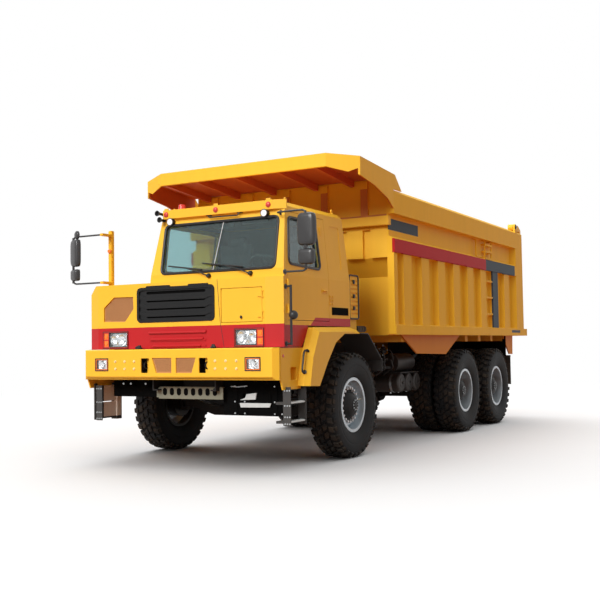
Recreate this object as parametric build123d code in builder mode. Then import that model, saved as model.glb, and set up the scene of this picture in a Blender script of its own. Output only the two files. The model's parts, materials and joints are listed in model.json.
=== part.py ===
"""Three-axle mining dump truck with an offset cab, a ribbed dump body and a canopy over the cab.

Row frame: +X is the truck's left, -Y is its front, +Z is up. The origin is on the ground,
midway along the
truck and midway between its sides. All lengths are in millimetres.
"""
import os
from math import atan2, cos, degrees, hypot, radians, sin

from build123d import *

os.makedirs("parts", exist_ok=True)

# Overall layout
front_y = -4700.0
front_overhang = 1830.0
wheelbase = 4000.0
tandem_spacing = 1700.0
front_axle_y = front_y + front_overhang
mid_axle_y = front_axle_y + wheelbase
rear_axle_y = mid_axle_y + tandem_spacing
seat_gap = 0.3
swing_gap = 6.0

# Wheels and tyres
tyre_radius = 685.0
tyre_width = 375.0
tyre_tread_width = 336.0
tyre_shoulder_radius = 640.0
tyre_belly_radius = 530.0
bead_radius = 335.0
bead_width = 254.0
rim_wall = 16.0
rim_flange_radius = 356.0
rim_flange_width = 15.0
front_wheel_x = 1393.0
outer_wheel_x = 1528.0
twin_spacing = 430.0
inner_wheel_x = outer_wheel_x - twin_spacing
hub_radius = 185.0
spindle_radius = 60.0
drive_spindle_radius = 90.0
axle_z = tyre_radius

# Chassis frame
rail_outer_x = 480.0
rail_flange = 80.0
rail_inner_x = rail_outer_x - rail_flange
rail_wall = 16.0
rail_bottom_z = 930.0
rail_height = 340.0
rail_top_z = rail_bottom_z + rail_height
frame_front_y = -4500.0
frame_rear_y = rear_axle_y + 1400.0

# Front axle, knuckles and steering
kingpin_x = 1100.0
kingpin_radius = 32.0
kingpin_eye_radius = 62.0
kingpin_eye_height = 120.0
knuckle_lug_height = 45.0
beam_depth = 110.0
beam_height = 130.0
beam_drop = 110.0
spring_x = 560.0
spring_width = 90.0
steer_arm_length = 250.0
steer_arm_thick = 35.0
tie_rod_radius = 20.0

# Dump body
bed_half_width = 1740.0
bed_plate_x = 1650.0
bed_plate = 25.0
bed_inner_x = bed_plate_x - bed_plate
bed_rib_x = 1725.0
bed_front_y = -1890.0
bed_rear_y = frame_rear_y + 250.0
bed_lip_y = bed_rear_y + 220.0
bed_bottom_z = 1600.0
bed_floor_thick = 40.0
bed_floor_z = bed_bottom_z + bed_floor_thick
bed_top_z = 3640.0
top_rail_bottom_z = bed_top_z - 340.0
mid_rail_bottom_z = bed_top_z - 882.0
mid_rail_top_z = mid_rail_bottom_z + 185.0
bottom_rail_top_z = 1735.0
column_front_y = bed_rear_y - 450.0
column_flank = 130.0
rib_first_y = -1399.0
rib_count = 8
rib_pitch = (column_front_y - 599.0 - rib_first_y) / (rib_count - 1)
rib_face = 300.0
rib_base = 400.0
bed_hinge_y = frame_rear_y - 350.0
bed_hinge_z = 1350.0
bed_hinge_radius = 60.0
bed_hinge_pin = 40.0
bed_beam_bottom_z = 1290.0

# Canopy
canopy_front_y = -3170.0
canopy_corner_y = -2970.0
canopy_front_half = 1340.0
canopy_lip_top_z = bed_top_z + 335.0
canopy_corner_top_z = bed_top_z + 285.0
canopy_lip_depth = 175.0
canopy_plate = 50.0

# Hoist
hoist_x = 220.0
hoist_pivot_y = -500.0
hoist_pivot_z = 1000.0
hoist_pin_y = 1016.0
hoist_pin_z = 1460.0
barrel_radius = 100.0
stage_radius = 78.0
rod_radius = 56.0
hoist_eye_radius = 66.0
hoist_eye_width = 120.0
hoist_shaft_radius = 40.0

# Cab and nose
side_x = 1460.0
nose_front_y = -4570.0
nose_depth = 65.0
nose_bottom_z = 1455.0
nose_top_z = 2280.0
deck_z = 1705.0
cab_right_x = -500.0
cab_roof_right_x = -395.0
cab_roof_left_x = 1400.0
cab_waist_z = 2300.0
cab_roof_z = 3190.0
cab_wall = 45.0
cab_front_y = -4500.0
cab_rear_y = -2770.0
screen_base_z = 2380.0
roof_front_y = -4350.0
roof_rear_y = -2870.0
glass_thick = 8.0

# Bumper
bumper_half = 1458.0
bumper_bottom_z = 1071.0
bumper_top_z = 1449.0
bumper_wall = 16.0
bumper_depth = 180.0
bumper_end_depth = 90.0

# Fenders
flare_x = 1600.0
liner_inner_x = 1130.0
liner_thick = 12.0

# Frame: two channel rails, with crossmembers, cab posts, outriggers, hangers and brackets seated on them
cross_height = 120.0
cross_half = 35.0
cab_post_ys = (-4330.0, -2890.0)
cab_post_depth = 80.0
outrigger_height = 65.0
outrigger_half = 1300.0
front_hanger_ys = (front_axle_y - 770.0, front_axle_y + 770.0)
hanger_x = (rail_outer_x + seat_gap, spring_x + spring_width / 2)
hanger_length = 110.0
hanger_drop = 40.0
hanger_height = 150.0
bracket_plate = 60.0
trunnion_y = (mid_axle_y + rear_axle_y) / 2
cross_ys = (-4440.0, -1760.0, trunnion_y, frame_rear_y - 60.0)
trunnion_z = 800.0
trunnion_radius = 70.0
trunnion_plate = 22.0
rest_pad_ys = (-1300.0, -100.0, 1400.0, 2900.0)
tow_reach = 130.0
tow_width = 240.0
tow_plate = 60.0
tow_bore_radius = 26.0

with BuildPart() as frame:
    for side in (-1, 1):
        with BuildSketch(Plane.XZ.offset(-frame_front_y)):
            with Locations((side * (rail_outer_x + rail_inner_x) / 2, rail_bottom_z + rail_height / 2)):
                Rectangle(rail_flange, rail_height)
            pocket_x = side * (rail_inner_x + (rail_flange - rail_wall) / 2)
            with Locations((pocket_x, rail_bottom_z + rail_height / 2)):
                Rectangle(rail_flange - rail_wall, rail_height - 2 * rail_wall, mode=Mode.SUBTRACT)
        extrude(amount=frame_front_y - frame_rear_y)
    for cross_y in cross_ys:
        with BuildSketch(Plane.XZ.offset(-cross_y)):
            with Locations((0, rail_top_z - rail_wall - seat_gap - cross_height / 2)):
                Rectangle(2 * (rail_outer_x - rail_wall - seat_gap), cross_height)
        extrude(amount=cross_half, both=True)
    for post_y in cab_post_ys:
        for side in (-1, 1):
            with BuildSketch(Plane.XY.offset(rail_top_z + seat_gap)):
                with Locations((side * (rail_outer_x + rail_inner_x) / 2, post_y)):
                    Rectangle(rail_flange, cab_post_depth)
            extrude(amount=deck_z - outrigger_height - rail_top_z - 2 * seat_gap)
        with BuildSketch(Plane.XY.offset(deck_z - outrigger_height)):
            with Locations((0, post_y)):
                Rectangle(2 * outrigger_half, cab_post_depth)
        extrude(amount=outrigger_height)
    for side in (-1, 1):
        for pad_y in rest_pad_ys:
            with BuildSketch(Plane.XY.offset(rail_top_z)):
                with Locations((side * (rail_outer_x + rail_inner_x) / 2, pad_y)):
                    Rectangle(rail_flange, 220)
            extrude(amount=bed_beam_bottom_z - seat_gap - rail_top_z)
        for hanger_y in front_hanger_ys:
            with BuildSketch(Plane.XY.offset(rail_bottom_z - hanger_drop)):
                with Locations((side * sum(hanger_x) / 2, hanger_y)):
                    Rectangle(hanger_x[1] - hanger_x[0], hanger_length)
            extrude(amount=hanger_height)
        with BuildSketch(Plane.YZ.offset(side * (rail_outer_x + seat_gap))):
            with BuildLine():
                Polyline(
                    (trunnion_y - 260, rail_bottom_z + 200), (trunnion_y + 260, rail_bottom_z + 200),
                    (trunnion_y + 110, trunnion_z - 110), (trunnion_y - 110, trunnion_z - 110),
                    close=True)
            make_face()
        extrude(amount=side * trunnion_plate)
        with BuildSketch(Plane.YZ.offset(side * (rail_outer_x + seat_gap))):
            with Locations((trunnion_y, trunnion_z)):
                Circle(trunnion_radius)
        extrude(amount=side * (spring_x + spring_width / 2 + 25 - rail_outer_x))
        with BuildSketch(Plane.YZ.offset(side * (rail_inner_x - swing_gap))):
            with BuildLine():
                Polyline(
                    (bed_hinge_y - 140, rail_bottom_z + rail_wall),
                    (bed_hinge_y + 140, rail_bottom_z + rail_wall),
                    (bed_hinge_y + 70, bed_hinge_z + 65), (bed_hinge_y - 70, bed_hinge_z + 65),
                    close=True)
            make_face()
        extrude(amount=-side * bracket_plate)
        with BuildSketch(Plane.YZ.offset(side * (rail_inner_x - swing_gap))):
            with Locations((bed_hinge_y, rail_bottom_z + rail_height / 2)):
                Rectangle(200, rail_height - 2 * rail_wall - 2 * seat_gap)
        extrude(amount=side * (rail_flange - rail_wall + swing_gap - seat_gap))
        with BuildSketch(Plane.YZ.offset(side * (rail_inner_x - bracket_plate))):
            with Locations((bed_hinge_y, bed_hinge_z)):
                Circle(bed_hinge_pin)
        extrude(amount=side * (rail_flange + bracket_plate + 12))
    with BuildSketch(Plane.YZ):
        with Locations((hoist_pivot_y, hoist_pivot_z)):
            Rectangle(150, 2 * (hoist_pivot_z - rail_bottom_z - rail_wall - seat_gap))
            Circle(hoist_shaft_radius + seat_gap, mode=Mode.SUBTRACT)
    extrude(amount=rail_outer_x - rail_wall - seat_gap, both=True)
    with BuildSketch(Plane.YZ):
        with Locations((hoist_pivot_y, hoist_pivot_z)):
            Rectangle(400, 400)
    extrude(amount=hoist_x + barrel_radius + swing_gap, both=True, mode=Mode.SUBTRACT)
    with BuildSketch(Plane.XY.offset(rail_top_z - rail_wall - cross_height)):
        with Locations((0, frame_rear_y + tow_reach / 2 - 30)):
            Rectangle(tow_width, tow_reach + 60)
    extrude(amount=tow_plate)
    with BuildSketch(Plane.XY.offset(rail_bottom_z)):
        with Locations((0, frame_rear_y + tow_reach - 60)):
            Circle(tow_bore_radius)
    extrude(amount=rail_height, mode=Mode.SUBTRACT)
frame.part.label = "frame"
export_step(frame.part, "parts/frame.step")

# Front axle beam with kingpin eyes and spring pads
beam_top_z = axle_z - beam_drop + beam_height / 2
pad_z = 650.0

with BuildPart() as front_axle:
    with BuildSketch(Plane.XZ.offset(-front_axle_y)):
        with BuildLine():
            Polyline(
                (-kingpin_x, axle_z + 45), (-kingpin_x + 160, axle_z + 30), (-spring_x - 120, beam_top_z),
                (spring_x + 120, beam_top_z), (kingpin_x - 160, axle_z + 30), (kingpin_x, axle_z + 45),
                (kingpin_x, axle_z - 45), (kingpin_x - 130, axle_z - 70),
                (spring_x + 60, beam_top_z - beam_height),
                (-spring_x - 60, beam_top_z - beam_height), (-kingpin_x + 130, axle_z - 70),
                (-kingpin_x, axle_z - 45), close=True)
        make_face()
    extrude(amount=beam_depth / 2, both=True)
    for side in (-1, 1):
        with BuildSketch(Plane.XY.offset(axle_z - kingpin_eye_height / 2)):
            with Locations((side * kingpin_x, front_axle_y)):
                Circle(kingpin_eye_radius)
        extrude(amount=kingpin_eye_height)
        with BuildSketch(Plane.XY.offset(axle_z - kingpin_eye_height / 2)):
            with Locations((side * kingpin_x, front_axle_y)):
                Circle(kingpin_radius + seat_gap)
        extrude(amount=kingpin_eye_height, mode=Mode.SUBTRACT)
        with BuildSketch(Plane.XY.offset(beam_top_z - 10)):
            with Locations((side * spring_x, front_axle_y)):
                Rectangle(spring_width + 30, 200)
        extrude(amount=pad_z - beam_top_z + 10)
front_axle.part.label = "front_axle"
export_step(front_axle.part, "parts/front_axle.step")

# Steering knuckles: two lugs around the beam's eye, a kingpin, a spindle and a steering arm
lug_bottom_z = axle_z - kingpin_eye_height / 2 - swing_gap - knuckle_lug_height
lug_top_z = axle_z + kingpin_eye_height / 2 + swing_gap
web_x = kingpin_x + kingpin_eye_radius + swing_gap
web_thick = 40.0
spindle_end_x = front_wheel_x + 120
arm_end_x = kingpin_x - 60
arm_y = front_axle_y + steer_arm_length

for name, side in (("knuckle_left", 1), ("knuckle_right", -1)):
    with BuildPart() as knuckle:
        for lug_z in (lug_bottom_z, lug_top_z):
            with BuildSketch(Plane.XY.offset(lug_z)):
                with Locations((side * kingpin_x, front_axle_y)):
                    Circle(kingpin_eye_radius)
                with Locations((side * (kingpin_x + web_x + web_thick) / 2, front_axle_y)):
                    Rectangle(web_x + web_thick - kingpin_x, 2 * kingpin_eye_radius)
            extrude(amount=knuckle_lug_height)
        with BuildSketch(Plane.XY.offset(lug_bottom_z)):
            with Locations((side * (web_x + web_thick / 2), front_axle_y)):
                Rectangle(web_thick, 2 * kingpin_eye_radius)
        extrude(amount=lug_top_z + knuckle_lug_height - lug_bottom_z)
        with BuildSketch(Plane.XY.offset(lug_bottom_z)):
            with Locations((side * kingpin_x, front_axle_y)):
                Circle(kingpin_radius)
        extrude(amount=lug_top_z + knuckle_lug_height - lug_bottom_z)
        with BuildSketch(Plane.YZ.offset(side * web_x)):
            with Locations((front_axle_y, axle_z)):
                Circle(spindle_radius)
        extrude(amount=side * (spindle_end_x - web_x))
        with BuildSketch(Plane.XY.offset(lug_bottom_z)):
            with BuildLine():
                Polyline(
                    (side * (kingpin_x - 35), front_axle_y + 20),
                    (side * (kingpin_x + 35), front_axle_y + 20),
                    (side * (arm_end_x + 30), arm_y), (side * (arm_end_x - 30), arm_y), close=True)
            make_face()
            with Locations((side * arm_end_x, arm_y)):
                Circle(30)
        extrude(amount=steer_arm_thick)
    knuckle.part.label = name
    export_step(knuckle.part, f"parts/{name}.step")

# Tie rod behind the axle, its end bosses just under the steering arms
boss_height = 40.0
boss_top_z = lug_bottom_z - seat_gap

with BuildPart() as tie_rod:
    with BuildSketch(Plane.YZ):
        with Locations((arm_y, boss_top_z - boss_height / 2)):
            Circle(tie_rod_radius)
    extrude(amount=arm_end_x, both=True)
    for side in (-1, 1):
        with BuildSketch(Plane.XY.offset(boss_top_z - boss_height)):
            with Locations((side * arm_end_x, arm_y)):
                Circle(32)
        extrude(amount=boss_height)
tie_rod.part.label = "tie_rod"
export_step(tie_rod.part, "parts/tie_rod.step")

# Leaf packs on the front axle and over the rear trunnion
leaf_pack = 110.0
rear_pad_z = 860.0
leaf_top_z = rail_bottom_z - 40 - seat_gap
leaf_end_z = rail_bottom_z - 70 - seat_gap
leaf_low_z = rail_bottom_z - 100

with BuildPart() as suspension:
    for side in (-1, 1):
        with BuildSketch(Plane.YZ.offset(side * spring_x)):
            with BuildLine():
                ThreePointArc(
                    (front_hanger_ys[0], leaf_end_z), (front_axle_y, pad_z + leaf_pack),
                    (front_hanger_ys[1], leaf_end_z))
                Polyline(
                    (front_hanger_ys[1], leaf_end_z), (front_hanger_ys[1], leaf_top_z),
                    (front_hanger_ys[1] + 30, leaf_top_z), (front_hanger_ys[1] + 30, leaf_low_z),
                    (front_axle_y + 100, pad_z + seat_gap), (front_axle_y - 100, pad_z + seat_gap),
                    (front_hanger_ys[0] - 30, leaf_low_z), (front_hanger_ys[0] - 30, leaf_top_z),
                    (front_hanger_ys[0], leaf_top_z), (front_hanger_ys[0], leaf_end_z))
            make_face()
        extrude(amount=spring_width / 2, both=True)
        with BuildSketch(Plane.YZ.offset(side * (rail_outer_x + 30))):
            with BuildLine():
                Polyline(
                    (mid_axle_y - 60, rear_pad_z), (mid_axle_y - 60, rear_pad_z + 45),
                    (trunnion_y - 120, 1060),
                    (trunnion_y + 120, 1060), (rear_axle_y + 60, rear_pad_z + 45),
                    (rear_axle_y + 60, rear_pad_z),
                    (rear_axle_y - 80, rear_pad_z), (trunnion_y + 150, 900),
                    (trunnion_y + 110, trunnion_z - 100),
                    (trunnion_y - 110, trunnion_z - 100), (trunnion_y - 150, 900),
                    (mid_axle_y + 80, rear_pad_z),
                    close=True)
            make_face()
            with Locations((trunnion_y, trunnion_z)):
                Circle(trunnion_radius + seat_gap, mode=Mode.SUBTRACT)
        extrude(amount=side * spring_width)
suspension.part.label = "suspension"
export_step(suspension.part, "parts/suspension.step")

# Rear drive axle housings with brake drums, spindles and spring saddles
housing_radius = 115.0
diff_radius = 240.0
drum_radius = 235.0
drum_x = (700.0, 860.0)
drive_spindle_end_x = outer_wheel_x + 60
pinion_reach = 330.0
output_reach = 262.0
shaft_boss_radius = 90.0

with BuildPart() as rear_axles:
    for axle_y in (mid_axle_y, rear_axle_y):
        with BuildSketch(Plane.YZ):
            with Locations((axle_y, axle_z)):
                Circle(housing_radius)
        extrude(amount=drum_x[0], both=True)
        with BuildSketch(Plane.YZ):
            with Locations((axle_y, axle_z)):
                Circle(diff_radius)
        extrude(amount=150, both=True, taper=20)
        with BuildSketch(Plane.XZ.offset(-axle_y)):
            with Locations((0, axle_z + 40)):
                Circle(120)
        extrude(amount=pinion_reach, taper=5)
        for side in (-1, 1):
            with BuildSketch(Plane.YZ.offset(side * drum_x[0])):
                with Locations((axle_y, axle_z)):
                    Circle(drum_radius)
            extrude(amount=side * (drum_x[1] - drum_x[0]))
            with BuildSketch(Plane.YZ.offset(side * drum_x[1])):
                with Locations((axle_y, axle_z)):
                    Circle(drive_spindle_radius)
            extrude(amount=side * (drive_spindle_end_x - drum_x[1]))
            with BuildSketch(Plane.XY.offset(axle_z)):
                with Locations((side * (rail_outer_x + 30 + spring_width / 2), axle_y)):
                    Rectangle(spring_width + 20, 120)
            extrude(amount=rear_pad_z - seat_gap - axle_z)
    with BuildSketch(Plane.XZ.offset(-mid_axle_y)):
        with Locations((0, axle_z + 40)):
            Circle(shaft_boss_radius)
    extrude(amount=-output_reach)
rear_axles.part.label = "rear_axles"
export_step(rear_axles.part, "parts/rear_axles.step")

# Wheels: one outline each for tyre and rim, turned about the wheel's own axis
half_tread = tyre_tread_width / 2
half_bead = bead_width / 2
flange_top = rim_flange_radius + 2

front_hub_bore = spindle_radius + seat_gap
rear_hub_bore = drive_spindle_radius + seat_gap

wheel_table = (
    # name, axle y, side, twin
    ("front_left", front_axle_y, 1, False),
    ("front_right", front_axle_y, -1, False),
    ("mid_left", mid_axle_y, 1, True),
    ("mid_right", mid_axle_y, -1, True),
    ("rear_left", rear_axle_y, 1, True),
    ("rear_right", rear_axle_y, -1, True),
)

for name, wheel_y, side, twin in wheel_table:
    centres = (inner_wheel_x, outer_wheel_x) if twin else (front_wheel_x,)
    turning_axis = Axis((0, wheel_y, axle_z), (1, 0, 0))
    outboard = (side, 0, 0)
    section_normal = (0, -side, 0)
    with BuildPart() as tyre:
        for centre_x in centres:
            with BuildSketch(Plane((side * centre_x, wheel_y, axle_z), outboard, section_normal)):
                with BuildLine():
                    Polyline(
                        (-half_bead, flange_top), (-half_bead, bead_radius), (half_bead, bead_radius),
                        (half_bead, flange_top))
                    ThreePointArc(
                        (half_bead, flange_top), (tyre_width / 2, tyre_belly_radius),
                        (half_tread, tyre_shoulder_radius))
                    Polyline(
                        (half_tread, tyre_shoulder_radius), (half_tread - 25, tyre_radius),
                        (25 - half_tread, tyre_radius), (-half_tread, tyre_shoulder_radius))
                    ThreePointArc(
                        (-half_tread, tyre_shoulder_radius), (-tyre_width / 2, tyre_belly_radius),
                        (-half_bead, flange_top))
                make_face()
            revolve(axis=turning_axis)
    tyre.part.label = f"tyre_{name}"
    export_step(tyre.part, f"parts/tyre_{name}.step")

    barrel_radius_outer = bead_radius - seat_gap
    barrel_radius_inner = barrel_radius_outer - rim_wall
    flange_x = half_bead + seat_gap
    with BuildPart() as rim:
        for centre_x in centres:
            with BuildSketch(Plane((side * centre_x, wheel_y, axle_z), outboard, section_normal)):
                with BuildLine():
                    Polyline(
                        (-flange_x, barrel_radius_inner),
                        (flange_x + rim_flange_width, barrel_radius_inner),
                        (flange_x + rim_flange_width, rim_flange_radius), (flange_x, rim_flange_radius),
                        (flange_x, barrel_radius_outer), (-flange_x, barrel_radius_outer),
                        (-flange_x, rim_flange_radius), (-flange_x - rim_flange_width, rim_flange_radius),
                        (-flange_x - rim_flange_width, barrel_radius_inner), close=True)
                make_face()
            revolve(axis=turning_axis)
        if twin:
            disc_x = (inner_wheel_x + outer_wheel_x) / 2
            with BuildSketch(Plane(origin=(0, wheel_y, axle_z), x_dir=outboard, z_dir=section_normal)):
                with BuildLine():
                    Polyline(
                        (inner_wheel_x, barrel_radius_inner + 4), (disc_x - 25, 250), (disc_x - 25, 200),
                        (drum_x[1] + swing_gap, 180), (drum_x[1] + swing_gap, rear_hub_bore),
                        (drive_spindle_end_x + swing_gap, rear_hub_bore),
                        (drive_spindle_end_x + swing_gap, 0),
                        (drive_spindle_end_x + 46, 0), (drive_spindle_end_x + 46, 105),
                        (drive_spindle_end_x, 170),
                        (disc_x + 25, hub_radius), (disc_x + 25, 250),
                        (outer_wheel_x - 40, barrel_radius_inner + 4),
                        (outer_wheel_x - 80, barrel_radius_inner + 4), (disc_x + 5, 275),
                        (disc_x - 5, 275),
                        (inner_wheel_x + 40, barrel_radius_inner + 4), close=True)
                make_face()
            revolve(axis=turning_axis)
        else:
            hub_in_x = web_x + web_thick + swing_gap
            with BuildSketch(Plane(origin=(0, wheel_y, axle_z), x_dir=outboard, z_dir=section_normal)):
                with BuildLine():
                    Polyline(
                        (hub_in_x, 150), (hub_in_x, front_hub_bore),
                        (spindle_end_x + swing_gap, front_hub_bore),
                        (spindle_end_x + swing_gap, 0), (spindle_end_x + 40, 0), (spindle_end_x + 40, 95),
                        (spindle_end_x, 150), (front_wheel_x + 55, hub_radius), (front_wheel_x + 55, 265),
                        (front_wheel_x + 15, barrel_radius_inner + 4),
                        (front_wheel_x - 25, barrel_radius_inner + 4),
                        (front_wheel_x + 20, 250), (front_wheel_x + 20, 205), (hub_in_x, 205), close=True)
                make_face()
            revolve(axis=turning_axis)
    rim.part.label = f"rim_{name}"
    export_step(rim.part, f"parts/rim_{name}.step")

# Engine, gearbox and radiator as plain blocks between the rails
engine_front_y = -4150.0
engine_rear_y = -2480.0
engine_half = 330.0
engine_bottom_z = 880.0
engine_top_z = 1600.0
gearbox_rear_y = -1860.0
gearbox_z = 1060.0
gearbox_radius = 170.0
shaft_radius = 55.0

with BuildPart() as engine:
    with BuildSketch(Plane.XZ.offset(-engine_front_y)):
        with BuildLine():
            Polyline(
                (-170, engine_bottom_z), (170, engine_bottom_z), (engine_half, 1180),
                (engine_half, engine_top_z),
                (-engine_half, engine_top_z), (-engine_half, 1180), close=True)
        make_face()
    extrude(amount=engine_front_y - engine_rear_y)
    with BuildSketch(Plane.XZ.offset(-engine_rear_y)):
        with Locations((0, gearbox_z)):
            Circle(gearbox_radius + 60)
    extrude(amount=engine_rear_y - gearbox_rear_y, taper=6)
    with BuildSketch(Plane.XZ.offset(-engine_front_y)):
        with Locations((0, 1330)):
            Circle(60)
    extrude(amount=60)
    with BuildSketch(Plane.XZ.offset(-engine_front_y + 60)):
        with Locations((0, 1330)):
            Rectangle(2 * rail_inner_x - 20, 520)
    extrude(amount=110)
    for side in (-1, 1):
        for foot_y in (engine_front_y + 250, engine_rear_y - 220):
            with BuildSketch(Plane.XY.offset(rail_bottom_z + rail_wall)):
                with Locations((side * (engine_half + rail_outer_x - rail_wall) / 2 - side * 20, foot_y)):
                    Rectangle(rail_outer_x - rail_wall - engine_half + 40, 120)
            extrude(amount=60)
    for foot_y in (engine_front_y + 250, engine_rear_y - 220):
        with BuildSketch(Plane.XZ.offset(-foot_y)):
            with BuildLine():
                Polyline(
                    (-engine_half, 1180), (-engine_half, rail_bottom_z + rail_wall),
                    (engine_half, rail_bottom_z + rail_wall), (engine_half, 1180), close=True)
            make_face()
        extrude(amount=60, both=True)
engine.part.label = "engine"
export_step(engine.part, "parts/engine.step")

# Propeller shafts from the gearbox to the middle axle and on to the rear axle
shaft_flange_radius = shaft_radius + 30
shaft_droop = atan2(gearbox_z - 60 - axle_z - 40, mid_axle_y - pinion_reach - gearbox_rear_y)
shaft_edge = shaft_flange_radius * sin(shaft_droop) + seat_gap
shaft_runs = (
    # start y, start z, end y, end z
    (gearbox_rear_y + shaft_edge, gearbox_z - 60, mid_axle_y - pinion_reach - shaft_edge, axle_z + 40),
    (mid_axle_y + output_reach + seat_gap, axle_z + 40, rear_axle_y - pinion_reach - seat_gap, axle_z + 40),
)

with BuildPart() as driveline:
    for start_y, start_z, end_y, end_z in shaft_runs:
        run = Vector(0, end_y - start_y, end_z - start_z)
        run_plane = Plane(origin=(0, start_y, start_z), x_dir=(1, 0, 0), z_dir=run.normalized())
        with BuildSketch(run_plane):
            Circle(shaft_radius)
        extrude(amount=run.length)
        for flange_start in (0, run.length - 30):
            with BuildSketch(run_plane.offset(flange_start)):
                Circle(shaft_flange_radius)
            extrude(amount=30)
driveline.part.label = "driveline"
export_step(driveline.part, "parts/driveline.step")

# Dump body floor with its crossbeams, and under it the two long beams with hinge lugs and the hoist ears
beam_front_y = -1700.0
crossbeam_z = 1500.0
crossbeam_width = 120.0
ear_x = (hoist_x - hoist_eye_width / 2 - 30, hoist_x + hoist_eye_width / 2 + 8)
beam_x = (rail_outer_x + rail_inner_x) / 2
beam_top_z = bed_bottom_z - seat_gap
crossbeam_x = beam_x + rail_flange / 2 + seat_gap

with BuildPart() as bed_floor:
    with BuildSketch(Plane.XY.offset(bed_bottom_z)):
        with Locations((0, (bed_front_y + 250 + bed_lip_y) / 2)):
            Rectangle(2 * bed_inner_x, bed_lip_y - bed_front_y - 250)
    extrude(amount=bed_floor_thick)
    for side in (-1, 1):
        with BuildSketch(Plane.YZ.offset(side * (beam_x - rail_flange / 2))):
            with BuildLine():
                Polyline(
                    (beam_front_y, beam_top_z), (beam_front_y, bed_beam_bottom_z + 120),
                    (beam_front_y + 200, bed_beam_bottom_z), (bed_hinge_y, bed_beam_bottom_z),
                    (bed_hinge_y, bed_hinge_z), (bed_hinge_y + bed_hinge_radius, bed_hinge_z),
                    (bed_hinge_y + 200, beam_top_z), close=True)
            make_face()
            with Locations((bed_hinge_y, bed_hinge_z)):
                Circle(bed_hinge_radius)
                Circle(bed_hinge_pin + seat_gap, mode=Mode.SUBTRACT)
        extrude(amount=side * rail_flange)
        for ear in ear_x:
            with BuildSketch(Plane.YZ.offset(side * ear)):
                with BuildLine():
                    Polyline(
                        (hoist_pin_y - 60, beam_top_z), (hoist_pin_y + 60, beam_top_z),
                        (hoist_pin_y + 45, hoist_pin_z - 45), (hoist_pin_y - 45, hoist_pin_z - 45),
                        close=True)
                make_face()
            extrude(amount=side * 22)
        for index in range(rib_count):
            crossbeam_y = rib_first_y + index * rib_pitch
            with BuildSketch(Plane.XY.offset(crossbeam_z)):
                with Locations((side * (crossbeam_x + bed_inner_x) / 2, crossbeam_y)):
                    Rectangle(bed_inner_x - crossbeam_x, crossbeam_width)
            extrude(amount=bed_bottom_z - crossbeam_z)
bed_floor.part.label = "bed_floor"
export_step(bed_floor.part, "parts/bed_floor.step")

# Dump body sides: plate, rails, trapezoid ribs, end column, tailgate ears, ladder rungs and skirt plates
skirt_top_z = bed_bottom_z - seat_gap
skirt_outlines = (
    # y, z of each plate under the bottom rail, ahead of and behind the rear wheels
    (
        (-1535.0, skirt_top_z), (-953.0, 1324.0), (mid_axle_y - 862, 1299.0),
        (mid_axle_y - 186, skirt_top_z),
    ),
    (
        (rear_axle_y + 488, skirt_top_z), (rear_axle_y + 898, 1248.0), (rear_axle_y + 1096, 1245.0),
        (rear_axle_y + 1119, skirt_top_z),
    ),
)
skirt_thick = 25.0
gate_pivot_y = bed_rear_y - 400.0
gate_pivot_z = bed_top_z + 80.0
gate_pin_radius = 30.0
gate_ear_radius = 60.0
gate_ear_x = bed_half_width - 35
ladder_rib = 5
ladder_y = rib_first_y + (ladder_rib + 0.5) * rib_pitch
rung_size = 30.0
rung_zs = (1965.0, 2262.0, 2552.0, 2960.0, 3080.0, 3200.0)

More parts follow.
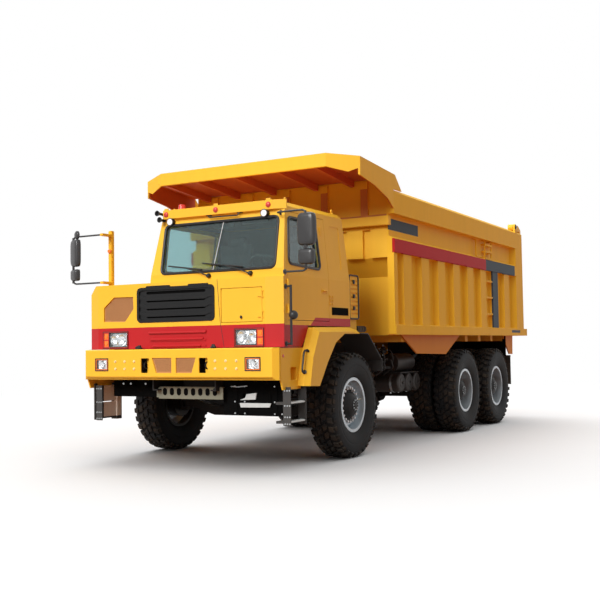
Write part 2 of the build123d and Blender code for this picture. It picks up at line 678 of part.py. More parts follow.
for name, side in (("bed_side_left", 1), ("bed_side_right", -1)):
    with BuildPart() as bed_side:
        with BuildSketch(Plane.XZ.offset(-bed_front_y)):
            with BuildLine():
                Polyline(
                    (side * bed_inner_x, bed_bottom_z), (side * bed_half_width, bed_bottom_z),
                    (side * bed_half_width, bottom_rail_top_z),
                    (side * bed_plate_x, bottom_rail_top_z + 20),
                    (side * bed_plate_x, mid_rail_bottom_z), (side * bed_half_width, mid_rail_bottom_z),
                    (side * bed_half_width, mid_rail_top_z), (side * bed_plate_x, mid_rail_top_z + 50),
                    (side * bed_plate_x, top_rail_bottom_z), (side * bed_half_width, top_rail_bottom_z),
                    (side * bed_half_width, bed_top_z - 40), (side * (bed_half_width - 40), bed_top_z),
                    (side * bed_inner_x, bed_top_z), close=True)
            make_face()
        extrude(amount=bed_front_y - bed_rear_y)
        with BuildSketch(Plane.XY.offset(bed_bottom_z)):
            with Locations((side * (bed_inner_x + bed_half_width) / 2, (bed_rear_y + bed_lip_y) / 2)):
                Rectangle(bed_half_width - bed_inner_x, bed_lip_y - bed_rear_y)
        extrude(amount=bottom_rail_top_z - bed_bottom_z)
        for index in range(rib_count):
            rib_y = rib_first_y + index * rib_pitch
            with BuildSketch(Plane.XY.offset(bottom_rail_top_z)):
                with BuildLine():
                    Polyline(
                        (side * bed_plate_x, rib_y - rib_base / 2),
                        (side * bed_rib_x, rib_y - rib_face / 2),
                        (side * bed_rib_x, rib_y + rib_face / 2),
                        (side * bed_plate_x, rib_y + rib_base / 2),
                        close=True)
                make_face()
            extrude(amount=mid_rail_bottom_z - bottom_rail_top_z)
        with BuildSketch(Plane.XY.offset(bottom_rail_top_z)):
            with BuildLine():
                Polyline(
                    (side * bed_plate_x, column_front_y - column_flank),
                    (side * bed_half_width, column_front_y),
                    (side * bed_half_width, bed_rear_y), (side * bed_plate_x, bed_rear_y), close=True)
            make_face()
        extrude(amount=top_rail_bottom_z - bottom_rail_top_z)
        with BuildSketch(Plane.XY.offset(bottom_rail_top_z)):
            with Locations((side * (bed_plate_x + bed_rib_x) / 2, bed_front_y + 60)):
                Rectangle(bed_rib_x - bed_plate_x, 120)
        extrude(amount=mid_rail_bottom_z - bottom_rail_top_z)
        with BuildSketch(Plane.YZ.offset(side * (bed_plate_x + 10))):
            for skirt_outline in skirt_outlines:
                with BuildLine():
                    Polyline(*skirt_outline, close=True)
                make_face()
        extrude(amount=-side * skirt_thick)
        with BuildSketch(Plane.YZ.offset(side * gate_ear_x)):
            with Locations((gate_pivot_y, gate_pivot_z)):
                Circle(gate_ear_radius)
            with Locations((gate_pivot_y, (bed_top_z - 60 + gate_pivot_z) / 2)):
                Rectangle(2 * gate_ear_radius, gate_pivot_z - bed_top_z + 60)
        extrude(amount=side * (bed_half_width - gate_ear_x))
        with BuildSketch(Plane.YZ.offset(side * bed_inner_x)):
            with Locations((gate_pivot_y, gate_pivot_z)):
                Circle(gate_pin_radius)
        extrude(amount=side * (gate_ear_x - bed_inner_x))
        for rung_z in rung_zs if side > 0 else ():
            with BuildSketch(Plane.XY.offset(rung_z)):
                with Locations(((bed_plate_x + bed_rib_x) / 2, ladder_y)):
                    Rectangle(bed_rib_x - bed_plate_x, rib_pitch - rib_face + 2)
                    Rectangle(bed_rib_x - bed_plate_x, rib_pitch - rib_base - 30, mode=Mode.SUBTRACT)
                with Locations((bed_rib_x - rung_size / 2, ladder_y)):
                    Rectangle(rung_size, rib_pitch - rib_face + 2)
            extrude(amount=rung_size)
    bed_side.part.label = name
    export_step(bed_side.part, f"parts/{name}.step")

# Dump body front wall: upper wall with ribs and a beam, sloped step and recessed lower wall
wall_plate = 30.0
recess_depth = 240.0
step_top_z = bed_top_z - 950.0
step_bottom_z = bed_top_z - 1210.0
head_beam_z = (bed_top_z - 550.0, bed_top_z - 340.0)
head_rib_width = 250.0
head_rib_depth = 45.0
head_rib_count = 9
head_rib_pitch = 2 * (bed_inner_x - head_rib_width / 2) / (head_rib_count - 1)

# Underside of the canopy's plate: it falls towards the rear and the front wall stands up to it
canopy_wall = 25.0
canopy_fall = 4.7
canopy_run = bed_front_y + head_rib_depth - seat_gap - canopy_front_y
canopy_ceiling = Plane(
    origin=(0, canopy_front_y, canopy_lip_top_z - canopy_plate),
    x_dir=(1, 0, 0), z_dir=(0, sin(radians(canopy_fall)), cos(radians(canopy_fall))))
wall_top_z = canopy_lip_top_z - canopy_plate - (canopy_run + wall_plate + 2) * sin(radians(canopy_fall)) - 4
upper_rib_top_z = wall_top_z - 30.0
upper_rib_width = 110.0
upper_rib_pitch = 640.0
upper_rib_count = 5

with BuildPart() as bed_front:
    with BuildSketch(Plane.YZ.offset(-bed_inner_x)):
        with BuildLine():
            Polyline(
                (bed_front_y + head_rib_depth, wall_top_z), (bed_front_y + head_rib_depth, step_top_z),
                (bed_front_y + recess_depth, step_bottom_z), (bed_front_y + recess_depth, bed_bottom_z),
                (bed_front_y + recess_depth + 10, bed_bottom_z),
                (bed_front_y + recess_depth + 10, bed_floor_z),
                (bed_front_y + recess_depth + wall_plate, bed_floor_z),
                (bed_front_y + recess_depth + wall_plate, step_bottom_z + 10),
                (bed_front_y + head_rib_depth + wall_plate, step_top_z + 10),
                (bed_front_y + head_rib_depth + wall_plate, wall_top_z), close=True)
        make_face()
    extrude(amount=2 * bed_inner_x)
    with BuildSketch(Plane.XZ.offset(-bed_front_y)):
        with Locations((0, (head_beam_z[0] + head_beam_z[1]) / 2)):
            Rectangle(2 * bed_inner_x, head_beam_z[1] - head_beam_z[0])
        with GridLocations(head_rib_pitch, 1, head_rib_count, 1):
            with Locations((0, (step_top_z + head_beam_z[0]) / 2)):
                Rectangle(head_rib_width, head_beam_z[0] - step_top_z)
        with GridLocations(upper_rib_pitch, 1, upper_rib_count, 1):
            with Locations((0, (head_beam_z[1] + upper_rib_top_z) / 2)):
                Rectangle(upper_rib_width, upper_rib_top_z - head_beam_z[1])
    extrude(amount=-head_rib_depth)
bed_front.part.label = "bed_front"
export_step(bed_front.part, "parts/bed_front.step")

# Canopy over the cab: sloping plate with a lip all round, fore-and-aft ribs and side gussets
canopy_rear_y = bed_front_y + head_rib_depth + wall_plate
canopy_tail_y = -1600.0
canopy_rib_depth = 95.0
canopy_rib_width = 60.0
canopy_rib_xs = (-1380.0, -840.0, -195.0, 512.0, 1096.0)
canopy_cut = 2000.0
canopy_outline = (
    # y, z of the canopy's side, from the lip backwards and round under it
    (canopy_front_y, canopy_lip_top_z), (canopy_corner_y, canopy_corner_top_z),
    (-1830.0, bed_top_z + 210),
    (canopy_tail_y, bed_top_z + seat_gap), (bed_front_y - seat_gap, bed_top_z + seat_gap),
    (bed_front_y - seat_gap, bed_top_z - 269), (-2088.0, bed_top_z - 154), (-2513.0, bed_top_z - 34),
    (canopy_corner_y, bed_top_z + 37), (canopy_front_y, canopy_lip_top_z - canopy_lip_depth),
)

with BuildPart() as bed_canopy:
    with BuildSketch(Plane.XY.offset(canopy_outline[5][1])):
        with BuildLine():
            Polyline(
                (-bed_half_width, canopy_tail_y), (-bed_half_width, canopy_corner_y),
                (-canopy_front_half, canopy_front_y), (canopy_front_half, canopy_front_y),
                (bed_half_width, canopy_corner_y), (bed_half_width, canopy_tail_y), close=True)
        make_face()
    extrude(amount=canopy_lip_top_z - canopy_outline[5][1])
    with BuildSketch(Plane.YZ):
        with BuildLine():
            Polyline(*canopy_outline, close=True)
        make_face()
    extrude(amount=bed_half_width, both=True, mode=Mode.INTERSECT)
    with BuildSketch(canopy_ceiling):
        with BuildLine():
            Polyline(
                (canopy_wall - bed_half_width, canopy_cut),
                (canopy_wall - bed_half_width, canopy_corner_y - canopy_front_y),
                (-canopy_front_half, canopy_wall), (canopy_front_half, canopy_wall),
                (bed_half_width - canopy_wall, canopy_corner_y - canopy_front_y),
                (bed_half_width - canopy_wall, canopy_cut), close=True)
        make_face()
    extrude(amount=-700, mode=Mode.SUBTRACT)
    with BuildSketch(Plane.XY.offset(bed_top_z)):
        with Locations((0, (canopy_rear_y + canopy_tail_y + 50) / 2)):
            Rectangle(2 * (bed_half_width - canopy_wall), canopy_tail_y + 50 - canopy_rear_y)
    extrude(amount=400, mode=Mode.SUBTRACT)
    with BuildSketch(canopy_ceiling):
        for rib_x in canopy_rib_xs:
            with Locations((rib_x, canopy_run / 2)):
                Rectangle(canopy_rib_width, canopy_run - 2 * canopy_wall)
    extrude(amount=-canopy_rib_depth)
bed_canopy.part.label = "bed_canopy"
export_step(bed_canopy.part, "parts/bed_canopy.step")

# Tailgate: plate between the sides, rear ribs, full-width top beam and arms up to the pivots
gate_clear = 6.0
gate_plate = 25.0
gate_front_y = bed_rear_y - 100
gate_top_z = 3600.0
gate_beam_z = (gate_top_z - 520.0, gate_top_z + 20.0)
gate_beam_depth = 75.0
gate_strip_z = (sum(gate_beam_z) / 2, bed_top_z + 60.0)
gate_arm_x = (bed_plate_x - 50.0, gate_ear_x - swing_gap)
gate_rail_z = (bed_floor_z + 70.0, (bed_floor_z + gate_top_z) / 2 - 320.0)
gate_rib_count = 6

with BuildPart() as tailgate:
    with BuildSketch(Plane.XZ.offset(-gate_front_y)):
        with Locations((0, (bed_floor_z + gate_clear + gate_top_z) / 2)):
            Rectangle(2 * (bed_inner_x - gate_clear), gate_top_z - bed_floor_z - gate_clear)
    extrude(amount=-gate_plate)
    with BuildSketch(Plane.XZ.offset(-gate_front_y - gate_plate)):
        with Locations((0, (bed_floor_z + gate_clear + gate_top_z) / 2)):
            with GridLocations(2 * (bed_inner_x - 80) / (gate_rib_count - 1), 1, gate_rib_count, 1):
                Rectangle(110, gate_top_z - bed_floor_z - gate_clear)
        for rail_z in gate_rail_z:
            with Locations((0, rail_z)):
                Rectangle(2 * (bed_inner_x - gate_clear), 110)
    extrude(amount=-(bed_rear_y + gate_clear - gate_front_y - gate_plate))
    with BuildSketch(Plane.XZ.offset(-bed_rear_y - gate_clear)):
        with Locations((0, (gate_beam_z[0] + gate_beam_z[1]) / 2)):
            Rectangle(2 * gate_arm_x[1], gate_beam_z[1] - gate_beam_z[0])
    extrude(amount=-gate_beam_depth)
    for side in (-1, 1):
        with BuildSketch(Plane.YZ.offset(side * gate_arm_x[0])):
            with BuildLine():
                Polyline(
                    (gate_pivot_y, gate_pivot_z - gate_ear_radius),
                    (bed_rear_y + gate_clear, bed_top_z + 25),
                    (bed_rear_y + gate_clear + gate_beam_depth, bed_top_z + 25),
                    (bed_rear_y + gate_clear + gate_beam_depth, gate_strip_z[1]),
                    (bed_rear_y - 90, gate_pivot_z + gate_ear_radius),
                    (gate_pivot_y, gate_pivot_z + gate_ear_radius),
                    close=True)
            make_face()
            with Locations((gate_pivot_y, gate_pivot_z)):
                Circle(gate_ear_radius)
                Circle(gate_pin_radius + seat_gap, mode=Mode.SUBTRACT)
            with Locations((bed_rear_y + gate_clear + gate_beam_depth / 2, sum(gate_strip_z) / 2)):
                Rectangle(gate_beam_depth, abs(gate_strip_z[1] - gate_strip_z[0]))
        extrude(amount=side * (gate_arm_x[1] - gate_arm_x[0]))
tailgate.part.label = "tailgate"
export_step(tailgate.part, "parts/tailgate.step")

# Twin hoist cylinders: barrels on one cross shaft, middle stages and rods, at rest along one line
hoist_angle = degrees(atan2(hoist_pin_z - hoist_pivot_z, hoist_pin_y - hoist_pivot_y))
hoist_length = hypot(hoist_pin_y - hoist_pivot_y, hoist_pin_z - hoist_pivot_z)
tube_wall = 12.0
barrel_start = 80.0
barrel_end = 1300.0
stage_start = 110.0
stage_end = 1360.0
rod_start = 140.0


def hoist_plane(side, along):
    """Plane square to one cylinder, at a distance along it from the lower pivot."""
    rise = radians(hoist_angle)
    origin = (side * hoist_x, hoist_pivot_y + along * cos(rise), hoist_pivot_z + along * sin(rise))
    return Plane(origin=origin, x_dir=(1, 0, 0), z_dir=(0, cos(rise), sin(rise)))


with BuildPart() as hoist_barrels:
    for side in (-1, 1):
        with BuildSketch(hoist_plane(side, barrel_start)):
            Circle(barrel_radius)
        extrude(amount=barrel_end - barrel_start)
        with BuildSketch(hoist_plane(side, barrel_start + tube_wall)):
            Circle(stage_radius + seat_gap)
        extrude(amount=barrel_end, mode=Mode.SUBTRACT)
        with BuildSketch(hoist_plane(side, barrel_start)):
            Rectangle(hoist_eye_width, 2 * hoist_eye_radius)
        extrude(amount=-barrel_start)
        with BuildSketch(Plane.YZ.offset(side * (hoist_x - hoist_eye_width / 2))):
            with Locations((hoist_pivot_y, hoist_pivot_z)):
                Circle(hoist_eye_radius)
        extrude(amount=side * hoist_eye_width)
    with BuildSketch(Plane.YZ):
        with Locations((hoist_pivot_y, hoist_pivot_z)):
            Circle(hoist_shaft_radius)
    extrude(amount=rail_inner_x, both=True)
hoist_barrels.part.label = "hoist_barrels"
export_step(hoist_barrels.part, "parts/hoist_barrels.step")

with BuildPart() as hoist_stages:
    for side in (-1, 1):
        with BuildSketch(hoist_plane(side, stage_start)):
            Circle(stage_radius)
            Circle(rod_radius + seat_gap, mode=Mode.SUBTRACT)
        extrude(amount=stage_end - stage_start)
hoist_stages.part.label = "hoist_stages"
export_step(hoist_stages.part, "parts/hoist_stages.step")

with BuildPart() as hoist_rods:
    for side in (-1, 1):
        with BuildSketch(hoist_plane(side, rod_start)):
            Circle(rod_radius)
        extrude(amount=hoist_length - rod_start)
        with BuildSketch(Plane.YZ.offset(side * (hoist_x - hoist_eye_width / 2))):
            with Locations((hoist_pin_y, hoist_pin_z)):
                Circle(hoist_eye_radius)
        extrude(amount=side * hoist_eye_width)
hoist_rods.part.label = "hoist_rods"
export_step(hoist_rods.part, "parts/hoist_rods.step")

# Cab: a front outline swept backwards, raked at the windscreen and the rear, hollowed and cut for windows
cab_eave_z = cab_roof_z - 60
door_cut_x = cab_roof_left_x - 1.4 * cab_wall
cab_outline = (
    # x, z of the cab seen from the front
    (cab_right_x, deck_z), (cab_right_x, cab_waist_z), (cab_roof_right_x, cab_eave_z),
    (cab_roof_right_x + 60, cab_roof_z), (cab_roof_left_x - 60, cab_roof_z),
    (cab_roof_left_x, cab_eave_z),
    (side_x, cab_waist_z), (side_x, deck_z),
)
cab_profile = (
    # y, z of the cab seen from its side
    (cab_front_y, deck_z), (cab_front_y, screen_base_z), (roof_front_y, cab_roof_z),
    (roof_rear_y, cab_roof_z),
    (cab_rear_y, cab_waist_z), (cab_rear_y, deck_z),
)
door_outline = (
    # y, z of the door opening
    (-4425.0, 1765.0), (-4425.0, 2400.0), (-4345.0, 3070.0), (-3400.0, 3070.0), (-3370.0, 2400.0),
    (-3370.0, 1765.0),
)
door_window = (
    # y, z of the door's window
    (-4378.0, 2440.0), (-4312.0, 3000.0), (-3640.0, 3000.0), (-3580.0, 2410.0),
)
door_hinge_x = side_x + 13.0
door_hinge_y = -4436.0
door_hinge_zs = (1900.0, 2200.0)
door_hinge_half = 35.0
door_hinge_radius = 11.0
door_pin_radius = 6.0
screen_x = (-330.0, 1330.0)
window_z = (2440.0, 3010.0)
rear_window_x = (-250.0, 1200.0)
right_window_y = (-4250.0, -3150.0)
screen_lean = atan2(roof_front_y - cab_front_y, cab_roof_z - screen_base_z)
rear_lean = atan2(cab_rear_y - roof_rear_y, cab_roof_z - cab_waist_z)
screen_plane = Plane(
    origin=(0, cab_front_y, screen_base_z), x_dir=(1, 0, 0),
    z_dir=(0, -cos(screen_lean), sin(screen_lean)))
rear_plane = Plane(
    origin=(0, cab_rear_y, cab_waist_z), x_dir=(-1, 0, 0), z_dir=(0, cos(rear_lean), sin(rear_lean)))
right_plane = Plane(
    origin=(cab_right_x, 0, cab_waist_z), x_dir=(0, -1, 0),
    z_dir=(cab_waist_z - cab_eave_z, 0, cab_roof_right_x - cab_right_x))
left_plane = Plane(
    origin=(side_x, 0, cab_waist_z), x_dir=(0, 1, 0),
    z_dir=(cab_eave_z - cab_waist_z, 0, side_x - cab_roof_left_x))
pressed_y = (-3265.0, -2985.0)
pressed_height = 560.0
pressed_depth = 6.0
screen_height = (window_z[1] - screen_base_z) / cos(screen_lean)
right_window_height = 570.0

with BuildPart() as cab_solid:
    with BuildSketch(Plane.XZ.offset(-cab_front_y)):
        with BuildLine():
            Polyline(*cab_outline, close=True)
        make_face()
    extrude(amount=cab_front_y - cab_rear_y)
    with BuildSketch(Plane.YZ.offset(cab_right_x)):
        with BuildLine():
            Polyline(*cab_profile, close=True)
        make_face()
    extrude(amount=side_x - cab_right_x, mode=Mode.INTERSECT)

with BuildPart() as cab_body:
    add(cab_solid.part)
    offset(amount=-cab_wall, kind=Kind.INTERSECTION, mode=Mode.REPLACE)

with BuildPart() as cab_skin:
    add(cab_solid.part)
    add(cab_body.part, mode=Mode.SUBTRACT)

with BuildPart() as door_prism:
    with BuildSketch(Plane.YZ.offset(door_cut_x)):
        with BuildLine():
            Polyline(*door_outline, close=True)
        make_face()
    extrude(amount=side_x)

with BuildPart() as cab_shell:
    add(cab_skin.part)
    add(door_prism.part, mode=Mode.SUBTRACT)
    with BuildSketch(screen_plane):
        with Locations(((screen_x[0] + screen_x[1]) / 2, screen_height / 2 + 10)):
            RectangleRounded(screen_x[1] - screen_x[0], screen_height, 60)
    extrude(amount=100, both=True, mode=Mode.SUBTRACT)
    with BuildSketch(rear_plane):
        with Locations((-sum(rear_window_x) / 2, sum(window_z) / 2 - cab_waist_z)):
            RectangleRounded(rear_window_x[1] - rear_window_x[0], window_z[1] - window_z[0], 60)
    extrude(amount=100, both=True, mode=Mode.SUBTRACT)
    with BuildSketch(right_plane):
        with Locations((-(right_window_y[0] + right_window_y[1]) / 2, right_window_height / 2 + 140)):
            RectangleRounded(right_window_y[1] - right_window_y[0], right_window_height, 60)
    extrude(amount=100, both=True, mode=Mode.SUBTRACT)
    with BuildSketch(left_plane):
        with Locations(((pressed_y[0] + pressed_y[1]) / 2, pressed_height / 2 + 140)):
            RectangleRounded(pressed_y[1] - pressed_y[0], pressed_height, 40)
    extrude(amount=-pressed_depth, mode=Mode.SUBTRACT)
    for hinge_z in door_hinge_zs:
        with BuildSketch(Plane.XY.offset(hinge_z - door_hinge_half - 15)):
            with Locations((door_hinge_x, door_hinge_y)):
                Circle(door_hinge_radius)
            with Locations(((side_x - 10 + door_hinge_x) / 2, door_hinge_y)):
                Rectangle(door_hinge_x - side_x + 10, 2 * door_hinge_radius)
        extrude(amount=2 * (door_hinge_half + 15))
        with BuildSketch(Plane.XY.offset(hinge_z - door_hinge_half - seat_gap)):
            with Locations((side_x + 50, door_hinge_y)):
                Rectangle(100, 100)
        extrude(amount=2 * (door_hinge_half + seat_gap), mode=Mode.SUBTRACT)
        with BuildSketch(Plane.XY.offset(hinge_z - door_hinge_half - 15)):
            with Locations((door_hinge_x, door_hinge_y)):
                Circle(door_pin_radius)
        extrude(amount=2 * (door_hinge_half + 15))
cab_shell.part.label = "cab_shell"
export_step(cab_shell.part, "parts/cab_shell.step")

# Cab door: the same skin inside the opening, with its window cut
with BuildPart() as cab_door:
    add(cab_skin.part)
    with BuildSketch(Plane.YZ.offset(door_cut_x)):
        with BuildLine():
            Polyline(*door_outline, close=True)
        make_face()
        offset(amount=-swing_gap, mode=Mode.REPLACE)
    extrude(amount=side_x, mode=Mode.INTERSECT)
    with BuildSketch(Plane.YZ.offset(door_cut_x)):
        with BuildLine():
            Polyline(*door_window, close=True)
        make_face()
        fillet(vertices(), 60)
    extrude(amount=side_x, mode=Mode.SUBTRACT)
    for hinge_z in door_hinge_zs:
        with BuildSketch(Plane.XY.offset(hinge_z - door_hinge_half)):
            with Locations((side_x + 3, (door_hinge_y + door_outline[0][0] + 80) / 2)):
                Rectangle(6, door_outline[0][0] + 80 - door_hinge_y)
            with Locations((door_hinge_x, door_hinge_y)):
                Circle(door_hinge_radius)
            with Locations(((side_x + door_hinge_x) / 2, door_hinge_y + 3)):
                Rectangle(door_hinge_x - side_x, 6)
            with Locations((door_hinge_x, door_hinge_y)):
                Circle(door_pin_radius + seat_gap, mode=Mode.SUBTRACT)
        extrude(amount=2 * door_hinge_half)
cab_door.part.label = "cab_door"
export_step(cab_door.part, "parts/cab_door.step")

# Glass: windscreen, rear and right panes on the cab, and the door's own pane
with BuildPart() as cab_glass:
    with BuildSketch(screen_plane.offset(-cab_wall / 2)):
        with Locations(((screen_x[0] + screen_x[1]) / 2, screen_height / 2 + 10)):
            RectangleRounded(screen_x[1] - screen_x[0] - 2 * seat_gap, screen_height - 2 * seat_gap, 60)
    extrude(amount=glass_thick)
    with BuildSketch(rear_plane.offset(-cab_wall / 2)):
        with Locations((-sum(rear_window_x) / 2, sum(window_z) / 2 - cab_waist_z)):
            RectangleRounded(
                rear_window_x[1] - rear_window_x[0] - 2 * seat_gap,
                window_z[1] - window_z[0] - 2 * seat_gap, 60)
    extrude(amount=glass_thick)
    with BuildSketch(right_plane.offset(-cab_wall / 2)):
        with Locations((-(right_window_y[0] + right_window_y[1]) / 2, right_window_height / 2 + 140)):
            RectangleRounded(
                right_window_y[1] - right_window_y[0] - 2 * seat_gap,
                right_window_height - 2 * seat_gap, 60)
    extrude(amount=glass_thick)
cab_glass.part.label = "cab_glass"
export_step(cab_glass.part, "parts/cab_glass.step")

with BuildPart() as door_glass:
    with BuildSketch(Plane.YZ.offset(door_cut_x)):
        with BuildLine():
            Polyline(*door_window, close=True)
        make_face()
        fillet(vertices(), 60)
        offset(amount=-seat_gap, mode=Mode.REPLACE)
    extrude(amount=side_x)
    with BuildSketch(Plane.XZ.offset(4600)):
        with BuildLine():
            Polyline(
                (side_x - 25, cab_waist_z), (cab_roof_left_x - 25, cab_eave_z),
                (cab_roof_left_x - 25 - glass_thick, cab_eave_z),
                (side_x - 25 - glass_thick, cab_waist_z),
                close=True)
        make_face()
    extrude(amount=-2000, mode=Mode.INTERSECT)
door_glass.part.label = "door_glass"
export_step(door_glass.part, "parts/door_glass.step")

# Nose: front panel hollowed from behind, closed hood box beside the cab, and the cheeks under the cab
nose_skin = 20.0
nose_flat_x = (-1300.0, 1240.0)
nose_back_y = cab_front_y - seat_gap
skin_back_y = nose_front_y + nose_skin
hood_right_chamfer = 110.0
cheek_rear_y = -3950.0
grille_x = (-660.0, 525.0)
grille_z = (1783.0, 2226.0)
grille_corner = 60.0
hatch_x = (620.0, 1190.0)
hatch_z = (1759.0, 2160.0)
mesh_outline = (
    # x, z of the opening beside the grille
    (-1037.0, 2121.0), (-726.0, 2116.0), (-719.0, 1963.0), (-858.0, 1801.0), (-1206.0, 1810.0),
    (-1204.0, 1992.0),
)
lamp_z = (1478.0, 1668.0)
lamp_wall = 7.0
lamp_table = (
    # side, lamp from, lamp to, indicator from, indicator to
    (1, 820.0, 1115.0, 1122.0, 1205.0),
    (-1, 820.0, 1115.0, 1122.0, 1205.0),
)
nose_rib_zs = (1486.0, 1558.0, 1670.0)
nose_rib_x = (-458.0, 395.0)
hatch_hinge_x = hatch_x[1] + swing_gap
hatch_hinge_y = nose_front_y - 9.0
hatch_hinge_radius = 8.0
hatch_pin_radius = 4.0
hatch_hinge_half = 30.0
hatch_hinge_zs = (hatch_z[0] + 80, hatch_z[1] - 80)

with BuildPart() as nose:
    with BuildSketch(Plane.XY.offset(nose_bottom_z)):
        with BuildLine():
            Polyline(
                (-side_x, nose_back_y), (-side_x, nose_back_y - 20), (nose_flat_x[0], nose_front_y),
                (nose_flat_x[1], nose_front_y), (side_x, nose_back_y - 20), (side_x, nose_back_y),
                close=True)
        make_face()
    extrude(amount=nose_top_z - nose_bottom_z)
    with BuildSketch(Plane.XZ.offset(-skin_back_y)):
        with Locations((0, (nose_bottom_z + nose_top_z) / 2)):
            Rectangle(nose_flat_x[1] - nose_flat_x[0], nose_top_z - nose_bottom_z - 2 * nose_skin)
    extrude(amount=-nose_depth, mode=Mode.SUBTRACT)
    with BuildSketch(Plane.XZ.offset(-nose_back_y)):
        with Locations((-(side_x + seat_gap - cab_right_x) / 2, (deck_z + nose_top_z) / 2)):
            Rectangle(side_x + cab_right_x - seat_gap, nose_top_z - deck_z)
    extrude(amount=nose_back_y - cab_rear_y)
    for side in (-1, 1):
        with BuildSketch(Plane.YZ.offset(side * (side_x - nose_skin))):
            with BuildLine():
                Polyline(
                    (nose_back_y - 15, nose_bottom_z), (nose_back_y - 15, deck_z), (cheek_rear_y, deck_z),
                    (cheek_rear_y, nose_bottom_z + 190), (cheek_rear_y - 150, nose_bottom_z), close=True)
            make_face()
        extrude(amount=side * nose_skin)
    with BuildSketch(Plane.XZ.offset(-nose_back_y - 20)):
        with Locations((-(side_x + seat_gap - cab_right_x) / 2, (deck_z + nose_top_z) / 2 - nose_skin)):
            Rectangle(side_x + cab_right_x - seat_gap - 2 * nose_skin, nose_top_z - deck_z)
    extrude(amount=nose_back_y + 20 - cab_rear_y + nose_skin, mode=Mode.SUBTRACT)
    with BuildSketch(Plane.XZ.offset(-nose_front_y)):
        with Locations(((grille_x[0] + grille_x[1]) / 2, (grille_z[0] + grille_z[1]) / 2)):
            RectangleRounded(grille_x[1] - grille_x[0], grille_z[1] - grille_z[0], grille_corner)
        with Locations(((hatch_x[0] + hatch_x[1]) / 2, (hatch_z[0] + hatch_z[1]) / 2)):
            Rectangle(hatch_x[1] - hatch_x[0] + 2 * swing_gap, hatch_z[1] - hatch_z[0] + 2 * swing_gap)
        with BuildLine():
            Polyline(*mesh_outline, close=True)
        make_face()
        for side, lamp_from, lamp_to, turn_from, turn_to in lamp_table:
            with Locations((side * (lamp_from + turn_to) / 2, (lamp_z[0] + lamp_z[1]) / 2)):
                Rectangle(turn_to - lamp_from + 2 * lamp_wall, lamp_z[1] - lamp_z[0])
    extrude(amount=-nose_skin, mode=Mode.SUBTRACT)
    for rib_z in nose_rib_zs:
        with BuildSketch(Plane.XZ.offset(-nose_front_y)):
            with Locations(((nose_rib_x[0] + nose_rib_x[1]) / 2, rib_z)):
                RectangleRounded(nose_rib_x[1] - nose_rib_x[0], 26, 8)
        extrude(amount=12)
    for hinge_z in hatch_hinge_zs:
        for lug_z in (hinge_z - hatch_hinge_half - 12, hinge_z + hatch_hinge_half):
            with BuildSketch(Plane.XY.offset(lug_z)):
                with Locations((hatch_hinge_x, hatch_hinge_y)):
                    Circle(hatch_hinge_radius)
                with Locations((hatch_hinge_x + 12, (hatch_hinge_y + nose_front_y) / 2 + 4)):
                    Rectangle(24, nose_front_y - hatch_hinge_y + 8)
            extrude(amount=12)
        with BuildSketch(Plane.XY.offset(hinge_z - hatch_hinge_half)):
            with Locations((hatch_hinge_x, hatch_hinge_y)):
                Circle(hatch_pin_radius)
        extrude(amount=2 * hatch_hinge_half)
    with BuildSketch(Plane.XZ.offset(-nose_front_y)):
        with BuildLine():
            Polyline(
                (-side_x, nose_top_z), (-side_x, nose_top_z - hood_right_chamfer),
                (hood_right_chamfer - side_x, nose_top_z), close=True)
        make_face()
    extrude(amount=nose_front_y - cab_rear_y, mode=Mode.SUBTRACT)
nose.part.label = "nose"
export_step(nose.part, "parts/nose.step")

# Hatch in the nose, on two hinges at its left edge
with BuildPart() as nose_hatch:
    with BuildSketch(Plane.XZ.offset(-nose_front_y - 4)):
        with Locations(((hatch_x[0] + hatch_x[1]) / 2, (hatch_z[0] + hatch_z[1]) / 2)):
            RectangleRounded(hatch_x[1] - hatch_x[0], hatch_z[1] - hatch_z[0], 15)
    extrude(amount=-(nose_skin - 4))
    for hinge_z in hatch_hinge_zs:
        with BuildSketch(Plane.XY.offset(hinge_z - hatch_hinge_half + seat_gap)):
            with Locations((hatch_hinge_x, hatch_hinge_y)):
                Circle(hatch_hinge_radius)
            with Locations((hatch_hinge_x - 30, nose_front_y - 3)):
                Rectangle(60, 14)
            with Locations((hatch_hinge_x, hatch_hinge_y)):
                Circle(hatch_pin_radius + seat_gap, mode=Mode.SUBTRACT)
        extrude(amount=2 * (hatch_hinge_half - seat_gap))
nose_hatch.part.label = "nose_hatch"
export_step(nose_hatch.part, "parts/nose_hatch.step")

# Grille: a rounded frame set in the nose with three raised bars across a slotted back
grille_depth = 30.0
grille_border = 34.0
grille_bar_zs = (1905.0, 2005.0, 2105.0)
grille_bar_height = 48.0
bar_rise = 22.0
bar_bend = 55.0
bar_end_x = (grille_x[0] + grille_border / 2, grille_x[1] - grille_border / 2)

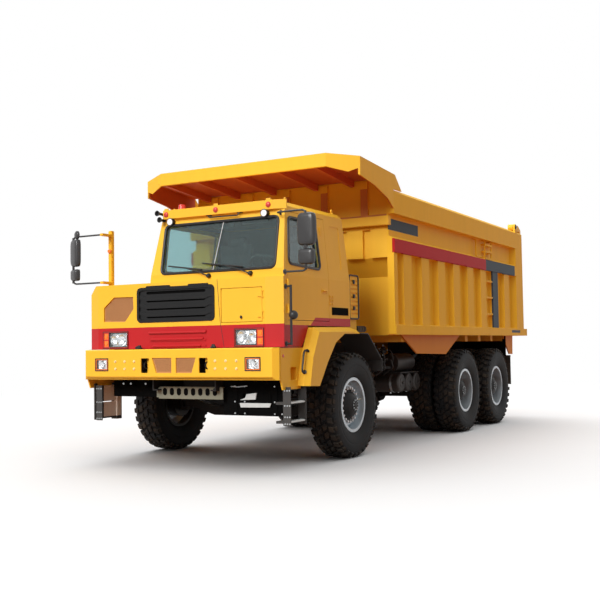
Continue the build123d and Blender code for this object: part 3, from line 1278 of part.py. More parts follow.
with BuildPart() as grille:
    with BuildSketch(Plane.XZ.offset(-nose_front_y + 8)):
        with Locations(((grille_x[0] + grille_x[1]) / 2, (grille_z[0] + grille_z[1]) / 2)):
            RectangleRounded(
                grille_x[1] - grille_x[0] - 2 * seat_gap, grille_z[1] - grille_z[0] - 2 * seat_gap,
                grille_corner)
            RectangleRounded(
                grille_x[1] - grille_x[0] - 2 * grille_border,
                grille_z[1] - grille_z[0] - 2 * grille_border,
                grille_corner - 20, mode=Mode.SUBTRACT)
    extrude(amount=-grille_depth)
    with BuildSketch(Plane.XZ.offset(-nose_front_y - 10)):
        with Locations(((grille_x[0] + grille_x[1]) / 2, (grille_z[0] + grille_z[1]) / 2)):
            RectangleRounded(
                grille_x[1] - grille_x[0] - grille_border, grille_z[1] - grille_z[0] - grille_border,
                grille_corner - grille_border / 2)
        for bar_z in grille_bar_zs:
            for slot_z in (bar_z - 50, bar_z + 50):
                with Locations(((grille_x[0] + grille_x[1]) / 2, slot_z)):
                    SlotOverall(900, 34, mode=Mode.SUBTRACT)
    extrude(amount=-10)
    with BuildSketch(Plane.XZ.offset(-nose_front_y)):
        for bar_z in grille_bar_zs:
            with BuildLine():
                Polyline(
                    (bar_end_x[0], bar_z + bar_rise), (bar_end_x[0] + bar_bend, bar_z + bar_rise),
                    (bar_end_x[0] + 2 * bar_bend, bar_z), (bar_end_x[1] - 2 * bar_bend, bar_z),
                    (bar_end_x[1] - bar_bend, bar_z + bar_rise), (bar_end_x[1], bar_z + bar_rise),
                    (bar_end_x[1], bar_z + bar_rise - grille_bar_height),
                    (bar_end_x[1] - 1.2 * bar_bend, bar_z + bar_rise - grille_bar_height),
                    (bar_end_x[1] - 2.2 * bar_bend, bar_z - grille_bar_height),
                    (bar_end_x[0] + 2.2 * bar_bend, bar_z - grille_bar_height),
                    (bar_end_x[0] + 1.2 * bar_bend, bar_z + bar_rise - grille_bar_height),
                    (bar_end_x[0], bar_z + bar_rise - grille_bar_height), close=True)
            make_face()
    extrude(amount=-20)
grille.part.label = "grille"
export_step(grille.part, "parts/grille.step")

# Lamp housings: open boxes in the nose, with a wall between lamp and indicator
housing_depth = 60.0
housing_front_y = nose_front_y - 6.0
lens_thick = 6.0

with BuildPart() as lamp_housings:
    for side, lamp_from, lamp_to, turn_from, turn_to in lamp_table:
        with BuildSketch(Plane.XZ.offset(-housing_front_y)):
            with Locations((side * (lamp_from + turn_to) / 2, (lamp_z[0] + lamp_z[1]) / 2)):
                Rectangle(
                    turn_to - lamp_from + 2 * lamp_wall - 2 * seat_gap,
                    lamp_z[1] - lamp_z[0] - 2 * seat_gap)
        extrude(amount=-housing_depth)
        with BuildSketch(Plane.XZ.offset(-housing_front_y)):
            for pocket_from, pocket_to in ((lamp_from, lamp_to), (turn_from, turn_to)):
                with Locations((side * (pocket_from + pocket_to) / 2, (lamp_z[0] + lamp_z[1]) / 2)):
                    RectangleRounded(pocket_to - pocket_from, lamp_z[1] - lamp_z[0] - 2 * lamp_wall, 18)
        extrude(amount=lamp_wall - housing_depth, mode=Mode.SUBTRACT)
lamp_housings.part.label = "lamp_housings"
export_step(lamp_housings.part, "parts/lamp_housings.step")

with BuildPart() as headlamps:
    for side, lamp_from, lamp_to, turn_from, turn_to in lamp_table:
        with BuildSketch(Plane.XZ.offset(-housing_front_y - 3)):
            with Locations((side * (lamp_from + lamp_to) / 2, (lamp_z[0] + lamp_z[1]) / 2)):
                RectangleRounded(
                    lamp_to - lamp_from - 2 * seat_gap,
                    lamp_z[1] - lamp_z[0] - 2 * lamp_wall - 2 * seat_gap, 18)
        extrude(amount=-lens_thick)
headlamps.part.label = "headlamps"
export_step(headlamps.part, "parts/headlamps.step")

with BuildPart() as indicators:
    for side, lamp_from, lamp_to, turn_from, turn_to in lamp_table:
        with BuildSketch(Plane.XZ.offset(-housing_front_y - 3)):
            with Locations((side * (turn_from + turn_to) / 2, (lamp_z[0] + lamp_z[1]) / 2)):
                RectangleRounded(
                    turn_to - turn_from - 2 * seat_gap,
                    lamp_z[1] - lamp_z[0] - 2 * lamp_wall - 2 * seat_gap, 18)
        extrude(amount=-lens_thick)
indicators.part.label = "indicators"
export_step(indicators.part, "parts/indicators.step")

# Bumper: bent channel with a chamfered foot, cut for lamps, tow slots and air, on two eye plates
bumper_corner = 60.0
bumper_end_x = bumper_half - 33.0
bumper_back_y = front_y + bumper_depth
bumper_end_y = front_y + bumper_end_depth - swing_gap
bumper_lamp_x = (1030.0, 1240.0)
bumper_lamp_z = (1183.0, 1338.0)
tow_slot_x = (375.0, 503.0)
tow_slot_z = (1156.0, 1338.0)
vent_z = (1156.0, 1341.0)
vent_x = (33.0, 330.0, 267.0)
eye_plate = 32.0
eye_bore_radius = 34.0
bumper_outline = (
    # x, y of the right half of the bumper seen from above
    (0.0, bumper_back_y), (bumper_end_x, bumper_back_y), (bumper_end_x, bumper_end_y),
    (bumper_half, bumper_end_y),
    (bumper_half, front_y + bumper_corner), (bumper_half - bumper_corner, front_y), (0.0, front_y),
)
bumper_profile = (
    # y, z of the bumper's section
    (front_y, bumper_bottom_z + 40), (front_y, bumper_top_z - 12), (front_y + 12, bumper_top_z),
    (bumper_back_y, bumper_top_z), (bumper_back_y, bumper_bottom_z), (front_y + 35, bumper_bottom_z),
)

with BuildPart() as bumper:
    with BuildSketch(Plane.XY.offset(bumper_bottom_z)):
        with BuildLine():
            Polyline(*bumper_outline, close=True)
        make_face()
        mirror(about=Plane.YZ)
    extrude(amount=bumper_top_z - bumper_bottom_z)
    with BuildSketch(Plane.XY.offset(bumper_bottom_z + bumper_wall)):
        with BuildLine():
            Polyline(
                (bumper_end_x - bumper_wall, bumper_back_y),
                (bumper_end_x - bumper_wall, front_y + bumper_corner),
                (bumper_half - bumper_corner - bumper_wall, front_y + bumper_wall),
                (bumper_corner + bumper_wall - bumper_half, front_y + bumper_wall),
                (bumper_wall - bumper_end_x, front_y + bumper_corner),
                (bumper_wall - bumper_end_x, bumper_back_y),
                close=True)
        make_face()
    extrude(amount=bumper_top_z - bumper_bottom_z - 2 * bumper_wall, mode=Mode.SUBTRACT)
    with BuildSketch(Plane.YZ):
        with BuildLine():
            Polyline(*bumper_profile, close=True)
        make_face()
    extrude(amount=bumper_half, both=True, mode=Mode.INTERSECT)
    with BuildSketch(Plane.XZ.offset(-front_y)):
        for side in (-1, 1):
            for cut_x, cut_z in ((bumper_lamp_x, bumper_lamp_z), (tow_slot_x, tow_slot_z)):
                with Locations((side * (cut_x[0] + cut_x[1]) / 2, (cut_z[0] + cut_z[1]) / 2)):
                    RectangleRounded(cut_x[1] - cut_x[0], cut_z[1] - cut_z[0], 12)
            with BuildLine():
                Polyline(
                    (side * vent_x[0], vent_z[0]), (side * vent_x[2], vent_z[0]),
                    (side * vent_x[1], vent_z[1]),
                    (side * vent_x[0], vent_z[1]), close=True)
            make_face()
    extrude(amount=-bumper_wall - 2, mode=Mode.SUBTRACT)
    for side in (-1, 1):
        with BuildSketch(Plane.YZ.offset(side * (rail_outer_x + rail_inner_x) / 2)):
            with BuildLine():
                Polyline(
                    (frame_front_y, bumper_bottom_z + bumper_wall), (frame_front_y, rail_top_z),
                    (bumper_back_y, bumper_top_z - bumper_wall),
                    (front_y + 70, bumper_top_z - bumper_wall),
                    (front_y + 70, bumper_bottom_z + bumper_wall), close=True)
            make_face()
            with Locations((front_y + 120, (tow_slot_z[0] + tow_slot_z[1]) / 2)):
                Circle(eye_bore_radius, mode=Mode.SUBTRACT)
        extrude(amount=eye_plate / 2, both=True)
bumper.part.label = "bumper"
export_step(bumper.part, "parts/bumper.step")

with BuildPart() as bumper_lamps:
    for side in (-1, 1):
        with BuildSketch(Plane.XZ.offset(-front_y - 4)):
            with Locations((side * sum(bumper_lamp_x) / 2, sum(bumper_lamp_z) / 2)):
                RectangleRounded(
                    bumper_lamp_x[1] - bumper_lamp_x[0] - 2 * seat_gap,
                    bumper_lamp_z[1] - bumper_lamp_z[0] - 2 * seat_gap, 12)
        extrude(amount=-50)
bumper_lamps.part.label = "bumper_lamps"
export_step(bumper_lamps.part, "parts/bumper_lamps.step")

# Mesh sheets behind the opening in the nose and the two in the bumper
mesh_thick = 5.0
mesh_lap = 12.0

with BuildPart() as mesh_panels:
    with BuildSketch(Plane.XZ.offset(-skin_back_y)):
        with BuildLine():
            Polyline(*mesh_outline, close=True)
        make_face()
        offset(amount=mesh_lap, mode=Mode.REPLACE)
    extrude(amount=-mesh_thick)
    for side in (-1, 1):
        with BuildSketch(Plane.XZ.offset(-front_y - bumper_wall)):
            with BuildLine():
                Polyline(
                    (side * (vent_x[0] - mesh_lap), vent_z[0] - mesh_lap),
                    (side * (vent_x[2] + mesh_lap), vent_z[0] - mesh_lap),
                    (side * (vent_x[1] + mesh_lap), vent_z[1] + mesh_lap),
                    (side * (vent_x[0] - mesh_lap), vent_z[1] + mesh_lap), close=True)
            make_face()
        extrude(amount=-mesh_thick)
mesh_panels.part.label = "mesh_panels"
export_step(mesh_panels.part, "parts/mesh_panels.step")

# Side panels: a flare over each front wheel and the step panel in front of it
arch_line = (
    # y, z of the edge over the front wheel
    (-3919.0, 975.0), (-3699.0, 1259.0), (-3470.0, 1500.0), (-3216.0, 1611.0), (-2740.0, 1611.0),
)
flare_line = (
    # y, z of the flare's outer edge, from the rear to its foot
    (-2740.0, 1655.0), (-2979.0, 1696.0), (-3945.0, 1686.0), (-4130.0, 1350.0), (-4220.0, 988.0),
)
step_panel_y = (-4610.0, -4040.0)
step_panel_z = (955.0, nose_bottom_z - swing_gap)
step_hole_y = (-4390.0, -4240.0)
step_hole_z = (1058.0, 1216.0)
pocket_depth = 62.0
pocket_wall = 10.0
flare_bevel = 60.0

with BuildPart() as side_panels:
    for side in (-1, 1):
        with BuildSketch(Plane.YZ.offset(side * side_x)):
            with BuildLine():
                Polyline(*arch_line, *flare_line, close=True)
            make_face()
        extrude(amount=side * (flare_x - side_x))
        with BuildSketch(Plane.YZ.offset(side * side_x)):
            with BuildLine():
                Polyline(
                    (step_panel_y[0], step_panel_z[0] + 130), (step_panel_y[0], step_panel_z[1]),
                    (step_panel_y[1], step_panel_z[1]), (step_panel_y[1], step_panel_z[0]),
                    (step_panel_y[0] + 50, step_panel_z[0]), close=True)
            make_face()
            with Locations((sum(step_hole_y) / 2, sum(step_hole_z) / 2)):
                RectangleRounded(
                    step_hole_y[1] - step_hole_y[0], step_hole_z[1] - step_hole_z[0], 20,
                    mode=Mode.SUBTRACT)
        extrude(amount=-side * nose_skin)
        with BuildSketch(Plane.YZ.offset(side * (side_x - nose_skin))):
            with Locations((sum(step_hole_y) / 2, sum(step_hole_z) / 2)):
                RectangleRounded(
                    step_hole_y[1] - step_hole_y[0] + 2 * pocket_wall,
                    step_hole_z[1] - step_hole_z[0] + 2 * pocket_wall, 20 + pocket_wall)
        extrude(amount=-side * pocket_depth)
        with BuildSketch(Plane.YZ.offset(side * (side_x - nose_skin))):
            with Locations((sum(step_hole_y) / 2, sum(step_hole_z) / 2)):
                RectangleRounded(step_hole_y[1] - step_hole_y[0], step_hole_z[1] - step_hole_z[0], 20)
        extrude(amount=-side * (pocket_depth - pocket_wall), mode=Mode.SUBTRACT)
        flare_edges = side_panels.edges().filter_by_position(Axis.X, side * flare_x - 1, side * flare_x + 1)
        flare_edges = flare_edges.filter_by(lambda edge: any(
            hypot(edge.center().Y - (one[0] + two[0]) / 2, edge.center().Z - (one[1] + two[1]) / 2) < 5
            for one, two in zip(flare_line, flare_line[1:])))
        chamfer(flare_edges, length=flare_bevel)
side_panels.part.label = "side_panels"
export_step(side_panels.part, "parts/side_panels.step")

# Mudguards: arch liners over the front wheels, with stands up to the cab posts
liner_tail = ((-2524.0, 1607.0), (-2084.0, 1251.0), (-2084.0, 1100.0))
intake_y = (-2740.0, -2480.0)
intake_seat_z = 1630.0
flap_y = rear_axle_y + 1080.0
flap_x = (930.0, 1620.0)
flap_z = (667.0, 1225.0)
flap_tube_radius = 22.0

with BuildPart() as mudguards:
    for side in (-1, 1):
        with BuildSketch(Plane.YZ.offset(side * liner_inner_x)):
            with BuildLine():
                Polyline(*arch_line, *liner_tail, close=True)
            make_face()
            offset(amount=liner_thick, kind=Kind.INTERSECTION, mode=Mode.REPLACE)
            with BuildLine():
                Polyline(*arch_line, *liner_tail, close=True)
            make_face(mode=Mode.SUBTRACT)
            with BuildLine():
                Polyline(
                    (liner_tail[-1][0], liner_tail[-1][1]), (liner_tail[-1][0] + 40, liner_tail[-1][1]),
                    (liner_tail[-1][0] + 40, 900), (arch_line[0][0] - 40, 900),
                    (arch_line[0][0] - 40, arch_line[0][1]),
                    (arch_line[0][0], arch_line[0][1]), close=True)
            make_face(mode=Mode.SUBTRACT)
        extrude(amount=side * (flare_x - liner_inner_x))
        with BuildSketch(Plane.YZ.offset(side * side_x)):
            with BuildLine():
                Polyline(*arch_line, *flare_line, close=True)
            make_face()
        extrude(amount=side * (flare_x - side_x), mode=Mode.SUBTRACT)
        with BuildSketch(Plane.YZ.offset(side * (liner_inner_x + 60))):
            with Locations((cab_post_ys[1], (arch_line[-1][1] + deck_z - outrigger_height) / 2 + 3)):
                Rectangle(60, deck_z - outrigger_height - arch_line[-1][1] - 6)
            with Locations(((intake_y[0] + intake_y[1]) / 2, (intake_seat_z + arch_line[-1][1]) / 2)):
                Rectangle(180, intake_seat_z - arch_line[-1][1])
        extrude(amount=side * 90)
mudguards.part.label = "mudguards"
export_step(mudguards.part, "parts/mudguards.step")

# Mud flaps behind the rear wheels, each hung from a tube on the frame
with BuildPart() as mud_flaps:
    for side in (-1, 1):
        with BuildSketch(Plane.YZ.offset(side * rail_outer_x)):
            with Locations((flap_y, flap_z[1] - flap_tube_radius)):
                Circle(flap_tube_radius)
        extrude(amount=side * (flap_x[1] - rail_outer_x))
        with BuildSketch(Plane.XZ.offset(-flap_y)):
            with Locations((side * sum(flap_x) / 2, (flap_z[0] + flap_z[1] - flap_tube_radius) / 2)):
                Rectangle(flap_x[1] - flap_x[0], flap_z[1] - flap_tube_radius - flap_z[0])
        extrude(amount=6, both=True)
mud_flaps.part.label = "mud_flaps"
export_step(mud_flaps.part, "parts/mud_flaps.step")

# Boarding steps hung inside the step panels
ladder_ys = (-4480.0, -4120.0)
ladder_z = (540.0, 1010.0)
ladder_rung_zs = (560.0, 780.0)
ladder_bar = (20.0, 45.0)
rung_depth = 130.0
step_plate = 5.0
step_plate_zs = ((585.0, 770.0), (805.0, 985.0))

with BuildPart() as step_ladders:
    for side in (-1, 1):
        ladder_x = side_x - nose_skin - ladder_bar[0] / 2
        for ladder_y in ladder_ys:
            with BuildSketch(Plane.XY.offset(ladder_z[0])):
                with Locations((side * ladder_x, ladder_y)):
                    Rectangle(ladder_bar[0], ladder_bar[1])
            extrude(amount=ladder_z[1] - ladder_z[0])
        for rung_z in ladder_rung_zs:
            with BuildSketch(Plane.XY.offset(rung_z)):
                with Locations((side * (ladder_x + (ladder_bar[0] - rung_depth) / 2), sum(ladder_ys) / 2)):
                    Rectangle(rung_depth, ladder_ys[1] - ladder_ys[0])
            extrude(amount=30)
    for plate_z0, plate_z1 in step_plate_zs:
        with BuildSketch(Plane.YZ.offset(rung_depth - side_x + nose_skin - step_plate)):
            with Locations((sum(ladder_ys) / 2, (plate_z0 + plate_z1) / 2)):
                Rectangle(ladder_ys[1] - ladder_ys[0], plate_z1 - plate_z0)
        extrude(amount=step_plate)
step_ladders.part.label = "step_ladders"
export_step(step_ladders.part, "parts/step_ladders.step")

# Grab rail with its stubs, up the front corner on the driver's side
grab_x = side_x + 70.0
grab_y = -4475.0
grab_z = (1490.0, 2160.0)
grab_radius = 15.0
grab_stub_radius = 12.0

with BuildPart() as grab_rail:
    with BuildSketch(Plane.XY.offset(grab_z[0] - grab_radius)):
        with Locations((grab_x, grab_y)):
            Circle(grab_radius)
    extrude(amount=grab_z[1] - grab_z[0] + 2 * grab_radius)
    for stub_z in grab_z:
        with BuildSketch(Plane.YZ.offset(side_x)):
            with Locations((grab_y, stub_z)):
                Circle(grab_stub_radius)
        extrude(amount=grab_x - side_x)
grab_rail.part.label = "grab_rail"
export_step(grab_rail.part, "parts/grab_rail.step")

# Fuel tank on the right and air tanks on the left, each on its own shelf from the rail
fuel_y = (-1700.0, -500.0)
fuel_x = (560.0, 1450.0)
fuel_z = (750.0, 1300.0)
fuel_corner = 110.0
strap_width = 60.0

with BuildPart() as fuel_tank:
    with BuildSketch(Plane.XZ.offset(-fuel_y[0])):
        with Locations((-(fuel_x[0] + fuel_x[1]) / 2, (fuel_z[0] + fuel_z[1]) / 2)):
            RectangleRounded(fuel_x[1] - fuel_x[0], fuel_z[1] - fuel_z[0], fuel_corner)
    extrude(amount=fuel_y[0] - fuel_y[1])
    with BuildSketch(Plane.YZ.offset(-rail_outer_x)):
        for strap_y in (fuel_y[0] + 250, fuel_y[1] - 250):
            with Locations((strap_y, rail_bottom_z + rail_height / 2)):
                Rectangle(strap_width, rail_height - 60)
    extrude(amount=rail_outer_x - fuel_x[0] - 10)
    with BuildSketch(Plane.XY.offset(fuel_z[1])):
        with Locations((-1250, fuel_y[0] + 250)):
            Circle(70)
    extrude(amount=50)
fuel_tank.part.label = "fuel_tank"
export_step(fuel_tank.part, "parts/fuel_tank.step")

air_tank_ys = (mid_axle_y - 1580.0, mid_axle_y - 1270.0, mid_axle_y - 960.0)
air_tank_radius = 148.0
air_tank_x = (620.0, 1200.0)
shelf_z = 1020.0
shelf_thick = 14.0
top_tank_x = 1000.0
top_tank_radius = 150.0
top_tank_y = (mid_axle_y - 1600.0, mid_axle_y - 920.0)

with BuildPart() as air_tanks:
    for tank_y in air_tank_ys:
        with BuildSketch(Plane.YZ.offset(air_tank_x[0])):
            with Locations((tank_y, shelf_z - air_tank_radius)):
                Circle(air_tank_radius)
        extrude(amount=air_tank_x[1] - air_tank_x[0])
    fillet(edges().filter_by(GeomType.CIRCLE), 40)
    with BuildSketch(Plane.XY.offset(shelf_z - 4)):
        with Locations(((rail_outer_x + air_tank_x[1]) / 2, (air_tank_ys[0] + air_tank_ys[-1]) / 2)):
            Rectangle(air_tank_x[1] - rail_outer_x, air_tank_ys[-1] - air_tank_ys[0] + 120)
    extrude(amount=shelf_thick)
    with BuildSketch(Plane.XZ.offset(-top_tank_y[0])):
        with Locations((top_tank_x, shelf_z + shelf_thick + top_tank_radius - 10)):
            Circle(top_tank_radius)
    extrude(amount=top_tank_y[0] - top_tank_y[1])
air_tanks.part.label = "air_tanks"
export_step(air_tanks.part, "parts/air_tanks.step")

# Air intake: louvred box behind the cab, on the mudguard
intake_x = (1140.0, 1440.0)
intake_neck_z = 1810.0
intake_top_z = 2400.0
louvre_pitch = 55.0
louvre_count = 9

with BuildPart() as air_intake:
    with BuildSketch(Plane.XY.offset(intake_seat_z)):
        with Locations(((intake_x[0] + intake_x[1]) / 2, (intake_y[0] + intake_y[1]) / 2)):
            Rectangle(intake_x[1] - intake_x[0] - 40, intake_y[1] - intake_y[0] - 40)
    extrude(amount=intake_neck_z - intake_seat_z)
    with BuildSketch(Plane.XY.offset(intake_neck_z)):
        with Locations(((intake_x[0] + intake_x[1]) / 2, (intake_y[0] + intake_y[1]) / 2 + 10)):
            RectangleRounded(intake_x[1] - intake_x[0], intake_y[1] - intake_y[0] - 20, 15)
    extrude(amount=intake_top_z - intake_neck_z)
    for index in range(louvre_count):
        with BuildSketch(Plane.XY.offset(intake_neck_z + 60 + index * louvre_pitch)):
            with Locations((intake_x[1], (intake_y[0] + intake_y[1]) / 2 + 10)):
                Rectangle(24, intake_y[1] - intake_y[0] - 60)
        extrude(amount=22, mode=Mode.SUBTRACT)
air_intake.part.label = "air_intake"
export_step(air_intake.part, "parts/air_intake.step")

# Slotted guard plate under the front of the frame
guard_y = -4390.0
guard_half = 490.0
guard_bottom_z = 840.0
guard_slots = 8

with BuildPart() as skid_plate:
    with BuildSketch(Plane.XZ.offset(-guard_y)):
        with Locations((0, (guard_bottom_z + rail_bottom_z) / 2)):
            Rectangle(2 * guard_half, rail_bottom_z - guard_bottom_z)
        with Locations((0, (guard_bottom_z + rail_bottom_z) / 2)):
            with GridLocations(110, 1, guard_slots, 1):
                SlotOverall(50, 22, rotation=90, mode=Mode.SUBTRACT)
    extrude(amount=12, both=True)
skid_plate.part.label = "skid_plate"
export_step(skid_plate.part, "parts/skid_plate.step")

# Sun visor over the windscreen, bent back at its left end, and the lamps on it
visor_z = (3095.0, 3205.0)
visor_thick = 14.0
visor_line = ((-350.0, -4425.0), (1260.0, -4425.0), (1425.0, -4365.0))
visor_bracket_xs = (-250.0, 500.0, 1200.0)

with BuildPart() as sun_visor:
    with BuildSketch(Plane.XY.offset(visor_z[0])):
        with BuildLine():
            Polyline(
                *visor_line, (visor_line[2][0], visor_line[2][1] + visor_thick),
                (visor_line[1][0], visor_line[1][1] + visor_thick),
                (visor_line[0][0], visor_line[0][1] + visor_thick),
                close=True)
        make_face()
    extrude(amount=visor_z[1] - visor_z[0])
    with BuildSketch(Plane.XY.offset(visor_z[0] + 20)):
        for bracket_x in visor_bracket_xs:
            with Locations((bracket_x, visor_line[0][1] + 60)):
                Rectangle(40, 120)
    extrude(amount=40)
    add(cab_solid.part, mode=Mode.SUBTRACT)
sun_visor.part.label = "sun_visor"
export_step(sun_visor.part, "parts/sun_visor.step")

roof_spot_xs = (-240.0, 1150.0)
marker_xs = (-300.0, 455.0, 1210.0)
beacon_x = -230.0
beacon_y = -4180.0

with BuildPart() as roof_lamps:
    for spot_x in roof_spot_xs:
        with BuildSketch(Plane.XZ.offset(-visor_line[0][1] + 8)):
            with Locations((spot_x, visor_z[0] - 42)):
                Circle(42)
        extrude(amount=-50)
        with BuildSketch(Plane.XY.offset(visor_z[0] - 10)):
            with Locations((spot_x, visor_line[0][1] + visor_thick / 2)):
                Rectangle(20, visor_thick)
        extrude(amount=10)
    for marker_x in marker_xs:
        with BuildSketch(Plane.XY.offset(visor_z[1])):
            with Locations((marker_x, visor_line[0][1] + visor_thick / 2)):
                Rectangle(60, visor_thick)
        extrude(amount=22)
    with BuildSketch(Plane.XY.offset(cab_roof_z)):
        with Locations((beacon_x, beacon_y)):
            Circle(55)
    extrude(amount=110, taper=6)
roof_lamps.part.label = "roof_lamps"
export_step(roof_lamps.part, "parts/roof_lamps.step")

# Mirrors on the left: an upper arm to the roof's edge, a lower one to the pillar, and two heads
mirror_reach = 410.0
mirror_reach_x = side_x + mirror_reach
mirror_arm_radius = 16.0
mirror_stay_radius = 12.0
mirror_y = -4480.0
left_heads = (
    # x from, x to, z from, z to
    (mirror_reach_x - 240, mirror_reach_x, 2620.0, 3010.0),
    (mirror_reach_x - 230, mirror_reach_x - 20, 2400.0, 2590.0),
)
mirror_head_depth = 70.0
left_pole_x = mirror_reach_x - 130
left_arm_zs = (2330.0, 3040.0)

with BuildPart() as mirrors_left:
    with BuildSketch(Plane.XY.offset(left_arm_zs[0] - mirror_arm_radius)):
        with Locations((left_pole_x, mirror_y)):
            Circle(mirror_arm_radius)
    extrude(amount=left_arm_zs[1] - left_arm_zs[0] + 2 * mirror_arm_radius)
    with BuildSketch(Plane.YZ.offset(left_pole_x)):
        for arm_z in left_arm_zs:
            with Locations((mirror_y, arm_z)):
                Circle(mirror_stay_radius)
    extrude(amount=cab_roof_left_x - 50 - left_pole_x)
    with BuildSketch(Plane.YZ.offset(cab_roof_left_x - 60)):
        with Locations((mirror_y / 2 + roof_front_y / 2, left_arm_zs[1])):
            Rectangle(roof_front_y - mirror_y + 2 * mirror_arm_radius, 2 * mirror_arm_radius)
    extrude(amount=30)
    add(cab_solid.part, mode=Mode.SUBTRACT)
    for head_x0, head_x1, head_z0, head_z1 in left_heads:
        with BuildSketch(Plane.XZ.offset(-mirror_y + mirror_head_depth / 2)):
            with Locations(((head_x0 + head_x1) / 2, (head_z0 + head_z1) / 2)):
                RectangleRounded(head_x1 - head_x0, head_z1 - head_z0, 30)
        extrude(amount=-mirror_head_depth)
mirrors_left.part.label = "mirrors_left"
export_step(mirrors_left.part, "parts/mirrors_left.step")

# Mirrors on the right: a square post on the hood, a bent tube outboard and two heads
post_x = -1360.0
post_y = -4320.0
post_half = 30.0
post_top_z = 3025.0
right_tube_x = 80 - mirror_reach_x
right_tube_y = post_y - 180
right_tube_zs = (2330.0, 2960.0)
right_heads = (
    # x from, x to, z from, z to
    (-mirror_reach_x, 220 - mirror_reach_x, 2560.0, 2930.0),
    (10 - mirror_reach_x, 200 - mirror_reach_x, 2370.0, 2530.0),
)

with BuildPart() as mirrors_right:
    with BuildSketch(Plane.XY.offset(nose_top_z)):
        with Locations((post_x + 70, post_y)):
            Rectangle(2 * post_half + 60, 2 * post_half + 60)
    extrude(amount=12)
    with BuildSketch(Plane.XY.offset(nose_top_z)):
        with Locations((post_x + 70, post_y)):
            Rectangle(2 * post_half, 2 * post_half)
    extrude(amount=post_top_z - nose_top_z)
    with BuildSketch(Plane.YZ.offset(post_x + 70 + post_half)):
        for tube_z in right_tube_zs:
            with Locations(((post_y + right_tube_y) / 2, tube_z)):
                Rectangle(post_y - right_tube_y + 2 * mirror_arm_radius, 2 * mirror_arm_radius)
    extrude(amount=-2 * post_half)
    with BuildSketch(Plane.YZ.offset(post_x + 70)):
        with Locations((right_tube_y, right_tube_zs[0]), (right_tube_y, right_tube_zs[1])):
            Circle(mirror_stay_radius)
    extrude(amount=right_tube_x - post_x - 70)
    with BuildSketch(Plane.XY.offset(right_tube_zs[0] - mirror_arm_radius)):
        with Locations((right_tube_x, right_tube_y)):
            Circle(mirror_arm_radius)
    extrude(amount=right_tube_zs[1] - right_tube_zs[0] + 2 * mirror_arm_radius)
    for head_x0, head_x1, head_z0, head_z1 in right_heads:
        with BuildSketch(Plane.XZ.offset(-right_tube_y + mirror_head_depth / 2)):
            with Locations(((head_x0 + head_x1) / 2, (head_z0 + head_z1) / 2)):
                RectangleRounded(head_x1 - head_x0, head_z1 - head_z0, 30)
        extrude(amount=-mirror_head_depth)
mirrors_right.part.label = "mirrors_right"
export_step(mirrors_right.part, "parts/mirrors_right.step")

# Cab interior: dashboard with steering column and wheel, and two seats
cab_floor_z = deck_z + cab_wall
dash_y = (cab_front_y + cab_wall, -4120.0)
dash_top_z = 2340.0
wheel_x = 960.0
wheel_radius = 225.0
wheel_rim = 16.0
column_tilt = 35.0
wheel_plane = Plane(
    origin=(wheel_x, -4060.0, 2450.0), x_dir=(1, 0, 0),
    z_dir=(0, sin(radians(column_tilt)), cos(radians(column_tilt))))

with BuildPart() as dashboard:
    with BuildSketch(Plane.YZ.offset(cab_right_x + cab_wall)):
        with BuildLine():
            Polyline(
                (dash_y[0], cab_floor_z), (dash_y[0], dash_top_z), (dash_y[0] + 60, dash_top_z),
                (dash_y[1], dash_top_z - 60), (dash_y[1], dash_top_z - 220),
                (dash_y[0] + 150, cab_floor_z),
                close=True)
        make_face()
    extrude(amount=side_x - cab_right_x - 2 * cab_wall - swing_gap)
    add(cab_skin.part, mode=Mode.SUBTRACT)
    with BuildSketch(wheel_plane):
        Circle(wheel_radius)
        Circle(wheel_radius - 2 * wheel_rim, mode=Mode.SUBTRACT)
        with PolarLocations(0, 3, start_angle=-90):
            with Locations((wheel_radius / 2, 0)):
                Rectangle(wheel_radius - wheel_rim, 40)
        Circle(60)
    extrude(amount=wheel_rim, both=True)
    with BuildSketch(wheel_plane):
        Circle(32)
    extrude(amount=-260)
dashboard.part.label = "dashboard"
export_step(dashboard.part, "parts/dashboard.step")

seat_xs = (60.0, wheel_x)
seat_width = 500.0
seat_base_y = -3640.0
seat_base = (360.0, 380.0)
seat_outline = (
    # y, z of a seat's side
    (-3900.0, 2100.0), (-3900.0, 2220.0), (-3480.0, 2200.0), (-3380.0, 2920.0), (-3290.0, 2920.0),
    (-3380.0, 2080.0),
)

with BuildPart() as seats:
    for seat_x in seat_xs:
        with BuildSketch(Plane.YZ.offset(seat_x)):
            with BuildLine():
                Polyline(*seat_outline, close=True)
            make_face()
        extrude(amount=seat_width / 2, both=True)
        with BuildSketch(Plane.XY.offset(cab_floor_z)):
            with Locations((seat_x, seat_base_y)):
                Rectangle(seat_base[0], seat_base[1])
        extrude(amount=seat_outline[0][1] + 10 - cab_floor_z)
seats.part.label = "seats"
export_step(seats.part, "parts/seats.step")

# Tail lamps on brackets at the rear ends of the rails
tail_lamp_x = 760.0
tail_lamp_z = 1160.0
tail_bracket = (50.0, 60.0)
tail_lamp_size = (380.0, 130.0)
tail_lamp_corner = 20.0
tail_lamp_depth = 60.0

with BuildPart() as tail_lamps:
    for side in (-1, 1):
        with BuildSketch(Plane.YZ.offset(side * rail_outer_x)):
            with Locations((frame_rear_y - tail_bracket[1], tail_lamp_z)):
                Rectangle(tail_bracket[0], tail_bracket[1])
        extrude(amount=side * (tail_lamp_x - rail_outer_x))
        with BuildSketch(Plane.XZ.offset(-frame_rear_y + tail_lamp_depth - 20)):
            with Locations((side * tail_lamp_x, tail_lamp_z)):
                RectangleRounded(tail_lamp_size[0], tail_lamp_size[1], tail_lamp_corner)
        extrude(amount=-tail_lamp_depth)
tail_lamps.part.label = "tail_lamps"
export_step(tail_lamps.part, "parts/tail_lamps.step")
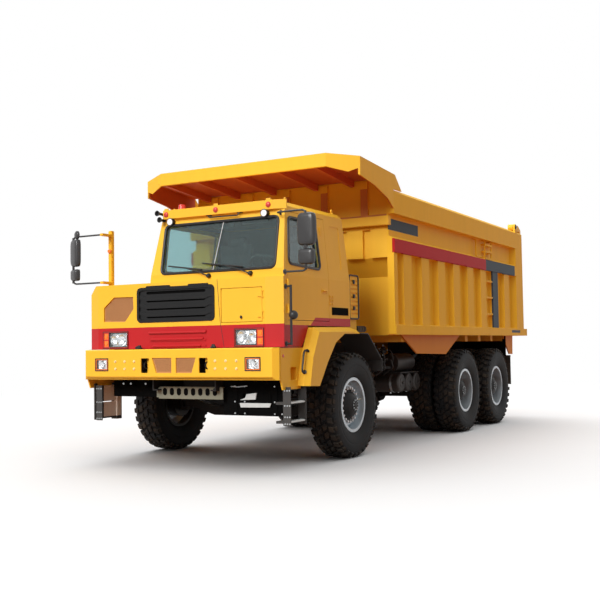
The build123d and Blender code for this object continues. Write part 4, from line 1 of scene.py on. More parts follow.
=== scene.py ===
"""Looks of a mining dump truck: finishes, tyres, trim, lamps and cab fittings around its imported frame.

Everything is in metres in the truck's own frame: +X is its left, -Y its front and +Z is up, with the
origin on the ground under the middle of the truck.
"""
from __future__ import annotations

import json
import logging
import math
from dataclasses import dataclass, field
from enum import Enum
from typing import Iterable, Sequence

import bmesh
import bpy
from mathutils import Matrix, Vector

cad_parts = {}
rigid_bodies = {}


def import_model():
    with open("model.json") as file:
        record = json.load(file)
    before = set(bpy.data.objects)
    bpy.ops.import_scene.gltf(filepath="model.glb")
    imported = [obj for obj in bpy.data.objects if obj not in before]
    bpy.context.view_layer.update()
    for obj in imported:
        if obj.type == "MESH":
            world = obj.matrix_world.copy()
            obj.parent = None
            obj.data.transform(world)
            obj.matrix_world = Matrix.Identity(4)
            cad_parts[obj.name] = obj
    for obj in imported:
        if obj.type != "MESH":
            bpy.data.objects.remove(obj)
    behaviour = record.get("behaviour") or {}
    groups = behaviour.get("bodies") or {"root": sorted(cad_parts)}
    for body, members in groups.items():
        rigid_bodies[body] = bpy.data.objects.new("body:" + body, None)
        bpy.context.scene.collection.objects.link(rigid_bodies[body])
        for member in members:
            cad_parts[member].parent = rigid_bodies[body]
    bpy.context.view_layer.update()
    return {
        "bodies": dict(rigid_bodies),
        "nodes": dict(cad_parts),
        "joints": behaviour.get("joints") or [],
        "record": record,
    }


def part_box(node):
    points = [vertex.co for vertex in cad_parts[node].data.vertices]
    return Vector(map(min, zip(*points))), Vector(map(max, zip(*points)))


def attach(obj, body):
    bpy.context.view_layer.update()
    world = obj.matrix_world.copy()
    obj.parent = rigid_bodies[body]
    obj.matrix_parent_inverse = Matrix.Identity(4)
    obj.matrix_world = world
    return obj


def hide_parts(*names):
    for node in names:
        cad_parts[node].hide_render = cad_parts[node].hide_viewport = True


LOG = logging.getLogger("dump_truck")

Point = tuple[float, float, float]
Flat = tuple[float, float]
Colour = tuple[float, float, float]

YELLOW: Colour = (0.88, 0.505, 0.034)
RED: Colour = (0.45, 0.010, 0.014)
SLATE: Colour = (0.036, 0.052, 0.068)
ORANGE: Colour = (0.85, 0.20, 0.015)
DUST: Colour = (0.42, 0.33, 0.22)
# painted shade: the recessed skirt under the bed's bottom rail, darker and browner than the yellow
SKIRT_SHADE: Colour = (0.66, 0.245, 0.022)
# painted shade: red-brown for the canopy's underside, where the canopy shades its own yellow paint
CANOPY_SHADE: Colour = (0.62, 0.13, 0.06)

CANOPY_FALL = -0.0822  # rise of the canopy's underside for each metre along Y
AXLE_HEIGHT = 0.685
NOSE_Y = -4.57  # front of the nose
BUMPER_Y = -4.70  # front of the bumper
WAIST = 2.3  # height at which the cab's walls start to lean in
REAR_LEAN = 0.1124  # lean of the rear wall for each metre of height
RIGHT_LEAN = 0.1265
DOOR_LEAN = 0.0723
SCREEN_FOOT: Flat = (-4.5, 2.38)  # Y and Z of the windscreen's lower edge
SCREEN_RUN: Flat = (0.15, 0.81)  # how far it runs back and up

LEFT: Point = (1.0, 0.0, 0.0)
AHEAD: Point = (0.0, -1.0, 0.0)
UP: Point = (0.0, 0.0, 1.0)

# name of a wheel, the Y of its axle and its side
WHEELS = tuple((f"{axle}_{label}", axle_y, side)
               for axle, axle_y in (("front", -2.87), ("mid", 1.13), ("rear", 2.83))
               for label, side in (("left", 1.0), ("right", -1.0)))


class Body(Enum):
    """The bodies that pieces ride on, apart from the wheels."""

    CHASSIS = "chassis"
    DOOR = "cab_door"
    HATCH = "nose_hatch"
    BED = "bed"


class Axis(Enum):
    """A row axis, by its place in a vector."""

    X = 0
    Y = 1
    Z = 2


FLOAT, VECTOR, COLOUR = "NodeSocketFloat", "NodeSocketVector", "NodeSocketColor"
COUNT, MATERIAL, SHAPE = "NodeSocketInt", "NodeSocketMaterial", "NodeSocketGeometry"

# --- Node sheets -----------------------------------------------------------------------------


class Sheet:
    """A node tree with short calls to add nodes and link them."""

    def __init__(self, tree: bpy.types.NodeTree) -> None:
        """Keep the tree.

        Args:
            tree: the shader or geometry tree to fill.
        """
        self.tree = tree

    def add(self, kind: str, values: dict[str | int, object] | None = None,
            **settings: object) -> bpy.types.Node:
        """Add a node, set its properties and fill its inputs.

        Args:
            kind: the node's type name.
            values: input name or number to a value or an output socket.
            settings: node properties.

        Returns:
            The new node.
        """
        node = self.tree.nodes.new(kind)
        for name, value in settings.items():
            setattr(node, name, value)
        self.fill(node, values or {})
        return node

    def fill(self, node: bpy.types.Node, values: dict[str | int, object]) -> None:
        """Fill a node's inputs.

        Args:
            node: the node.
            values: input name or number to a value or an output socket.
        """
        for key, value in values.items():
            if isinstance(value, bpy.types.NodeSocket):
                self.link(value, node.inputs[key])
            else:
                node.inputs[key].default_value = value

    def out(self, kind: str, values: dict[str | int, object] | None = None, **settings: object
            ) -> bpy.types.NodeSocket:
        """Add a node and return its first output."""
        return self.add(kind, values, **settings).outputs[0]

    def split(self, vector: bpy.types.NodeSocket) -> bpy.types.NodeOutputs:
        """Return the three parts of a vector."""
        return self.add("ShaderNodeSeparateXYZ", {0: vector}).outputs

    def noise(self, place: object, scale: object, detail: float = 2.0, roughness: float = 0.5
              ) -> bpy.types.NodeSocket:
        """Return the height of a noise texture."""
        return self.add("ShaderNodeTexNoise", {
            "Vector": place, "Scale": scale, "Detail": detail, "Roughness": roughness}).outputs["Fac"]

    def link(self, source: bpy.types.NodeSocket, target: bpy.types.NodeSocket) -> None:
        """Link one socket to another."""
        self.tree.links.new(source, target)

    def group(self, group: bpy.types.NodeTree, values: dict[str, object]) -> bpy.types.Node:
        """Add a shader group with its inputs filled."""
        return self.add("ShaderNodeGroup", values, node_tree=group)

    def math(self, operation: str, first: object, second: object = 0.0, clamp: bool = False
             ) -> bpy.types.NodeSocket:
        """Return the result of one Math node."""
        return self.out("ShaderNodeMath", {0: first, 1: second}, operation=operation, use_clamp=clamp)

    def mix(self, factor: object, first: object, second: object) -> bpy.types.NodeSocket:
        """Mix two colours.

        Args:
            factor: share of the second colour.
            first: colour or socket.
            second: colour or socket.

        Returns:
            The mixed colour's socket.
        """
        node = self.tree.nodes.new("ShaderNodeMix")
        node.data_type = "RGBA"
        for socket, value in ((node.inputs[0], factor), (node.inputs[6], first), (node.inputs[7], second)):
            if isinstance(value, bpy.types.NodeSocket):
                self.tree.links.new(value, socket)
            elif isinstance(value, tuple):
                socket.default_value = (*value, 1.0)
            else:
                socket.default_value = value
        return node.outputs[2]


def new_material(name: str) -> tuple[bpy.types.Material, Sheet, bpy.types.Node, bpy.types.NodeSocket]:
    """Start a material.

    Args:
        name: the material's name.

    Returns:
        The material, its sheet, its shader and the object coordinates.
    """
    material = bpy.data.materials.new(name)
    material.use_nodes = True
    sheet = Sheet(material.node_tree)
    shader = material.node_tree.nodes["Principled BSDF"]
    return material, sheet, shader, sheet.add("ShaderNodeTexCoord").outputs["Object"]


def start_tree(name: str, kind: str, inputs: Sequence[tuple[str, str, object]],
               outputs: Sequence[tuple[str, str]]
               ) -> tuple[bpy.types.NodeTree, Sheet, bpy.types.NodeOutputs, bpy.types.Node]:
    """Make an empty node group with named sockets.

    Args:
        name: the group's name.
        kind: the tree's type name.
        inputs: name, socket type and default of each input.
        outputs: name and socket type of each output.

    Returns:
        The group, its sheet, the sockets of what it is given and its output node.
    """
    tree = bpy.data.node_groups.new(name, kind)
    for label, socket_type, default in inputs:
        socket = tree.interface.new_socket(label, in_out="INPUT", socket_type=socket_type)
        if default is not None:
            socket.default_value = default
    for label, socket_type in outputs:
        tree.interface.new_socket(label, in_out="OUTPUT", socket_type=socket_type)
    sheet = Sheet(tree)
    return tree, sheet, sheet.add("NodeGroupInput").outputs, sheet.add("NodeGroupOutput")


class SharedGroups:
    """Shader groups that several finishes use, each built once."""

    def __init__(self) -> None:
        """Build the groups."""
        self.zone = self._zone()
        self.grime = self._grime()
        self.grain = self._grain()

    @staticmethod
    def _zone() -> bpy.types.NodeTree:
        """Group whose mask is 1 inside a box of object space, its Z edges rising along Y by a slope."""
        group, sheet, given, end = start_tree(
            "zone_mask", "ShaderNodeTree",
            (("Position", VECTOR, None), ("Low", VECTOR, None), ("High", VECTOR, None),
             ("Slope", FLOAT, 0.0)),
            (("Mask", FLOAT),))
        here = sheet.split(given["Position"])
        level = sheet.math("SUBTRACT", here[2], sheet.math("MULTIPLY", here[1], given["Slope"]))
        low, high = sheet.split(given["Low"]), sheet.split(given["High"])
        mask: object = 1.0
        for axis, place in enumerate((here[0], here[1], level)):
            above = sheet.math("GREATER_THAN", place, low[axis])
            below = sheet.math("LESS_THAN", place, high[axis])
            mask = sheet.math("MULTIPLY", sheet.math("MULTIPLY", above, below), mask)
        sheet.link(mask, end.inputs["Mask"])
        return group

    @staticmethod
    def _grime() -> bpy.types.NodeTree:
        """Group that mottles a colour, adds road dust towards the ground and gives a roughness to match."""
        group, sheet, given, end = start_tree(
            "grime", "ShaderNodeTree",
            (("Colour", COLOUR, (1, 1, 1, 1)), ("Dust Colour", COLOUR, (*DUST, 1)),
             ("Position", VECTOR, None),
             ("Scale", FLOAT, 1.5), ("Mottle", FLOAT, 0.06), ("Dust", FLOAT, 0.15),
             ("Dust Height", FLOAT, 1.2), ("Roughness", FLOAT, 0.4)),
            (("Colour", COLOUR), ("Roughness", FLOAT)))
        place = given["Position"]
        cloud = sheet.noise(place, given["Scale"], 6.0, 0.6)
        speck = sheet.noise(place, 38.0, 3.0)
        stretched = sheet.out("ShaderNodeVectorMath", {0: place, 1: (9.0, 9.0, 0.5)}, operation="MULTIPLY")
        streak = sheet.noise(stretched, 1.0, 3.0)
        both = sheet.math("SUBTRACT", sheet.math("ADD", cloud, streak), 1.0)
        swing = sheet.math("MULTIPLY", both, given["Mottle"])
        gain = sheet.math("ADD", sheet.math("MULTIPLY", swing, 2.0), 1.0)
        scaled = sheet.out("ShaderNodeVectorMath", {0: given["Colour"], "Scale": gain}, operation="SCALE")
        near = sheet.math("DIVIDE", sheet.split(place)[2], given["Dust Height"])
        fall = sheet.math("SUBTRACT", 1.0, near, clamp=True)
        base = sheet.math("ADD", sheet.math("MULTIPLY", fall, 0.8), 0.2)
        patch = sheet.math("MULTIPLY", sheet.math("MULTIPLY", cloud, speck), base)
        dust = sheet.math("MULTIPLY", sheet.math("MULTIPLY", patch, 3.2), given["Dust"], clamp=True)
        rough = sheet.math("ADD", given["Roughness"], sheet.math("MULTIPLY", dust, 0.5))
        uneven = sheet.math("MULTIPLY", sheet.math("SUBTRACT", speck, 0.5), 0.12)
        sheet.fill(end, {"Colour": sheet.mix(dust, scaled, given["Dust Colour"]),
                         "Roughness": sheet.math("ADD", rough, uneven)})
        return group

    @staticmethod
    def _grain() -> bpy.types.NodeTree:
        """Group with a fine noise height, for orange peel, castings and moulded plastic."""
        group, sheet, given, end = start_tree(
            "grain", "ShaderNodeTree",
            (("Position", VECTOR, None), ("Scale", FLOAT, 120.0), ("Coarse", FLOAT, 0.3)),
            (("Height", FLOAT),))
        place = given["Position"]
        wide = sheet.noise(place, sheet.math("MULTIPLY", given["Scale"], 0.07), 1.0)
        fine = sheet.noise(place, given["Scale"])
        sheet.link(sheet.math("ADD", fine, sheet.math("MULTIPLY", wide, given["Coarse"])),
                   end.inputs["Height"])
        return group


@dataclass(frozen=True)
class Zone:
    """A painted box of object space.

    Attributes:
        low: lowest corner.
        high: highest corner.
        colour: its paint.
        slope: rise of its Z edges for each metre along Y.
    """

    low: Point
    high: Point
    colour: Colour
    slope: float = 0.0


def both_sides(*zones: Zone) -> tuple[Zone, ...]:
    """Return zones of the truck's left side, each with its mirror image on the right."""
    return tuple(side for zone in zones for side in (zone, Zone(
        (-zone.high[0], *zone.low[1:]), (-zone.low[0], *zone.high[1:]), zone.colour, zone.slope)))


@dataclass(frozen=True)
class Finish:
    """A surface finish, built as one material.

    Attributes:
        name: the material's name.
        colour: base colour.
        roughness: base roughness.
        metallic: 0 for paint, plastic and rubber, 1 for bare metal.
        coat: clear coat weight.
        mottle: how far the colour swings.
        dust: share of road dust.
        dust_height: height at which the dust has faded.
        grain_scale: scale of the fine bump.
        grain_depth: strength of the fine bump.
        zones: painted zones on top of the base colour.
        specular: specular level.
    """

    name: str
    colour: Colour
    roughness: float = 0.4
    metallic: float = 0.0
    coat: float = 0.0
    mottle: float = 0.05
    dust: float = 0.08
    dust_height: float = 1.4
    grain_scale: float = 140.0
    grain_depth: float = 0.04
    zones: tuple[Zone, ...] = ()
    specular: float = 0.35

    def build(self, groups: SharedGroups) -> bpy.types.Material:
        """Build the material out of the shared groups."""
        material, sheet, shader, place = new_material(self.name)
        colour: object = self.colour
        for zone in self.zones:
            mask = sheet.group(groups.zone, {
                "Position": place, "Low": zone.low, "High": zone.high, "Slope": zone.slope})
            colour = sheet.mix(mask.outputs["Mask"], colour, zone.colour)
        grime = sheet.group(groups.grime, {
            "Colour": (*colour, 1.0) if isinstance(colour, tuple) else colour, "Position": place,
            "Mottle": self.mottle, "Dust": self.dust, "Dust Height": self.dust_height,
            "Roughness": self.roughness})
        grain = sheet.group(groups.grain, {"Position": place, "Scale": self.grain_scale})
        bump = sheet.out("ShaderNodeBump", {
            "Height": grain.outputs["Height"], "Strength": self.grain_depth, "Distance": 0.004})
        sheet.fill(shader, {
            "Base Color": grime.outputs["Colour"], "Roughness": grime.outputs["Roughness"], "Normal": bump,
            "Metallic": self.metallic, "Coat Weight": self.coat, "Coat Roughness": 0.15,
            "Specular IOR Level": self.specular})
        return material


@dataclass(frozen=True)
class GlassFinish:
    """Tinted glass or a clear lens.

    Attributes:
        name: the material's name.
        colour: tint.
        roughness: surface roughness.
        transmission: share of light let through.
        rib_scale: scale of moulded lens ribs, 0 for none.
    """

    name: str
    colour: Colour
    roughness: float = 0.03
    transmission: float = 0.9
    rib_scale: float = 0.0

    def build(self, groups: SharedGroups) -> bpy.types.Material:
        """Build the material out of the shared groups."""
        material, sheet, shader, place = new_material(self.name)
        film = sheet.noise(place, 2.5, 4.0)
        rough = sheet.math("ADD", sheet.math("MULTIPLY", film, 0.05), self.roughness)
        tint = sheet.mix(sheet.math("MULTIPLY", film, 0.12), self.colour, (0.5, 0.5, 0.48))
        sheet.fill(shader, {"Base Color": tint, "Roughness": rough, "IOR": 1.45,
                            "Transmission Weight": self.transmission})
        if self.rib_scale > 0:
            wave = sheet.add("ShaderNodeTexWave", {
                "Vector": place, "Scale": self.rib_scale, "Distortion": 0.0}, bands_direction="X")
            sheet.fill(shader, {"Normal": sheet.out("ShaderNodeBump", {
                "Height": wave.outputs["Fac"], "Strength": 0.5, "Distance": 0.004})})
        return material


@dataclass(frozen=True)
class ClothFinish:
    """Woven seat cloth.

    Attributes:
        name: the material's name.
        colour: base colour.
        thread: colour of the lighter thread.
        pitch: threads in a metre.
    """

    name: str
    colour: Colour
    thread: Colour
    pitch: float = 420.0

    def build(self, groups: SharedGroups) -> bpy.types.Material:
        """Build the material out of the shared groups."""
        material, sheet, shader, place = new_material(self.name)
        across, along = (sheet.add("ShaderNodeTexWave", {
            "Vector": place, "Scale": self.pitch / 20.0},
            bands_direction=axis).outputs["Fac"] for axis in "XZ")
        weave = sheet.math("MULTIPLY", across, along)
        bump = sheet.out("ShaderNodeBump", {"Height": weave, "Strength": 0.3, "Distance": 0.002})
        sheet.fill(shader, {"Base Color": sheet.mix(weave, self.colour, self.thread), "Normal": bump,
                            "Roughness": 0.85, "Sheen Weight": 0.2})
        return material


@dataclass(frozen=True)
class RubberFinish:
    """Tyre rubber with dusty lug faces.

    Attributes:
        name: the material's name.
        colour: base colour.
        dust: share of dust on the tread.
    """

    name: str
    colour: Colour
    dust: float = 0.3

    def build(self, groups: SharedGroups) -> bpy.types.Material:
        """Build the material out of the shared groups."""
        material, sheet, shader, place = new_material(self.name)
        cloud = sheet.noise(place, 5.0, 6.0, 0.65)
        dust = sheet.math("MULTIPLY", sheet.math("SUBTRACT", cloud, 0.42), self.dust * 4.0, clamp=True)
        tread = sheet.add("ShaderNodeAttribute", attribute_name="tread").outputs["Fac"]
        amount = sheet.math("MULTIPLY", dust, sheet.math("ADD", sheet.math("MULTIPLY", tread, 0.55), 0.12))
        rough = sheet.math("ADD", sheet.math("MULTIPLY", cloud, 0.2), 0.62)
        grain = sheet.group(groups.grain, {"Position": place, "Scale": 90.0})
        bump = sheet.out("ShaderNodeBump", {
            "Height": grain.outputs["Height"], "Strength": 0.12, "Distance": 0.004})
        sheet.fill(shader, {"Base Color": sheet.mix(amount, self.colour, (0.23, 0.17, 0.11)),
                            "Roughness": rough, "Normal": bump, "Specular IOR Level": 0.22})
        return material


class Paintbox:
    """All finishes of the truck, built once and handed out by name."""

    def __init__(self) -> None:
        """Build every finish."""
        groups = SharedGroups()
        band = Zone((-2.0, -4.9, 1.40), (2.0, -2.0, 1.726), RED)
        side_bands = both_sides(
            Zone((1.36, -4.9, 1.44), (1.4635, -2.0, 1.712), RED),
            Zone((1.36, -3.873, 4.30), (1.4635, -3.74, 4.617), RED, 0.75),
            Zone((1.36, -3.74, 1.69), (1.4635, -2.0, 1.808), RED))
        bed_zones = both_sides(
            Zone((1.70, -1.90, 2.75), (1.76, 2.175, 2.95), RED),
            Zone((1.70, 2.175, 2.75), (1.76, 3.95, 2.95), SLATE),
            Zone((1.64, -2.1, 3.076), (1.70, -0.79, 3.238), SLATE),
            Zone((1.70, 2.55, 1.74), (1.76, 2.93, 2.76), SLATE),
            Zone((1.735, 3.66, 1.655), (1.76, 4.22, 1.705), SLATE),
            # painted shade on the recessed skirt under the bottom rail
            Zone((0.8, -2.2, 1.20), (1.7345, 4.6, 1.612), SKIRT_SHADE))
        marker_zones = (
            Zone((-0.40, -4.60, 3.204), (1.32, -4.30, 3.26), YELLOW),
            Zone((-0.40, -4.27, 3.17), (-0.10, -4.00, 3.225), (0.02, 0.02, 0.02)),
            Zone((-0.40, -4.27, 3.225), (-0.10, -4.00, 3.40), (0.62, 0.03, 0.015)))
        step_zones = (Zone((-1.35, -4.46, 0.58), (-1.29, -4.13, 0.99), (0.95, 0.93, 0.86)),)
        under, over = 3.0, 3.667  # levels below the canopy and at its underside, which falls to the rear
        # painted shade: the canopy's underside and inner corners are darkened to red-brown where the canopy
        # shades them
        canopy_shade_zones = (
            Zone((-1.34, -3.14, under), (1.34, -2.945, over), CANOPY_SHADE, CANOPY_FALL),
            Zone((-1.728, -2.945, under), (1.728, -1.80, over), CANOPY_SHADE, CANOPY_FALL),
            *both_sides(*(Zone((1.34 + 0.056 * step, -3.137 + 0.031 * step, under),
                               (1.396 + 0.056 * step, -2.94, over), CANOPY_SHADE,
                               CANOPY_FALL) for step in range(6))))
        # painted shade on the headboard: brown under the canopy, orange lower down in the cab's shade
        headboard_shade_zones = (
            Zone((-1.80, -2.30, 3.262), (1.80, -1.885, 3.68), (0.56, 0.20, 0.045)),
            Zone((-1.80, -2.30, 1.50), (1.80, -1.885, 2.56), (0.88, 0.37, 0.028)))
        rim_zones = (
            Zone((-1.36, -3.6, 0.0), (1.36, -2.1, 1.6), (0.020, 0.021, 0.022)),
            Zone((-1.36, 0.3, 0.0), (1.36, 3.7, 1.6), (0.020, 0.021, 0.022)))
        tail_zones = both_sides(
            Zone((0.82, 4.1, 1.0), (1.0, 4.4, 1.3), ORANGE),
            Zone((0.69, 4.1, 1.0), (0.78, 4.4, 1.3), (0.75, 0.75, 0.74)))
        finishes: tuple[object, ...] = (
            Finish("cab_yellow", YELLOW, 0.44, coat=0.08, mottle=0.03, dust=0.03,
                   zones=side_bands, specular=0.22),
            Finish("nose_yellow", YELLOW, 0.44, coat=0.08, mottle=0.03, dust=0.03,
                   zones=(band,), specular=0.22),
            Finish("plain_yellow", YELLOW, 0.46, coat=0.06, mottle=0.04, dust=0.04, specular=0.22),
            Finish("bed_side_yellow", YELLOW, 0.50, mottle=0.05, dust=0.05, zones=bed_zones, specular=0.1),
            Finish("canopy_yellow", YELLOW, 0.50, mottle=0.05, dust=0.03, specular=0.2, zones=canopy_shade_zones),
            Finish("headboard_yellow", YELLOW, 0.50, mottle=0.04, dust=0.03, specular=0.2, zones=headboard_shade_zones),
            Finish("bed_floor_paint", YELLOW, 0.55, mottle=0.08, dust=0.30, dust_height=8.0),
            Finish("chassis_black", (0.011, 0.011, 0.012), 0.5, mottle=0.1, dust=0.04,
                   dust_height=2.0, specular=0.2),
            Finish("cast_black", (0.011, 0.011, 0.011), 0.62, mottle=0.2, dust=0.04, grain_scale=60.0,
                   grain_depth=0.25, specular=0.2),
            Finish("guard_black", (0.016, 0.016, 0.017), 0.6, mottle=0.1, dust=0.10, grain_depth=0.12),
            Finish("grille_black", (0.008, 0.009, 0.010), 0.34, specular=0.2, mottle=0.05, dust=0.03,
                   grain_depth=0.08),
            Finish("trim_black", (0.016, 0.016, 0.017), 0.40, mottle=0.05, dust=0.02, grain_depth=0.05),
            Finish("mirror_shell", (0.028, 0.029, 0.030), 0.34, coat=0.2, mottle=0.0, dust=0.0,
                   grain_depth=0.0),
            Finish("rim_silver", (0.50, 0.56, 0.60), 0.30, metallic=0.55, mottle=0.12, dust=0.06,
                   dust_height=1.5, zones=rim_zones),
            Finish("nut_steel", (0.45, 0.47, 0.48), 0.35, metallic=0.9, mottle=0.1, dust=0.08),
            Finish("nut_dark", (0.006, 0.006, 0.007), 0.42, mottle=0.1, dust=0.03, specular=0.2),
            Finish("bolt_yellow", (0.92, 0.72, 0.36), 0.45, mottle=0.02, dust=0.02),
            Finish("grey_plate", (0.20, 0.205, 0.155), 0.6, mottle=0.12, dust=0.04, specular=0.2),
            Finish("silver_plate", (0.55, 0.57, 0.56), 0.42, metallic=0.5, mottle=0.1, dust=0.08),
            Finish("step_grey", (0.030, 0.031, 0.032), 0.5, mottle=0.1, dust=0.06, zones=step_zones),
            Finish("tank_grey", (0.035, 0.038, 0.042), 0.42, metallic=0.3, mottle=0.15, dust=0.10,
                   dust_height=2.0),
            Finish("rod_chrome", (0.75, 0.76, 0.78), 0.12, metallic=1.0, mottle=0.03, dust=0.04),
            # painted shade: the recessed yellow mesh panels are painted tan-brown, as they look in shade
            Finish("mesh_shade_tan", (0.50, 0.235, 0.085), 0.55, mottle=0.08, dust=0.04),
            # painted shade inside the perforation holes
            Finish("hole_shade_dark", (0.16, 0.07, 0.03), 0.7, mottle=0.08, dust=0.04),
            Finish("dash_grey", (0.045, 0.048, 0.052), 0.6, mottle=0.08, dust=0.1, dust_height=8.0,
                   grain_depth=0.2),
            Finish("void_black", (0.003, 0.003, 0.003), 0.9, mottle=0.0, dust=0.0,
                   grain_depth=0.0, specular=0.05),
            Finish("nut_light", (0.74, 0.77, 0.79), 0.34, metallic=0.3, mottle=0.05, dust=0.04),
            Finish("lining_grey", (0.050, 0.062, 0.062), 0.75, mottle=0.06, dust=0.0, grain_depth=0.15),
            Finish("mirror_face", (0.72, 0.76, 0.80), 0.05, metallic=1.0, mottle=0.02, dust=0.02),
            Finish("reflector", (0.90, 0.91, 0.92), 0.14, metallic=1.0, mottle=0.03, dust=0.0,
                   grain_scale=30.0, grain_depth=0.3),
            Finish("lamp_white", (0.92, 0.93, 0.93), 0.3, mottle=0.02, dust=0.0),
            Finish("red_plastic", (0.60, 0.03, 0.015), 0.25, coat=0.5, mottle=0.04, dust=0.02),
            Finish("tail_lens", (0.60, 0.03, 0.015), 0.25, coat=0.5, mottle=0.04, dust=0.06,
                   zones=tail_zones),
            Finish("orange_plastic", ORANGE, 0.25, coat=0.5, mottle=0.06, dust=0.02),
            Finish("roof_lamp_mix", (0.86, 0.87, 0.88), 0.25, coat=0.4, mottle=0.03, dust=0.02,
                   zones=marker_zones),
            Finish("flap_rubber", (0.02, 0.02, 0.02), 0.75, mottle=0.1, dust=0.2, grain_depth=0.15),
            Finish("hose_black", (0.016, 0.016, 0.017), 0.5, mottle=0.1, dust=0.08),
            Finish("brass", (0.50, 0.42, 0.26), 0.4, metallic=0.9, mottle=0.1, dust=0.1),
            GlassFinish("window_glass", (0.50, 0.70, 0.71), 0.02, 0.97),
            GlassFinish("lamp_glass", (0.93, 0.95, 0.96), 0.03, 0.96, rib_scale=18.0),
            ClothFinish("seat_cloth", (0.05, 0.055, 0.06), (0.12, 0.13, 0.14)),
            RubberFinish("tyre_rubber", (0.009, 0.0095, 0.0105)),
        )
        self.made = {finish.name: finish.build(groups) for finish in finishes}

    def __getitem__(self, name: str) -> bpy.types.Material:
        """Return the material of that name."""
        return self.made[name]


# --- Mesh helpers ----------------------------------------------------------------------------


def to_object(name: str, mesh_data: bmesh.types.BMesh, smooth_angle: float = 35.0) -> bpy.types.Object:
    """Turn a bmesh into a linked object with its normals outwards.

    Args:
        name: the object's name.
        mesh_data: the bmesh, which is freed.
        smooth_angle: edges sharper than this stay sharp, in degrees.

    Returns:
        The object, at the origin.
    """
    bmesh.ops.remove_doubles(mesh_data, verts=mesh_data.verts, dist=1e-5)
    bmesh.ops.recalc_face_normals(mesh_data, faces=mesh_data.faces)
    limit = math.radians(smooth_angle)
    for edge in mesh_data.edges:
        edge.smooth = edge.is_manifold and edge.calc_face_angle(0.0) < limit
    for face in mesh_data.faces:
        face.smooth = True
    mesh = bpy.data.meshes.new(name)
    mesh_data.to_mesh(mesh)
    mesh_data.free()
    made = bpy.data.objects.new(name, mesh)
    bpy.context.scene.collection.objects.link(made)
    return made


def to_points(name: str, spots: Iterable[Point]) -> bpy.types.Object:
    """Turn points into a linked object of loose vertices."""
    mesh = bpy.data.meshes.new(name)
    mesh.from_pydata(list(spots), [], [])
    piece = bpy.data.objects.new(name, mesh)
    bpy.context.scene.collection.objects.link(piece)
    return piece


def circle(centre: Point, radius: float, count: int) -> list[Point]:
    """Return evenly spaced points on a circle around a line along X."""
    turns = [2 * math.pi * step / count for step in range(count)]
    return [(centre[0], centre[1] + radius * math.cos(turn),
             centre[2] + radius * math.sin(turn)) for turn in turns]


def oblong(left: float, right: float, low: float, high: float) -> tuple[Flat, ...]:
    """Return the corners of an upright rectangle, in order."""
    return ((left, low), (right, low), (right, high), (left, high))


def add_block(mesh_data: bmesh.types.BMesh, low: Point, high: Point, bevel: float = 0.004) -> None:
    """Add a block with its edges rounded.

    Args:
        mesh_data: the bmesh to add to.
        low: lowest corner.
        high: highest corner.
        bevel: edge rounding in metres.
    """
    made = bmesh.ops.create_cube(mesh_data, size=1.0)["verts"]
    size = Vector(high) - Vector(low)
    middle = (Vector(high) + Vector(low)) / 2
    for vert in made:
        vert.co = Vector(vert.co[axis] * size[axis] for axis in range(3)) + middle
    if bevel > 0:
        edges = list({edge for vert in made for edge in vert.link_edges})
        bmesh.ops.bevel(mesh_data, geom=edges, offset=min(bevel, min(size) * 0.45),
                        segments=2, affect="EDGES")


def add_prism(mesh_data: bmesh.types.BMesh, outline: Sequence[Flat], along: Axis, start: float, end: float,
              bevel: float = 0.0) -> None:
    """Add a prism: an outline in the plane square to an axis, pushed from start to end.

    Args:
        mesh_data: the bmesh to add to.
        outline: points in the two other axes, in X, Y, Z order.
        along: the axis it is pushed along.
        start: where it starts on that axis.
        end: where it ends.
        bevel: edge rounding in metres.
    """
    def put(flat: Flat, level: float) -> Vector:
        """Return the point of the outline at a level."""
        point = list(flat)
        point.insert(along.value, level)
        return Vector(point)

    first = [mesh_data.verts.new(put(flat, start)) for flat in outline]
    last = [mesh_data.verts.new(put(flat, end)) for flat in outline]
    count = len(outline)
    faces = [mesh_data.faces.new(first), mesh_data.faces.new(list(reversed(last)))]
    for index in range(count):
        after = (index + 1) % count
        faces.append(mesh_data.faces.new((first[index], last[index], last[after], first[after])))
    bmesh.ops.recalc_face_normals(mesh_data, faces=faces)
    if bevel > 0:
        edges = list({edge for face in faces for edge in face.edges})
        bmesh.ops.bevel(mesh_data, geom=edges, offset=bevel, segments=2, affect="EDGES")


def rounded_path(corners: Sequence[Point], radius: float, closed: bool = False,
                 steps: int = 5) -> list[Vector]:
    """Round the corners of a path with arcs.

    Args:
        corners: the path's corners.
        radius: arc radius, cut down where a run is short.
        closed: whether the path returns to its start.
        steps: points on each arc.

    Returns:
        The points of the rounded path.
    """
    points = [Vector(corner) for corner in corners]
    count = len(points)
    path: list[Vector] = []
    for index, corner in enumerate(points):
        if not closed and index in (0, count - 1):
            path.append(corner)
            continue
        before = points[(index - 1) % count] - corner
        after = points[(index + 1) % count] - corner
        angle = before.angle(after)
        reach = min(radius / max(math.tan(angle / 2), 1e-4), before.length * 0.45, after.length * 0.45)
        enter = corner + before.normalized() * reach
        leave = corner + after.normalized() * reach
        for step in range(steps + 1):
            share = step / steps
            path.append(enter.lerp(corner, share).lerp(corner.lerp(leave, share), share))
    return path


